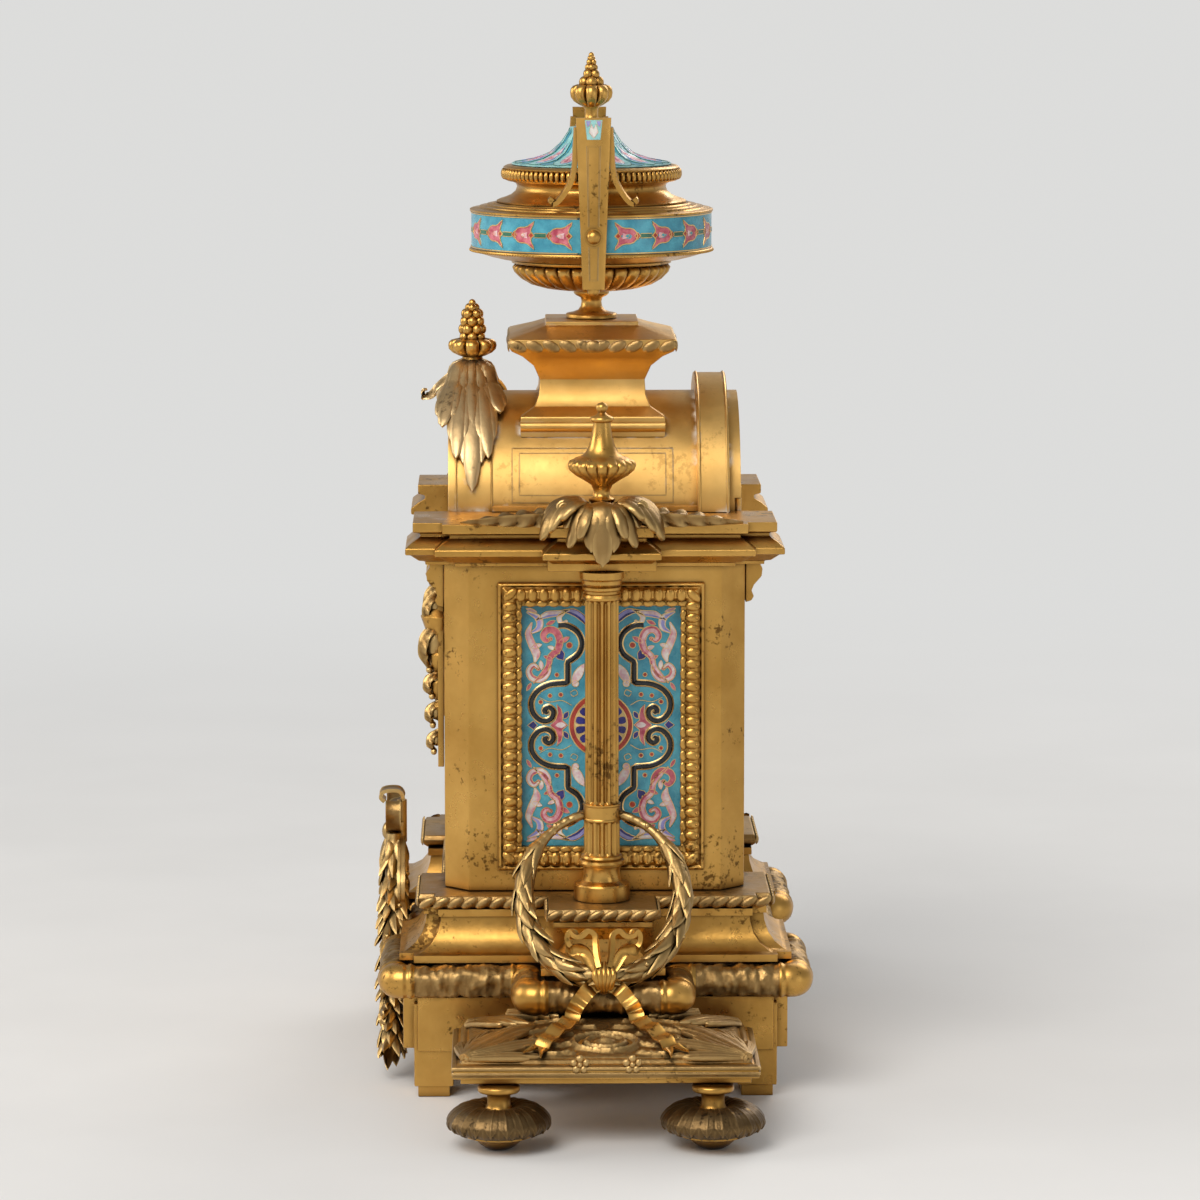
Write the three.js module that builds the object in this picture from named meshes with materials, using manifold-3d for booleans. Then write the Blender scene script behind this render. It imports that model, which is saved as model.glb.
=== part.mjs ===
// A gilt bronze and enamel table clock. Lengths are in millimetres, +Z is up and the dial faces -Y.
// The origin is on the table, under the middle of the clock.
import * as THREE from "three";
import { mergeVertices } from "three/addons/utils/BufferGeometryUtils.js";
import Module from "manifold-3d";

const wasm = await Module();
wasm.setup();

// Gaps between pieces, and the overrun of cuts and joins
const seatGap = 0.3;
const runningGap = 0.2;
const overrun = 1;
const weldTolerance = 0.0001;

// Fineness of round pieces
const smallSides = 12;
const turnedSides = 16;
const urnSides = 32;
const drumSides = 36;

// Half width and half depth of the case body, and how far each part of the base stands out from it
const bodyHalfWidth = 84;
const bodyHalfDepth = 61.5;
const leafBandWidthSetOut = 11.5;
const leafBandDepthSetOut = 11;
const coveWidthSetBack = 2.5;
const coveDepthSetBack = 3.5;
const plinthWidthSetOut = 9;
const plinthDepthSetOut = 9.6;
const leafBandHalfWidth = bodyHalfWidth + leafBandWidthSetOut;
const leafBandHalfDepth = bodyHalfDepth + leafBandDepthSetOut;
const covedHalfWidth = leafBandHalfWidth - coveWidthSetBack;
const covedHalfDepth = leafBandHalfDepth - coveDepthSetBack;
const plinthHalfWidth = covedHalfWidth + plinthWidthSetOut;
const plinthHalfDepth = covedHalfDepth + plinthDepthSetOut;

// Plinth and its block feet
const plinthHeight = 22.5;
const plinthWall = 4;
const plinthRoof = 3;
const cornerNotch = 6;
const footPadHeight = 4.8;
const footPadInset = 1.5;
const footBlockHeight = 14.9;
const footBlockWidth = 22;
const footBlockDepth = 16;
const frontRecessHalf = 42;
const frontRecessDepth = 10;

// Round moulding above the plinth, with its bay under each column
const torusRadius = 7;
const torusSetOut = 3;
const bayReach = 33;
const bayHalfDepth = 30;
const bayCentreY = 2.5;
const baseHollowHalfWidth = 70;
const baseHollowHalfDepth = 45;

// Hollow moulding of the base
const ledgeReach = 11;
const ledgeHeight = 3;
const ledgeBayReach = 26;
const ledgeBayHalf = 14;
const coveHeight = 14.2;
const filletHeight = 3;
const filletReach = 1.2;

// Place of each column, and its pedestal
const columnStandOff = 16;
const columnX = bodyHalfWidth + columnStandOff;
const pedestalSetOut = 22;
const pedestalReach = columnX + pedestalSetOut;
const pedestalHalfDepth = 20;
const pedestalWaist = 6;

// Leaf moulding on top of the base
const leafBandHeight = 5.2;
const leafBandRound = 2;
const pedestalLeafOverhang = 2;
const pedestalLeafReach = pedestalReach + pedestalLeafOverhang;
const pedestalLeafHalfDepth = 22.6;

// Body of the case
const bodyCant = 10;
const bodyHeight = 134.1;
const bodyWall = 3.5;

// Enamel panels and their frames
const panelWidth = 65;
const panelHeight = 99.6;
const panelRise = 18.2;
const panelLap = 3;
const panelThickness = 1.5;
const frameWidth = 9.6;
const frameThickness = 2.6;
const frontPanelWidth = 74;
const frontPanelHeight = 70;
const frontPanelRise = 19.2;

// Pilasters on the front and consoles on the back
const pilasterSetBack = 18;
const pilasterX = bodyHalfWidth - pilasterSetBack;
const pilasterHalfWidth = 4.5;
const pilasterThickness = 2.4;
const pilasterRise = 49.2;
const consoleHeight = 18;
const consoleReach = 7;
const consoleHalfWidth = 6.5;
const huskLength = 17;
const huskRadius = 7;

// Cornice
const corniceWidthSetOut = 4;
const corniceDepthSetOut = 7.5;
const corniceHalfWidth = bodyHalfWidth + corniceWidthSetOut;
const corniceHalfDepth = bodyHalfDepth + corniceDepthSetOut;
const corniceHeight = 17.8;
const corniceReach = 8;
const corniceNotchWidth = 6;
const corniceNotchDepth = 12;
const corniceBayReach = 12;
const corniceBayHalf = 16;
const architraveSetOut = 4;
const architraveReach = columnX + architraveSetOut;
const architraveHalfDepth = 22;
const architraveHeight = 5;

// Drum that holds the dial and the movement
const drumSink = 2;
const drumRadius = 47.5;
const drumWall = 2.5;
const drumFrontSetBack = 1.5;
const drumFront = drumFrontSetBack - bodyHalfDepth;
const frontRingDepth = 18;
const drumBackSetBack = 0.5;
const drumBack = bodyHalfDepth - drumBackSetBack;
const rearRingDepth = 8;
const archBandHeight = 7.5;
const archBandFront = 43;
const archBandDepth = 13;
const drumFootWidth = 4;
const drumFootHeight = 2;

// Dial, bezel and glass
const bezelDepth = 4.6;
const bezelWall = 2.5;
const bezelRadius = drumRadius - bezelWall;
const bezelWidth = 4;
const bezelInnerRadius = bezelRadius - bezelWidth;
const bezelLip = 1.2;
const bezelLipDepth = 1.4;
const glassThickness = 1.3;
const dialRadius = bezelRadius - 2 * runningGap;
const dialThickness = 1.5;
const dialSetBack = 8.2;
const dialSeatWidth = 4.8;
const dialCentreHole = 3.4;
const windingHoleRadius = 2.8;
const hingeLength = 14;
const hingeRadius = 1.2;
const hingeInset = 1;
const hingeLeafReach = 4;

// Hands and motion work
const hourHandLength = 24;
const minuteHandLength = 35;
const handHalfWidth = 2.4;
const handThickness = 0.6;
const handBossRadius = 3.4;
const hourPipeRadius = 2.8;
const hourPipeBore = 2.1;
const motionModule = 0.5;
const motionWheelThickness = 1.2;
const cannonTeeth = 12;
const minuteWheelTeeth = 36;
const hourPinionTeeth = 10;
const hourWheelTeeth = 40;

// Movement plates, with the pillars riveted to the front one
const frontPlateSetBack = 15;
const plateSpacing = 30;
const plateThickness = 2;
const plateMargin = 1.5;
const plateRadius = bezelInnerRadius - plateMargin;
const pillarRadius = 2.2;
const pillarMargin = 3.5;
const pillarCircle = plateRadius - pillarMargin;
const pillarSides = 8;
const pivotRadius = 0.8;
const arborRadius = 1.3;
const arborSides = 8;

// Wheels of the going train and the mainspring barrels
const barrelTeeth = 48;
const barrelModule = 0.643;
const barrelDrumRadius = 13.4;
const barrelDrumDepth = 11;
const barrelCircle = 18;
const barrelDropShare = -0.447;
const greatWheelThickness = 2.5;
const windingArborRadius = 2.1;
const centrePinionTeeth = 8;
const wheelTeeth = 48;
const wheelThickness = 1.4;
const centreWheelModule = 0.6;
const thirdWheelModule = 0.5;
const thirdWheelX = 10;
const trainPinionTeeth = 8;
const trainPinionDepth = 3.4;
const escapeTeeth = 24;
const escapeRadius = 8.5;
const escapeRootRadius = 6.6;
const anchorRise = 11.5;
const palletReach = 9.4;
const palletDrop = 6.6;
const anchorThickness = 1.6;
const anchorArm = 2.2;

// Pendulum, bell and hammer
const pendulumSetBack = 10;
const pendulumLength = 132;
const pendulumRodRadius = 1;
const bobRadius = 13.5;
const bobThickness = 7;
const ratingNutRadius = 3;
const eyeRadius = 3.4;
const eyeHalfDepth = 1.4;
const suspensionPinRadius = 1.4;
const cockWidth = 10;
const cockThickness = 1.6;
const hangerThickness = 1.6;
const crutchLength = 30;
const crutchSetBack = 4;
const crutchThickness = 1.2;
const crutchForkGap = 0.6;
const bellRadius = 30;
const bellDepth = 20;
const bellWall = 1.6;
const bellDrop = 11;
const bellSetBack = 26;
const bellPostX = -20;
const bellPostRadius = 1.8;
const bellArmThickness = 2;
const bellScrewRadius = 4;
const hammerX = 30;
const hammerRise = 18;
const hammerHeadRadius = 3.6;
const hammerHeadLength = 6;
const hammerClearance = 0.8;
const hammerShankRadius = 0.9;

// Rear door
const doorRim = 3.5;
const doorRadius = drumRadius - doorRim;
const doorThickness = 2.4;
const doorStopWidth = 5;
const soundHoleCount = 10;
const soundHoleRadius = 3.2;
const soundHoleCircle = 30;
const doorKnobRadius = 3;
const doorKnobLength = 5;

// Columns at the sides
const columnShaftRadius = 6.6;
const columnPedestalRadius = 7.4;
const columnBaseRadius = 11.4;
const columnCapRadius = 8.3;
const columnCollarRadius = 7.6;
const fluteDepth = 0.8;
const fluteCount = 12;
const columnBaseHeight = 16.5;
const lowerShaftHeight = 14.5;
const collarHeight = 6.5;
const capitalHeight = 9.4;

// Wreaths with their ribbon bows
const wreathTopRise = 4.2;
const wreathFootOverhang = 1;
const wreathFootRise = 1.8;
const wreathHalfWidth = 32;
const wreathTopRadius = 2.8;
const wreathFootRadius = 4.6;
const wreathSteps = 30;
const wreathSides = 6;
const wreathOpening = 8.8;
const bowHalfWidth = 15;
const bowHeight = 17;
const ribbonHalfWidth = 2.6;
const ribbonHalfThickness = 0.7;
const tailReach = 31;
const tailHalfWidth = 26;

// Wings with their toupie feet
const wingTongueLength = 20;
const wingWidth = 69;
const wingHalfDepth = 60;
const wingTopGap = 0.7;
const wingPlateHeight = 2.5;
const wingPlateInset = 3;
const wingFasciaHeight = 4.5;
const wingCrownHeight = 8.8;
const wingFootSetBack = 5;
const wingFootY = 42;
const wingFootRadius = 20;

// Garland on the front of the base
const garlandSetOut = 7.4;
const garlandY = -plinthHalfDepth - garlandSetOut;
const bowRise = 19;
const garlandBow = 92;
const garlandHalfWidth = 65;
const garlandBottom = 9;
const garlandRadius = 4.6;
const garlandSteps = 14;
const cartoucheHalfWidth = 20;
const cartoucheHeight = 42;
const cartoucheThickness = 3;

// Pine cone and acanthus on the front of the drum
const coneSetBack = 10;
const coneY = drumFront + coneSetBack;
const coneHeight = 25.2;
const coneCupRadius = 9.5;
const acanthusHubHeight = 12.7;
const drapeHalfWidth = 13;
const drapeThickness = 2;
const drapeTipAngle = 78;

// Urn finials and acanthus over the columns
const sideFinialHeight = 50;
const sideFinialRadius = 13.9;
const sideFinialStem = 3.4;
const sideHubRadius = 6.6;
const sideHubHeight = 9;
const sideLeafReach = 54;
const hangingLeafDrop = 18;
const hangingLeafReach = 11.5;
const scrollLeafReach = 27;
const leafHalfWidth = 5.5;
const leafHalfThickness = 1.3;

// Socle under the urn
const socleWidthSetBack = 11.5;
const socleDepthSetBack = 31.5;
const socleBottomHalfWidth = drumRadius - socleWidthSetBack;
const socleBottomHalfDepth = bodyHalfDepth - socleDepthSetBack;
const socleBandHeight = 8.5;
const socleWaistWidthSetIn = 14.2;
const socleWaistDepthSetIn = 8.2;
const socleWaistHalfWidth = socleBottomHalfWidth - socleWaistWidthSetIn;
const socleWaistHalfDepth = socleBottomHalfDepth - socleWaistDepthSetIn;
const socleOgeeHeight = 14.5;
const socleLeafWidthSetIn = 3;
const socleLeafDepthSetOut = 4.5;
const socleLeafHalfWidth = socleBottomHalfWidth - socleLeafWidthSetIn;
const socleLeafHalfDepth = socleBottomHalfDepth + socleLeafDepthSetOut;
const socleCoveHeight = 12;
const socleLeafHeight = 5.6;
const socleCapHeight = 6.4;
const socleTopSetIn = 2.5;
const socleTopHalfWidth = socleWaistHalfWidth - socleTopSetIn;
const socleTopHalfDepth = socleWaistHalfDepth - socleTopSetIn;

// Urn
const urnFootRadius = 10.7;
const urnStemRadius = 4.2;
const urnBowlRadius = 33.6;
const urnBowlHeight = 24.1;
const urnBowlHollow = 3.2;
const bandRadius = 50.3;
const bandFlareHeight = 5.3;
const bandHeight = 15;
const shoulderHeight = 3.5;
const shoulderRadius = 42;
const urnWall = 3;
const neckRadius = 31;
const neckHeight = 15.4;
const beadRadius = 37.8;
const lidRimRadius = 33.5;
const lidHeight = 15.5;
const lidTopRadius = 8.5;
const finialHeight = 30.7;
const finialCupRadius = 8.8;
const tieBoltRadius = 1.9;
const tieBoltHeadRadius = 4.5;
const tieBoltHeadHeight = 3;
const tieBoltEngagement = 5;

// Urn handles
const handleRise = 6;
const handleLength = 72;
const handleTopHalfWidth = 7.2;
const handleBottomHalfWidth = 4.5;
const handleThickness = 4.4;
const handleBrace = 16;
const handleBraceDrop = 10;
const handleBossRadius = 3;

// Heights that follow from the sizes above
const plinthBottom = footPadHeight + footBlockHeight;
const plinthTop = plinthBottom + plinthHeight;
const torusBottom = plinthTop + seatGap;
const torusTop = torusBottom + 2 * torusRadius;
const torusCentre = torusBottom + torusRadius;
const ledgeBottom = torusTop + seatGap;
const ledgeTop = ledgeBottom + ledgeHeight;
const coveTop = ledgeTop + coveHeight;
const filletTop = coveTop + filletHeight;
const leafBandBottom = filletTop + seatGap;
const leafBandTop = leafBandBottom + leafBandHeight;
const bodyBottom = leafBandTop + seatGap;
const bodyTop = bodyBottom + bodyHeight;
const corniceBottom = bodyTop + seatGap;
const corniceTop = corniceBottom + corniceHeight;
const panelBottom = bodyBottom + panelRise;
const frontPanelBottom = bodyBottom + frontPanelRise;
const pilasterBottom = bodyBottom + pilasterRise;
const drumCentre = corniceTop - drumSink;
const drumOpening = drumRadius + seatGap;
const dialFront = drumFront + dialSetBack;
const dialBack = dialFront + dialThickness;
const frontPlateY = drumFront + frontPlateSetBack;
const backPlateY = frontPlateY + plateThickness + plateSpacing;
const backPlateRear = backPlateY + plateThickness;
const wreathTop = bodyBottom + columnBaseHeight + lowerShaftHeight + wreathTopRise;
const wreathFootX = plinthHalfWidth + torusSetOut + bayReach + torusRadius + wreathFootOverhang;
const wreathFootZ = ledgeBottom + wreathFootRise;
const wingInner = plinthHalfWidth + wingTongueLength;
const wingOuter = wingInner + wingWidth;
const wingBottom = torusBottom - wingTopGap - wingCrownHeight - wingFasciaHeight - wingPlateHeight;
const wingFootX = wingOuter - wingFootSetBack;
const hubBottom = drumCentre + drumRadius + seatGap;
const acanthusHubTop = hubBottom + acanthusHubHeight;
const coneBottom = acanthusHubTop + seatGap;
const sideFinialBottom = corniceTop + seatGap;
const socleBottom = drumCentre + Math.sqrt(drumRadius ** 2 - socleBottomHalfWidth ** 2) - overrun;
const socleBandTop = socleBottom + overrun + socleBandHeight;
const socleWaistZ = socleBandTop + socleOgeeHeight;
const socleLeafBottom = socleWaistZ + socleCoveHeight;
const socleTop = socleLeafBottom + socleLeafHeight + socleCapHeight;
const urnBottom = socleTop + seatGap;
const urnBowlTop = urnBottom + urnBowlHeight;
const urnBandBottom = urnBowlTop + seatGap;
const bandBottom = urnBandBottom + bandFlareHeight;
const bandTop = bandBottom + bandHeight;
const shoulderTop = bandTop + shoulderHeight;
const neckBottom = shoulderTop + seatGap;
const neckTop = neckBottom + neckHeight;
const lidBottom = neckTop + seatGap;
const lidTop = lidBottom + lidHeight;
const finialBottom = lidTop + seatGap;
const finialTop = finialBottom + finialHeight;
const handleTop = lidTop + handleRise;
const handleBottom = handleTop - handleLength;
const frontReach = garlandRadius - garlandY;
const rearReach = plinthHalfDepth + torusSetOut + torusRadius;
const groupShiftY = (frontReach - rearReach) / 2;

const quarterTurn = Math.PI / 2;
const fullTurn = 2 * Math.PI;
const radians = THREE.MathUtils.degToRad;

// Colours of the finishes
const burnishedGold = new THREE.MeshStandardMaterial({ color: 0xc9953c, roughness: 0.32, metalness: 1 });
const agedGold = new THREE.MeshStandardMaterial({ color: 0xb27f2e, roughness: 0.45, metalness: 1 });
const brownGold = new THREE.MeshStandardMaterial({ color: 0x8a6432, roughness: 0.5, metalness: 1 });
const turquoiseEnamel = new THREE.MeshStandardMaterial({ color: 0x2f9fc0, roughness: 0.25, metalness: 0 });
const whiteEnamel = new THREE.MeshStandardMaterial({ color: 0xf0ece0, roughness: 0.25, metalness: 0 });
const movementBrass = new THREE.MeshStandardMaterial({ color: 0xc8a552, roughness: 0.35, metalness: 1 });
const bluedSteel = new THREE.MeshStandardMaterial({ color: 0x1c2740, roughness: 0.3, metalness: 1 });
const steel = new THREE.MeshStandardMaterial({ color: 0x9a9a98, roughness: 0.35, metalness: 1 });
const clearGlass = new THREE.MeshStandardMaterial({ color: 0xdfe8ea, roughness: 0.05, metalness: 0 });

const clock = new THREE.Group();
clock.position.y = groupShiftY;

// Only the places and faces of a geometry, welded and facing out
function tidied(geometry) {
  const bare = geometry.clone();
  bare.deleteAttribute("normal");
  bare.deleteAttribute("uv");
  const welded = mergeVertices(bare, weldTolerance);
  const places = welded.getAttribute("position");
  const faces = [];
  const corner = (index) => new THREE.Vector3().fromBufferAttribute(places, index);
  let volume = 0;
  for (let at = 0; at < welded.index.count; at += 3) {
    const [a, b, c] = [0, 1, 2].map((step) => welded.index.getX(at + step));
    if (a !== b && b !== c && c !== a) {
      faces.push(a, b, c);
      volume += corner(a).dot(corner(b).cross(corner(c)));
    }
  }
  if (volume < 0) faces.reverse();
  welded.setIndex(faces);
  return welded;
}

function solidOf(geometry) {
  const bare = tidied(geometry);
  return new wasm.Manifold(
    new wasm.Mesh({
      numProp: 3,
      vertProperties: new Float32Array(bare.getAttribute("position").array),
      triVerts: new Uint32Array(bare.index.array),
    }),
  );
}

function geometryOf(solid) {
  const { vertProperties, triVerts } = solid.getMesh();
  return new THREE.BufferGeometry()
    .setAttribute("position", new THREE.BufferAttribute(vertProperties, 3))
    .setIndex(new THREE.BufferAttribute(triVerts, 1));
}

function joined(...geometries) {
  return geometryOf(geometries.map(solidOf).reduce((whole, part) => whole.add(part)));
}

function cut(geometry, ...cutters) {
  return geometryOf(cutters.map(solidOf).reduce((left, cutter) => left.subtract(cutter), solidOf(geometry)));
}

function moved(geometry, x, y, z) {
  return geometry.clone().translate(x, y, z);
}

function add(name, geometry, material) {
  const mesh = new THREE.Mesh(tidied(geometry), material);
  mesh.name = name;
  clock.add(mesh);
}

// A piece on the right, and its mirror image on the left
function addPair(name, geometry, material) {
  add(`${name}_right`, geometry, material);
  add(`${name}_left`, geometry.clone().scale(-1, 1, 1), material);
}

function box(low, high) {
  const middle = low.map((value, axis) => (value + high[axis]) / 2);
  return new THREE.BoxGeometry(...low.map((value, axis) => high[axis] - value)).translate(...middle);
}

// Round about the Y axis, from a profile of [radius, y]
function spun(profile, sides) {
  return new THREE.LatheGeometry(profile.map((place) => new THREE.Vector2(...place)), sides);
}

// Round about the Z axis, from a profile of [radius, z]
function turned(profile, sides) {
  return spun(profile, sides).rotateX(quarterTurn);
}

// Round about the Z axis, from shares of a radius and of the height between two levels
function turnedShares(shares, radius, bottom, top, sides) {
  return turned(
    shares.map(([radiusShare, heightShare]) => [radiusShare * radius, bottom + heightShare * (top - bottom)]),
    sides,
  );
}

function rodAlongY(radius, front, back, sides) {
  return spun([[0, front], [radius, front], [radius, back], [0, back]], sides);
}

function rodAlongZ(radius, bottom, top, sides) {
  return turned([[0, bottom], [radius, bottom], [radius, top], [0, top]], sides);
}

// A solid through a row of like outlines; place turns an outline's point into a point of the solid
function lofted(outlines, place) {
  const turnedRound = THREE.ShapeUtils.area(outlines[0].map((point) => new THREE.Vector2(...point))) < 0;
  const rows = turnedRound ? outlines.map((outline) => [...outline].reverse()) : outlines;
  const sides = rows[0].length;
  const places = rows.flatMap((row, step) => row.map(([u, v]) => place(step, u, v)));
  const faces = [];
  for (let low = 0; low + sides < places.length; low += sides) {
    for (let side = 0; side < sides; side += 1) {
      const next = (side + 1) % sides;
      faces.push(low + side, low + next, low + sides + next);
      faces.push(low + side, low + sides + next, low + sides + side);
    }
  }
  const lid = (row) => THREE.ShapeUtils.triangulateShape(row.map((point) => new THREE.Vector2(...point)), []);
  const last = places.length - sides;
  lid(rows[0]).forEach(([a, b, c]) => faces.push(c, b, a));
  lid(rows.at(-1)).forEach((face) => faces.push(...face.map((index) => index + last)));
  return tidied(new THREE.BufferGeometry().setFromPoints(places).setIndex(faces));
}

// A moulding whose plan grows by the first number of each [offset, z] of its profile
function moulding(planAt, profile) {
  return lofted(
    profile.map(([offset]) => planAt(offset)),
    (step, x, y) => new THREE.Vector3(x, y, profile[step][1]),
  );
}

// A flat plate with an outline of [x, z], between two values of y
function frontPlate(outline, front, back) {
  return lofted([outline, outline], (step, x, z) => new THREE.Vector3(x, step ? back : front, z));
}

// A flat plate with an outline of [y, z], between two values of x
function sidePlate(outline, inner, outer) {
  return lofted([outline, outline], (step, y, z) => new THREE.Vector3(step ? outer : inner, y, z));
}

// A strap or leaf along a row of stations, each a point with a half width and a half thickness
function blade(stations, across, sectionShares) {
  const points = stations.map(({ at }) => new THREE.Vector3(...at));
  const frames = points.map((point, step) => {
    const ahead = points[Math.min(step + 1, points.length - 1)];
    const behind = points[Math.max(step - 1, 0)];
    const along = ahead.clone().sub(behind).normalize();
    const wide = across.clone().addScaledVector(along, -across.dot(along)).normalize();
    return { wide, thick: along.clone().cross(wide) };
  });
  return lofted(
    stations.map(({ half, thick }) => sectionShares.map(([u, v]) => [u * half, v * thick])),
    (step, u, v) => points[step].clone().addScaledVector(frames[step].wide, u).addScaledVector(frames[step].thick, v),
  );
}
const strapShares = [[-1, -1], [1, -1], [1, 1], [-1, 1]];
const leafShares = [[-1, -0.4], [0, -1], [1, -0.4], [1, 0.2], [0, 1], [-1, 0.2]];
const acrossDepth = new THREE.Vector3(0, 1, 0);
const acrossWidth = new THREE.Vector3(1, 0, 0);

// A strip that ripples like stacked leaves, along a curve given as a function of a share from 0 to 1
function garland(pointAt, radiusAt, steps, sides, across) {
  const rippleShares = [0.78, 1];
  const ringShares = [];
  for (let side = 0; side < sides; side += 1) {
    const angle = (fullTurn * side) / sides;
    ringShares.push([Math.cos(angle), Math.sin(angle)]);
  }
  const stations = [];
  for (let step = 0; step <= steps; step += 1) {
    const share = step / steps;
    const radius = radiusAt(share) * rippleShares[step % rippleShares.length];
    stations.push({ at: pointAt(share), half: radius, thick: radius });
  }
  return blade(stations, across, ringShares);
}

// Corners of a rectangular plan with notched corners, a bay on each side and a recess front and back
function steppedPlan(size) {
  return (offset) => {
    const corners = [];
    [[1, 1], [-1, 1], [-1, -1], [1, -1]].forEach(([sideX, sideY]) => {
      const width = size.halfWidth + offset;
      const depth = size.halfDepth + offset;
      const quarter = [];
      if (size.bayReach) {
        const bayY = sideY * (size.bayHalf + offset) + bayCentreY;
        quarter.push([sideX * (width + size.bayReach), bayY], [sideX * width, bayY]);
      }
      quarter.push([sideX * width, sideY * (depth - size.notchDepth)]);
      quarter.push([sideX * (width - size.notchWidth), sideY * (depth - size.notchDepth)]);
      quarter.push([sideX * (width - size.notchWidth), sideY * depth]);
      if (size.recessDepth) {
        const recess = size.recessHalf - offset;
        quarter.push([sideX * recess, sideY * depth], [sideX * recess, sideY * (depth - size.recessDepth)]);
      }
      corners.push(...(sideX * sideY > 0 ? quarter : quarter.reverse()));
    });
    return corners;
  };
}

function rectangle(halfWidth, halfDepth) {
  return [[halfWidth, halfDepth], [-halfWidth, halfDepth], [-halfWidth, -halfDepth], [halfWidth, -halfDepth]];
}

const cornerSigns = [[1, 1], [-1, 1], [-1, -1], [1, -1]];
const plainCorner = { notchWidth: cornerNotch, notchDepth: cornerNotch };
const frontRecess = { recessHalf: frontRecessHalf, recessDepth: frontRecessDepth };

function baseHollow(bottom, top) {
  return box(
    [-baseHollowHalfWidth, -baseHollowHalfDepth, bottom - overrun],
    [baseHollowHalfWidth, baseHollowHalfDepth, top + overrun],
  );
}

// Plinth: a casting open below, on four block feet
function basePlinth() {
  const plan = steppedPlan({ halfWidth: plinthHalfWidth, halfDepth: plinthHalfDepth, ...plainCorner });
  const shell = cut(
    moulding(plan, [[0, plinthBottom], [0, plinthTop]]),
    box(
      [plinthWall - plinthHalfWidth + cornerNotch, plinthWall - plinthHalfDepth + cornerNotch, plinthBottom - overrun],
      [plinthHalfWidth - cornerNotch - plinthWall, plinthHalfDepth - cornerNotch - plinthWall, plinthTop - plinthRoof],
    ),
  );
  const feet = cornerSigns.flatMap(([sideX, sideY]) => {
    const x = sideX * (plinthHalfWidth - footBlockWidth / 2);
    const y = sideY * (plinthHalfDepth - cornerNotch - footBlockDepth / 2 + footPadInset);
    const block = (inset, bottom, top) =>
      moved(
        moulding(() => rectangle(footBlockWidth / 2 - inset, footBlockDepth / 2 - inset), [[0, bottom], [0, top]]),
        x - sideX * footPadInset,
        y,
        0,
      );
    return [
      block(0, footPadHeight, plinthBottom + plinthHeight - plinthRoof),
      block(footPadInset, 0, footPadHeight + overrun),
    ];
  });
  return joined(shell, ...feet);
}

// Round moulding with bays, one ring
function baseTorus() {
  const plan = steppedPlan({
    halfWidth: plinthHalfWidth + torusSetOut,
    halfDepth: plinthHalfDepth + torusSetOut,
    ...plainCorner,
    ...frontRecess,
    bayReach,
    bayHalf: bayHalfDepth,
  });
  const turnSteps = 6;
  const profile = [];
  for (let step = 0; step <= turnSteps; step += 1) {
    const angle = (Math.PI * step) / turnSteps - quarterTurn;
    profile.push([torusRadius * Math.cos(angle), torusCentre + torusRadius * Math.sin(angle)]);
  }
  return cut(moulding(plan, profile), baseHollow(torusBottom, torusTop));
}

// Ledge, hollow moulding and the pedestals of the columns
function baseCove() {
  const corners = { ...plainCorner, ...frontRecess };
  const size = { halfWidth: covedHalfWidth, halfDepth: covedHalfDepth, ...corners };
  const ledge = moulding(
    steppedPlan({ ...size, bayReach: ledgeBayReach, bayHalf: ledgeBayHalf }),
    [[ledgeReach, ledgeBottom], [ledgeReach, ledgeTop]],
  );
  const coveShares = [[1, 0], [0.8, 0.06], [0.45, 0.22], [0.18, 0.48], [0.04, 0.78], [0, 1]];
  const cove = coveShares.map(([out, up]) => [out * (ledgeReach - filletReach), ledgeTop + up * coveHeight]);
  const curve = moulding(steppedPlan(size), [
    [ledgeReach - filletReach, ledgeBottom],
    ...cove,
    [filletReach, coveTop],
    [filletReach, filletTop],
  ]);
  const waistShares = [[0, 0], [0, 0.12], [0.8, 0.35], [1, 0.6], [0.5, 0.85], [0, 0.9], [0, 1]];
  const pedestal = moulding(
    (inset) => [
      [pedestalReach - inset, bayCentreY + pedestalHalfDepth - inset],
      [bodyHalfWidth, bayCentreY + pedestalHalfDepth - inset],
      [bodyHalfWidth, bayCentreY - pedestalHalfDepth + inset],
      [pedestalReach - inset, bayCentreY - pedestalHalfDepth + inset],
    ],
    waistShares.map(([inset, up]) => [inset * pedestalWaist, ledgeBottom + up * (filletTop - ledgeBottom)]),
  );
  return cut(
    joined(ledge, curve, pedestal, pedestal.clone().scale(-1, 1, 1)),
    baseHollow(ledgeBottom, filletTop),
  );
}

// Leaf moulding, widened over each pedestal
function leafMoulding() {
  const roundShares = [[1, 0], [0.2, 0.25], [0, 0.6], [0.5, 1]];
  const profile = roundShares.map(([inset, up]) => [-inset * leafBandRound, leafBandBottom + up * leafBandHeight]);
  const size = { halfWidth: leafBandHalfWidth, halfDepth: leafBandHalfDepth, ...plainCorner, ...frontRecess };
  const cap = moulding(
    (offset) => [
      [pedestalLeafReach + offset, bayCentreY + pedestalLeafHalfDepth + offset],
      [bodyHalfWidth, bayCentreY + pedestalLeafHalfDepth + offset],
      [bodyHalfWidth, bayCentreY - pedestalLeafHalfDepth - offset],
      [pedestalLeafReach + offset, bayCentreY - pedestalLeafHalfDepth - offset],
    ],
    profile,
  );
  return cut(
    joined(moulding(steppedPlan(size), profile), cap, cap.clone().scale(-1, 1, 1)),
    baseHollow(leafBandBottom, leafBandTop),
  );
}

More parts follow.
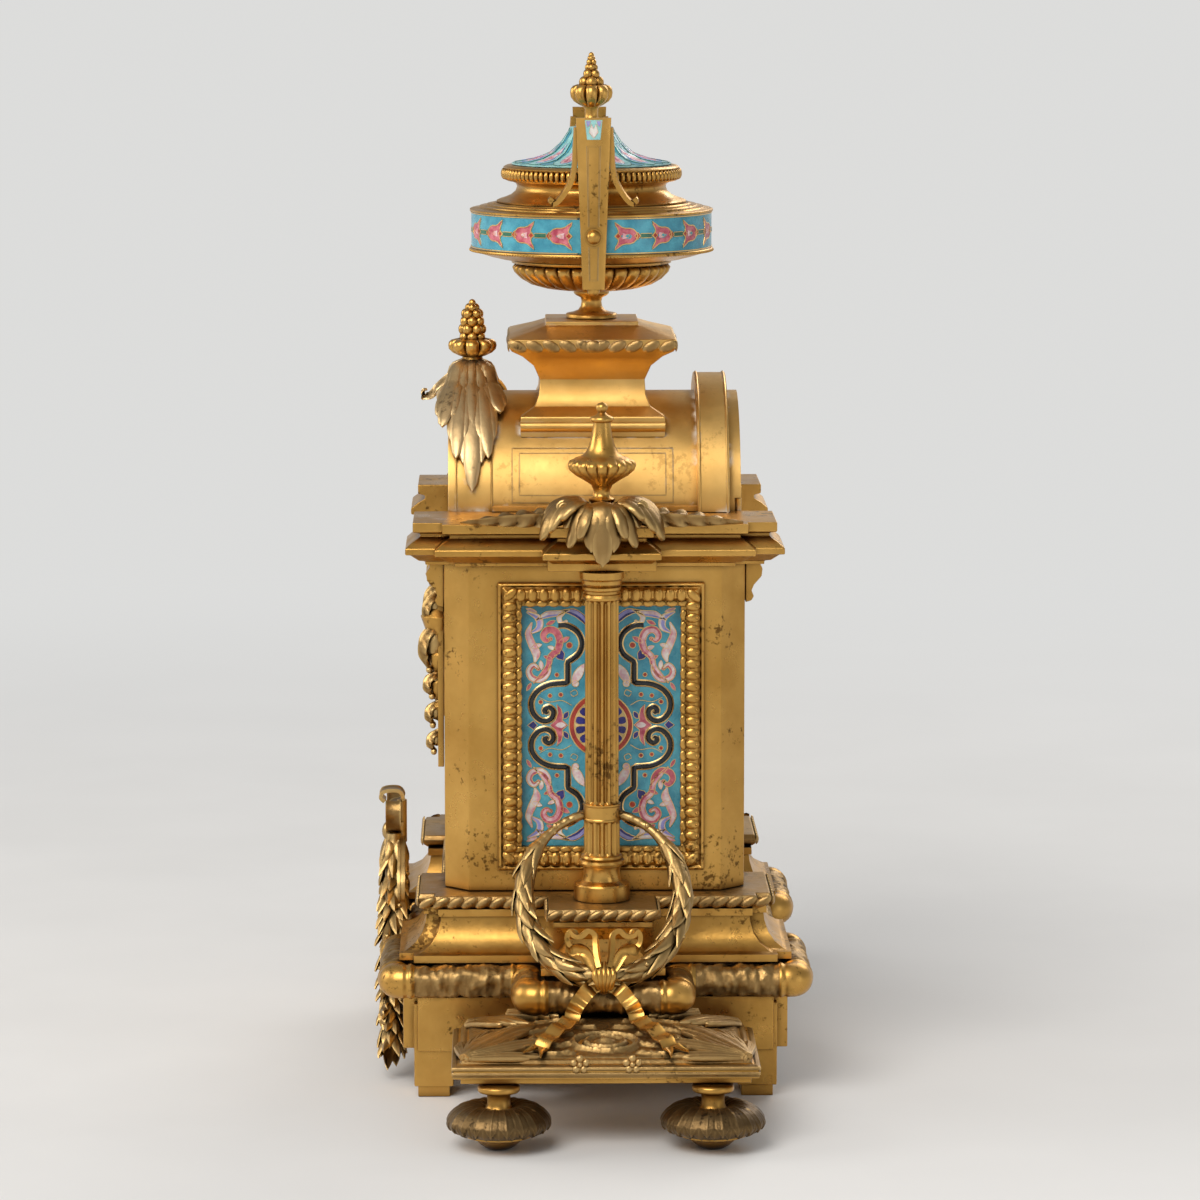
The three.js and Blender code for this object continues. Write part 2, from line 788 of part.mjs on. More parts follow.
// Wing: a crowned pad on a thin plate, with a tongue that reaches the plinth under the bay
function wingPad() {
  const crownShares = [[0, 0], [0.12, 0.38], [0.32, 0.72], [0.66, 1]];
  const fasciaTop = wingBottom + wingPlateHeight + wingFasciaHeight;
  const wingReach = wingOuter - wingInner;
  const profile = [
    [wingPlateInset, wingBottom],
    [wingPlateInset, wingBottom + wingPlateHeight],
    [0, wingBottom + wingPlateHeight],
    ...crownShares.map(([inset, up]) => [inset * wingReach, fasciaTop + up * wingCrownHeight]),
  ];
  const pad = moulding(
    (inset) => [
      [wingOuter - inset, bayCentreY + wingHalfDepth - inset],
      [wingInner, bayCentreY + wingHalfDepth - inset],
      [wingInner, bayCentreY - wingHalfDepth + inset],
      [wingOuter - inset, bayCentreY - wingHalfDepth + inset],
    ],
    profile,
  );
  const tongue = box(
    [plinthHalfWidth + seatGap, bayCentreY - bayHalfDepth, wingBottom],
    [wingInner + overrun, bayCentreY + bayHalfDepth, fasciaTop + wingCrownHeight],
  );
  return joined(pad, tongue);
}

// Toupie foot, screwed under a wing
function wingFoot() {
  const footShares = [
    [0, 0], [0.22, 0], [0.34, 0.07], [0.5, 0.13], [0.85, 0.24], [1, 0.42], [0.9, 0.56],
    [0.5, 0.68], [0.21, 0.72], [0.21, 0.86], [0.4, 0.88], [0.4, 1], [0, 1],
  ];
  return turnedShares(footShares, wingFootRadius, 0, wingBottom - seatGap, turnedSides);
}

// Column: turned base and capital with fluted shafts between
function column() {
  const bottom = leafBandTop + seatGap;
  const shaftStart = bottom + columnBaseHeight;
  const collarStart = shaftStart + lowerShaftHeight;
  const collarEnd = collarStart + collarHeight;
  const top = corniceBottom - seatGap;
  const capitalStart = top - capitalHeight;
  const fluted = (radius, low, high) => {
    const outline = [];
    const pointsPerFlute = 3;
    for (let point = 0; point < pointsPerFlute * fluteCount; point += 1) {
      const angle = (fullTurn * point) / (pointsPerFlute * fluteCount);
      const reach = point % pointsPerFlute ? radius : radius - fluteDepth;
      outline.push([reach * Math.cos(angle), reach * Math.sin(angle)]);
    }
    return moulding(() => outline, [[0, low - overrun], [0, high + overrun]]);
  };
  const baseShares = [[0, 0], [1, 0], [1, 0.26], [0.68, 0.34], [0.65, 0.6], [0.78, 0.7], [0.78, 0.88], [0.66, 1], [0, 1]];
  const collarShares = [[0, 0], [1, 0], [1, 1], [0, 1]];
  const capitalShares = [[0, 0], [0.88, 0], [0.88, 0.2], [0.8, 0.3], [0.8, 0.55], [1, 0.8], [1, 1], [0, 1]];
  const pieces = joined(
    turnedShares(baseShares, columnBaseRadius, bottom, shaftStart, turnedSides),
    fluted(columnPedestalRadius, shaftStart, collarStart),
    turnedShares(collarShares, columnCollarRadius, collarStart, collarEnd, turnedSides),
    fluted(columnShaftRadius, collarEnd, capitalStart),
    turnedShares(capitalShares, columnCapRadius, capitalStart, top, turnedSides),
  );
  return moved(pieces, columnX, bayCentreY, 0);
}

// Laurel wreath leaning out from the column's collar to the round moulding, with its ribbon bow
function wreath() {
  const centre = [(columnX + wreathFootX) / 2, (wreathTop + wreathFootZ) / 2];
  const lean = [(wreathFootX - columnX) / 2, (wreathFootZ - wreathTop) / 2];
  const openingAngle = Math.asin(wreathOpening / wreathHalfWidth);
  const pointAt = (share) => {
    const angle = openingAngle + share * (fullTurn - 2 * openingAngle);
    const down = -Math.cos(angle);
    const y = bayCentreY + wreathHalfWidth * Math.sin(angle);
    return [centre[0] + down * lean[0], y, centre[1] + down * lean[1]];
  };
  const radiusAt = (share) =>
    wreathTopRadius + (wreathFootRadius - wreathTopRadius) * Math.sin(Math.PI * share);
  const outward = new THREE.Vector3(-lean[1], 0, lean[0]).normalize();
  const ring = garland(pointAt, radiusAt, wreathSteps, wreathSides, outward);
  const knot = new THREE.SphereGeometry(wreathFootRadius, smallSides, wreathSides);
  const knotAt = [wreathFootX + ribbonHalfWidth, bayCentreY, wreathFootZ + ribbonHalfWidth];
  const loopShares = [[-0.2, 0.06, 0.1], [-0.25, 0.45, 0.7], [-0.3, 0.85, 1], [-0.1, 1, 0.65], [0.02, 0.6, 0.1], [0.02, 0.1, 0]];
  const tailShares = [[0.02, 0.2, -0.18], [0.05, 0.36, -0.62], [0.28, 0.55, -0.86], [0.6, 0.72, -0.95], [1, 1, -1.05]];
  const ribbon = (shares, reach, width, height, side) =>
    blade(
      shares.map(([out, across, up]) => ({
        at: [knotAt[0] + out * reach, knotAt[1] + side * across * width, knotAt[2] + up * height],
        half: ribbonHalfWidth,
        thick: ribbonHalfThickness,
      })),
      acrossWidth,
      strapShares,
    );
  const tail = (side) =>
    blade(
      tailShares.map(([out, across, up]) => ({
        at: [knotAt[0] + out * tailReach, knotAt[1] + side * across * tailHalfWidth, knotAt[2] + up * wreathDrop],
        half: ribbonHalfWidth,
        thick: ribbonHalfThickness,
      })),
      acrossDepth,
      strapShares,
    );
  const wreathDrop = wreathFootZ - wingBottom - wingPlateHeight - wingFasciaHeight - wingCrownHeight / 2;
  const bows = [1, -1].flatMap((side) => [ribbon(loopShares, bowHalfWidth, bowHalfWidth, bowHeight, side), tail(side)]);
  return joined(ring, moved(knot, ...knotAt), ...bows);
}

// Garland on the front: a cartouche, a bow and two laurel branches
function frontGarland() {
  const branch = (side) =>
    garland(
      (share) => [
        side * garlandHalfWidth * (0.06 + 0.94 * share ** 1.35),
        garlandY,
        garlandBow + (garlandBottom - garlandBow) * share ** 0.9,
      ],
      (share) => garlandRadius * (0.8 + 0.2 * Math.sin(Math.PI * share)),
      garlandSteps,
      wreathSides,
      acrossDepth,
    );
  const bowLoopShares = [[0.05, 0.1], [0.5, 0.75], [0.95, 0.8], [1, 0.35], [0.55, 0.05], [0.1, -0.1]];
  const loop = (side) =>
    blade(
      bowLoopShares.map(([across, up]) => ({
        at: [side * across * bowHalfWidth, garlandY, garlandBow + up * bowRise],
        half: garlandRadius,
        thick: ribbonHalfThickness,
      })),
      acrossDepth,
      strapShares,
    );
  const cartoucheShares = [[1, 0.1], [1, 0.8], [0.6, 1], [-0.6, 1], [-1, 0.8], [-1, 0.1], [-0.6, 0], [0.6, 0]];
  const recessFace = -(plinthHalfDepth + torusSetOut + torusRadius - frontRecessDepth) - seatGap;
  const cartouche = frontPlate(
    cartoucheShares.map(([across, up]) => [
      across * cartoucheHalfWidth,
      garlandBow + (up - 1) * cartoucheHeight,
    ]),
    recessFace - cartoucheThickness,
    recessFace,
  );
  const loopTop = box(
    [-garlandRadius, garlandY - garlandRadius, garlandBow - garlandRadius],
    [garlandRadius, recessFace, garlandBow + bowRise],
  );
  return joined(cartouche, loopTop, branch(1), branch(-1), loop(1), loop(-1));
}

// Case body: four walls with canted corners, open above and below
function bodyCase() {
  const cantedPlan = (offset) =>
    cornerSigns.flatMap(([sideX, sideY]) => {
      const width = bodyHalfWidth + offset;
      const depth = bodyHalfDepth + offset;
      const pair = [
        [sideX * width, sideY * (depth - bodyCant)],
        [sideX * (width - bodyCant), sideY * depth],
      ];
      return sideX * sideY > 0 ? pair : pair.reverse();
    });
  const walls = cut(
    moulding(cantedPlan, [[0, bodyBottom], [0, bodyTop]]),
    moulding(cantedPlan, [[-bodyWall, bodyBottom - overrun], [-bodyWall, bodyTop + overrun]]),
  );
  const sideWindow = box(
    [-bodyHalfWidth - overrun, bayCentreY - panelWidth / 2, panelBottom],
    [bodyHalfWidth + overrun, bayCentreY + panelWidth / 2, panelBottom + panelHeight],
  );
  const frontWindow = box(
    [-frontPanelWidth / 2, -bodyHalfDepth - overrun, frontPanelBottom],
    [frontPanelWidth / 2, 0, frontPanelBottom + frontPanelHeight],
  );
  const drumHole = moved(
    rodAlongY(drumOpening + seatGap, -bodyHalfDepth - overrun, bodyHalfDepth + overrun, drumSides),
    0,
    0,
    drumCentre,
  );
  return cut(walls, sideWindow, frontWindow, drumHole);
}

// Enamel panel, lying against the inside of a wall behind its window
function sidePanel() {
  const inner = bodyHalfWidth - bodyWall - seatGap;
  return box(
    [inner - panelThickness, bayCentreY - panelWidth / 2 - panelLap, panelBottom - panelLap],
    [inner, bayCentreY + panelWidth / 2 + panelLap, panelBottom + panelHeight + panelLap],
  );
}

function frontPanel() {
  const inner = seatGap + bodyWall - bodyHalfDepth;
  return box(
    [-frontPanelWidth / 2 - panelLap, inner, frontPanelBottom - panelLap],
    [frontPanelWidth / 2 + panelLap, inner + panelThickness, frontPanelBottom + frontPanelHeight + panelLap],
  );
}

// Frame round a window, mitred, with a raised middle
function sideFrame() {
  const riseShares = [[0, 0.5], [0.12, 0.75], [0.2, 0.4], [0.35, 1], [0.65, 1], [0.8, 0.4], [1, 0.4]];
  const planAt = (grow) => rectangle(panelWidth / 2 + grow, panelHeight / 2 + grow);
  const x = bodyHalfWidth + seatGap;
  const place = (levels) => (step, y, z) =>
    new THREE.Vector3(levels[step], y + bayCentreY, z + panelBottom + panelHeight / 2);
  const levels = riseShares.map(([, up]) => x + up * frameThickness);
  const hill = lofted(
    [planAt(frameWidth), ...riseShares.map(([inward]) => planAt(frameWidth * (1 - inward)))],
    place([x, ...levels]),
  );
  return cut(hill, lofted([planAt(0), planAt(0)], place([x - overrun, x + frameThickness + overrun])));
}

// Console block with a scrolled front, hanging from a level
function consoleBlock(wallY, side, top) {
  const scrollShares = [[0, 0], [0.35, 0.04], [0.5, 0.14], [0.35, 0.26], [0.5, 0.4], [0.95, 0.6], [1, 0.78], [0.8, 0.9], [0.8, 1], [0, 1]];
  return sidePlate(
    scrollShares.map(([out, up]) => [wallY + side * out * consoleReach, top - consoleHeight + up * consoleHeight]),
    pilasterX - consoleHalfWidth,
    pilasterX + consoleHalfWidth,
  );
}

// Pilaster on the front: a strip with a console and a drop of husks
function pilaster() {
  const wall = -bodyHalfDepth - seatGap;
  const top = bodyTop - seatGap;
  const strip = box(
    [pilasterX - pilasterHalfWidth, wall - pilasterThickness, pilasterBottom],
    [pilasterX + pilasterHalfWidth, wall, top],
  );
  const huskShares = [[0, 0], [0.35, 0.1], [0.75, 0.45], [1, 0.75], [0.6, 0.95], [0, 1]];
  const sizes = [1, 0.7, 0.62, 0.5];
  let huskTop = top - consoleHeight - seatGap;
  const husks = sizes.map((scale) => {
    const bottom = huskTop - scale * huskLength;
    const husk = turnedShares(huskShares, scale * huskRadius, bottom, huskTop, smallSides);
    huskTop = bottom;
    return moved(husk, pilasterX, wall - pilasterThickness, 0);
  });
  const keep = box(
    [pilasterX - huskRadius - overrun, wall, pilasterBottom - huskLength],
    [pilasterX + huskRadius + overrun, wall + huskRadius + overrun, top],
  );
  return cut(joined(strip, consoleBlock(wall, -1, top), ...husks), keep);
}

// One half of the cornice, beside the drum, with its bay and rear console
function cornice() {
  const sizes = {
    halfWidth: corniceHalfWidth,
    halfDepth: corniceHalfDepth,
    notchWidth: corniceNotchWidth,
    notchDepth: corniceNotchDepth,
    bayReach: corniceBayReach,
    bayHalf: corniceBayHalf,
  };
  const profileShares = [
    [0, 0], [0, 0.08], [0.35, 0.12], [0.75, 0.26], [1, 0.28], [1, 0.42], [0.65, 0.55],
    [0.25, 0.66], [0.25, 0.74], [0.62, 0.78], [0.62, 1],
  ];
  const profile = profileShares.map(([out, up]) => [out * corniceReach, corniceBottom + up * corniceHeight]);
  const slab = moulding(steppedPlan(sizes), profile);
  const architrave = box(
    [bodyHalfWidth + seatGap, bayCentreY - architraveHalfDepth, corniceBottom],
    [architraveReach, bayCentreY + architraveHalfDepth, corniceBottom + architraveHeight],
  );
  const rearConsole = consoleBlock(bodyHalfDepth + seatGap, 1, corniceBottom + overrun);
  const otherSide = box(
    [-corniceHalfWidth - 2 * corniceBayReach, -2 * corniceHalfDepth, corniceBottom - overrun],
    [drumOpening, 2 * corniceHalfDepth, corniceTop + overrun],
  );
  return joined(cut(slab, otherSide), architrave, rearConsole);
}

// Ring at the front of the drum, with the seat of the dial and the lugs of the bezel's hinge
function drumFrontRing() {
  const innerRadius = bezelRadius + seatGap;
  const seat = dialBack + seatGap;
  const ringBack = drumFront + frontRingDepth;
  const ring = moved(
    spun(
      [
        [drumRadius, drumFront],
        [drumRadius, ringBack],
        [innerRadius - dialSeatWidth, ringBack],
        [innerRadius - dialSeatWidth, seat],
        [innerRadius, seat],
        [innerRadius, drumFront],
        [drumRadius, drumFront],
      ],
      drumSides,
    ),
    0,
    0,
    drumCentre,
  );
  return cut(ring, hingeRoom(-1, bezelHingeY));
}

// Places of the hinges: the bezel's at the left of the front ring, the door's at the right of the rear ring
const hingeX = (bezelRadius + drumRadius) / 2;
const bezelHingeY = drumFront + hingeInset;
const doorHingeY = drumBack - hingeInset;

// Room for a hinge in the wall of a ring, open to the outside
function hingeRoom(side, y) {
  const low = hingeX - hingeLeafReach;
  const high = drumRadius + overrun;
  const reach = hingeRadius + 2 * runningGap;
  const half = hingeLength / 2 + runningGap;
  const room = box([low, y - reach, drumCentre - half], [high, y + reach, drumCentre + half]);
  return side > 0 ? room : room.scale(-1, 1, 1);
}

// Knuckle of a hinge with the leaf that joins it to a disc or ring
function hingeKnuckle(side, y, leafFront, leafBack) {
  const half = hingeLength / 2;
  const knuckle = joined(
    moved(rodAlongZ(hingeRadius, drumCentre - half, drumCentre + half, smallSides), hingeX, y, 0),
    box([hingeX - hingeLeafReach, leafFront, drumCentre - half], [hingeX, leafBack, drumCentre + half]),
  );
  return side > 0 ? knuckle : knuckle.scale(-1, 1, 1);
}

// Hinged bezel: a ring with a lip over the glass, and the knuckle of its hinge
function dialBezel() {
  const back = drumFront + bezelDepth;
  const bezelFront = drumFront + seatGap;
  const ring = moved(
    spun(
      [
        [bezelRadius - seatGap, drumFront + seatGap],
        [bezelRadius - seatGap, back],
        [bezelInnerRadius, back],
        [bezelInnerRadius, drumFront + seatGap + bezelLipDepth],
        [bezelInnerRadius - bezelLip, drumFront + seatGap + bezelLipDepth],
        [bezelInnerRadius - bezelLip, drumFront + seatGap],
        [bezelRadius - seatGap, drumFront + seatGap],
      ],
      drumSides,
    ),
    0,
    0,
    drumCentre,
  );
  return joined(ring, hingeKnuckle(-1, bezelHingeY, bezelFront, bezelFront + bezelLipDepth));
}

function bezelGlass() {
  const front = drumFront + seatGap + bezelLipDepth + seatGap;
  return moved(rodAlongY(bezelInnerRadius - seatGap, front, front + glassThickness, drumSides), 0, 0, drumCentre);
}

const barrelZ = drumCentre + barrelCircle * barrelDropShare;
const barrelX = barrelCircle * Math.sqrt(1 - barrelDropShare ** 2);

// Dial plate with its centre and winding holes
function dialFace() {
  const hole = (radius, x, z) => moved(rodAlongY(radius, dialFront - overrun, dialBack + overrun, smallSides), x, 0, z);
  return cut(
    moved(rodAlongY(dialRadius, dialFront, dialBack, drumSides), 0, 0, drumCentre),
    hole(dialCentreHole, 0, drumCentre),
    hole(windingHoleRadius, barrelX, barrelZ),
    hole(windingHoleRadius, -barrelX, barrelZ),
  );
}

// Shell of the drum: the roof over the cornice, the raised band and the full ring at the back
function drumShell() {
  const springing = corniceTop + seatGap;
  const roofFront = drumFront + frontRingDepth + seatGap;
  const inner = drumRadius - drumWall;
  const tube = (low, high, front, back) =>
    moved(
      spun([[low, front], [high, front], [high, back], [low, back], [low, front]], drumSides),
      0,
      0,
      drumCentre,
    );
  const bandRadius = drumRadius + archBandHeight;
  const roof = joined(
    tube(inner, drumRadius, roofFront, drumBack - overrun),
    tube(inner + overrun, bandRadius, archBandFront, archBandFront + archBandDepth),
  );
  const below = box(
    [-2 * drumRadius, drumFront, drumCentre - 2 * drumRadius],
    [2 * drumRadius, drumBack + overrun, springing],
  );
  const foot = box(
    [inner, roofFront, springing],
    [drumRadius + drumFootWidth, archBandFront + overrun, springing + drumFootHeight],
  );
  const ringFront = drumBack - rearRingDepth;
  const stop = drumBack - doorThickness - seatGap;
  const rearRing = joined(
    tube(doorRadius + seatGap, drumRadius, ringFront, drumBack),
    tube(doorRadius - doorStopWidth, drumRadius - drumWall / 2, ringFront, stop),
  );
  const boltHole = rodAlongZ(tieBoltRadius + seatGap, drumCentre, drumCentre + 2 * drumRadius, smallSides);
  return cut(
    joined(cut(roof, below), foot, foot.clone().scale(-1, 1, 1), rearRing),
    boltHole,
    hingeRoom(1, doorHingeY),
  );
}

// Rear door with a ring of sound holes, a knob and the knuckle of its hinge
function rearDoor() {
  const front = drumBack - doorThickness;
  const disc = moved(rodAlongY(doorRadius - seatGap, front, drumBack, drumSides), 0, 0, drumCentre);
  const holes = [];
  for (let hole = 0; hole < soundHoleCount; hole += 1) {
    const angle = (fullTurn * (hole + 1 / 2)) / soundHoleCount;
    holes.push(
      moved(
        rodAlongY(soundHoleRadius, front - overrun, drumBack + overrun, arborSides),
        soundHoleCircle * Math.cos(angle),
        0,
        drumCentre + soundHoleCircle * Math.sin(angle),
      ),
    );
  }
  const knobX = 2 * doorKnobRadius - doorRadius;
  const knobShares = [[0, 0], [0.5, 0], [0.5, 0.4], [1, 0.6], [0.8, 1], [0, 1]];
  const knob = moved(
    spun(
      knobShares.map(([out, along]) => [out * doorKnobRadius, drumBack - overrun + along * doorKnobLength]),
      smallSides,
    ),
    knobX,
    0,
    drumCentre,
  );
  return joined(cut(disc, ...holes), hingeKnuckle(1, doorHingeY, front, drumBack), knob);
}

// Outline of a wheel with pointed teeth, the first tooth at the given angle
function toothedOutline(teeth, wheelModule, firstAngle) {
  const pitchRadius = (teeth * wheelModule) / 2;
  const tipRadius = pitchRadius + 0.85 * wheelModule;
  const rootRadius = pitchRadius - 1.1 * wheelModule;
  const outline = [];
  for (let tooth = 0; tooth < teeth; tooth += 1) {
    const middle = firstAngle + (fullTurn * tooth) / teeth;
    const quarter = fullTurn / teeth / 2;
    outline.push([tipRadius * Math.cos(middle), tipRadius * Math.sin(middle)]);
    outline.push([rootRadius * Math.cos(middle + quarter), rootRadius * Math.sin(middle + quarter)]);
  }
  return outline;
}

function wheelAt(outline, x, z, front, back) {
  return moved(frontPlate(outline, front, back), x, 0, z);
}

// Turned arbor between the plates, with a pivot at each end
function arbor(x, z, front, back) {
  const shoulder = runningGap;
  const shaft = rodAlongY(arborRadius, frontPlateY + plateThickness + shoulder, backPlateY - shoulder, arborSides);
  return moved(joined(shaft, rodAlongY(pivotRadius, front, back, arborSides)), x, 0, z);
}

// Places of the train's arbors, from the wheels' pitch circles
const centrePitch = (wheelTeeth * centreWheelModule) / 2;
const thirdDistance = centrePitch + (trainPinionTeeth * centreWheelModule) / 2;
const thirdX = thirdWheelX;
const thirdZ = drumCentre + Math.sqrt(thirdDistance ** 2 - thirdX ** 2);
const escapeDistance = ((wheelTeeth + trainPinionTeeth) * thirdWheelModule) / 2;
const escapeZ = thirdZ + Math.sqrt(escapeDistance ** 2 - thirdX ** 2);
const anchorZ = escapeZ + anchorRise;
const motionDistance = ((cannonTeeth + minuteWheelTeeth) * motionModule) / 2;
const hourModule = (2 * motionDistance) / (hourPinionTeeth + hourWheelTeeth);
const minuteWheelZ = drumCentre - motionDistance;
const plateBore = pivotRadius + runningGap;
const insideFront = frontPlateY + plateThickness;

// Layers of the movement, from the front plate back
const greatWheelFront = insideFront + 2 * runningGap + overrun;
const barrelBack = greatWheelFront + greatWheelThickness + barrelDrumDepth;
const centreWheelFront = barrelBack + overrun;
const thirdWheelFront = centreWheelFront + wheelThickness + trainPinionDepth;
const escapeFront = thirdWheelFront + wheelThickness + trainPinionDepth;
const motionFront = frontPlateY - runningGap - motionWheelThickness;
const hourWheelFront = motionFront - runningGap - motionWheelThickness;
const hourHandFront = dialFront - overrun - handThickness;
const minuteHandFront = hourHandFront - overrun - handThickness;

function plateHoles(front, back, places) {
  return places.map(([x, z, radius]) => moved(rodAlongY(radius, front - overrun, back + overrun, arborSides), x, 0, z));
}

const windingBore = windingArborRadius + runningGap;
const arborPlaces = [
  [thirdX, thirdZ, plateBore],
  [0, escapeZ, plateBore],
  [0, anchorZ, plateBore],
];

// Front plate with its four riveted pillars and the stud of the minute wheel
function movementFrontPlate() {
  const disc = moved(rodAlongY(plateRadius, frontPlateY, insideFront, drumSides), 0, 0, drumCentre);
  const pillars = cornerSigns.map(([sideX, sideZ]) =>
    moved(
      rodAlongY(pillarRadius, insideFront - overrun, backPlateY - seatGap, pillarSides),
      (sideX * pillarCircle) / Math.SQRT2,
      0,
      drumCentre + (sideZ * pillarCircle) / Math.SQRT2,
    ),
  );
  const stud = moved(
    rodAlongY(pivotRadius, hourWheelFront - motionWheelThickness, frontPlateY + overrun, arborSides),
    0,
    0,
    minuteWheelZ,
  );
  const holes = plateHoles(frontPlateY, insideFront, [
    [0, drumCentre, arborRadius + 2 * runningGap],
    [barrelX, barrelZ, windingBore],
    [-barrelX, barrelZ, windingBore],
    ...arborPlaces,
  ]);
  return cut(joined(disc, ...pillars, stud), ...holes);
}

const pendulumY = backPlateRear + pendulumSetBack;
const bellZ = drumCentre - bellDrop;
const bellMouth = backPlateRear + bellSetBack;

// Back plate with the pendulum's cock and pin, and the stand and screw of the bell
function movementBackPlate() {
  const disc = moved(rodAlongY(plateRadius, backPlateY, backPlateRear, drumSides), 0, 0, drumCentre);
  const holes = plateHoles(backPlateY, backPlateRear, [
    [0, drumCentre, plateBore],
    [barrelX, barrelZ, windingBore],
    [-barrelX, barrelZ, windingBore],
    [hammerX, drumCentre + hammerRise, plateBore],
    [thirdX, thirdZ, plateBore],
    [0, escapeZ, plateBore],
    [0, anchorZ, arborRadius + runningGap],
  ]);
  const cockBottom = anchorZ + eyeRadius + 2 * seatGap;
  const hangerFront = pendulumY + eyeHalfDepth + seatGap;
  const cockBack = hangerFront + hangerThickness;
  const cockFoot = box(
    [-cockWidth / 2, backPlateRear - overrun, anchorZ + arborRadius + 2 * runningGap],
    [cockWidth / 2, backPlateRear + crutchSetBack / 2, cockBottom + cockThickness],
  );
  const arch = box(
    [-cockWidth / 2, backPlateRear, cockBottom],
    [cockWidth / 2, cockBack, cockBottom + cockThickness],
  );
  const hanger = box(
    [-2 * suspensionPinRadius, hangerFront, anchorZ - 2 * suspensionPinRadius],
    [2 * suspensionPinRadius, cockBack, cockBottom + overrun],
  );
  const pinFront = pendulumY - eyeHalfDepth - overrun;
  const pin = moved(rodAlongY(suspensionPinRadius, pinFront, cockBack, arborSides), 0, 0, anchorZ);
  const armY = bellMouth + bellDepth / 2;
  const post = moved(rodAlongY(bellPostRadius, backPlateRear - overrun, armY + bellArmThickness, arborSides), bellPostX, 0, bellZ);
  const arm = box(
    [bellPostX - bellPostRadius, armY, bellZ - bellPostRadius],
    [bellPostRadius, armY + bellArmThickness, bellZ + bellPostRadius],
  );
  const bellTop = bellMouth + bellDepth;
  const stub = moved(rodAlongY(bellPostRadius, armY, bellTop + overrun, arborSides), 0, 0, bellZ);
  const screw = moved(
    rodAlongY(bellScrewRadius, bellTop + seatGap, bellTop + seatGap + 2 * bellArmThickness, smallSides),
    0,
    0,
    bellZ,
  );
  return joined(cut(disc, ...holes), cockFoot, arch, hanger, pin, post, arm, stub, screw);
}

// Bell: a thin bowl that opens towards the movement
function bell() {
  const domeShares = [[1, 0], [0.99, 0.3], [0.9, 0.62], [0.66, 0.88], [0.3, 0.99]];
  const outer = domeShares.map(([out, along]) => [out * bellRadius, bellMouth + along * bellDepth]);
  const inner = domeShares.map(([out, along]) => [
    out * (bellRadius - bellWall),
    bellMouth + along * (bellDepth - bellWall),
  ]);
  const bore = bellPostRadius + seatGap;
  const profile = [
    ...outer,
    [bore, bellMouth + bellDepth],
    [bore, bellMouth + bellDepth - bellWall],
    ...inner.reverse(),
    outer[0],
  ];
  return moved(spun(profile, drumSides * 2 / 3), 0, 0, bellZ);
}

const hammerZ = drumCentre + hammerRise;
const hammerHeadX = bellRadius + hammerHeadRadius + hammerClearance;

// Hammer beside the bell, on its own arbor
function hammer() {
  const head = moved(
    rodAlongY(hammerHeadRadius, bellMouth - hammerHeadLength / 2, bellMouth + hammerHeadLength, smallSides),
    hammerHeadX,
    0,
    bellZ,
  );
  const shank = blade(
    [
      { at: [hammerX, bellMouth, hammerZ], half: hammerShankRadius, thick: hammerShankRadius },
      { at: [hammerHeadX, bellMouth, bellZ], half: hammerShankRadius, thick: hammerShankRadius },
    ],
    acrossDepth,
    strapShares,
  );
  const shaft = moved(
    joined(
      rodAlongY(arborRadius, backPlateRear + runningGap, bellMouth + hammerShankRadius, arborSides),
      rodAlongY(pivotRadius, backPlateY - plateThickness, backPlateRear + overrun, arborSides),
    ),
    hammerX,
    0,
    hammerZ,
  );
  return joined(head, shank, shaft);
}

// Mainspring barrel with its toothed wheel and winding arbor
function barrel(side, wheelFront, phase) {
  const x = side * barrelX;
  const wheel = wheelAt(toothedOutline(barrelTeeth, barrelModule, phase), x, barrelZ, wheelFront, wheelFront + greatWheelThickness);
  const drum = moved(rodAlongY(barrelDrumRadius, greatWheelFront + runningGap, barrelBack, turnedSides), x, 0, barrelZ);
  const windingArbor = moved(rodAlongY(windingArborRadius, dialFront + runningGap, backPlateRear, arborSides), x, 0, barrelZ);
  return joined(wheel, drum, windingArbor);
}

// Angle of the line from one arbor to another, seen in the plane of the wheels
function bearing(fromX, fromZ, toX, toZ) {
  return Math.atan2(toZ - fromZ, toX - fromX);
}

// First tooth of a pinion, so that one of its gaps faces the wheel that drives it
function gapToward(teeth, angle) {
  return angle + Math.PI / teeth;
}

const barrelToCentre = bearing(barrelX, barrelZ, 0, drumCentre);
const centreToThird = bearing(0, drumCentre, thirdX, thirdZ);
const thirdToEscape = bearing(thirdX, thirdZ, 0, escapeZ);

function centreWheel() {
  const axis = arbor(0, drumCentre, minuteHandFront - handThickness, backPlateRear);
  const pinionPhase = gapToward(centrePinionTeeth, barrelToCentre + Math.PI);
  const pinion = wheelAt(
    toothedOutline(centrePinionTeeth, barrelModule, pinionPhase),
    0,
    drumCentre,
    greatWheelFront - runningGap,
    greatWheelFront + greatWheelThickness,
  );
  const wheel = wheelAt(
    toothedOutline(wheelTeeth, centreWheelModule, centreToThird),
    0,
    drumCentre,
    centreWheelFront,
    centreWheelFront + wheelThickness,
  );
  const cannon = wheelAt(
    toothedOutline(cannonTeeth, motionModule, -quarterTurn),
    0,
    drumCentre,
    motionFront,
    motionFront + motionWheelThickness,
  );
  const spindle = moved(rodAlongY(arborRadius, minuteHandFront - handThickness, insideFront + overrun, arborSides), 0, 0, drumCentre);
  return joined(axis, spindle, pinion, wheel, cannon);
}

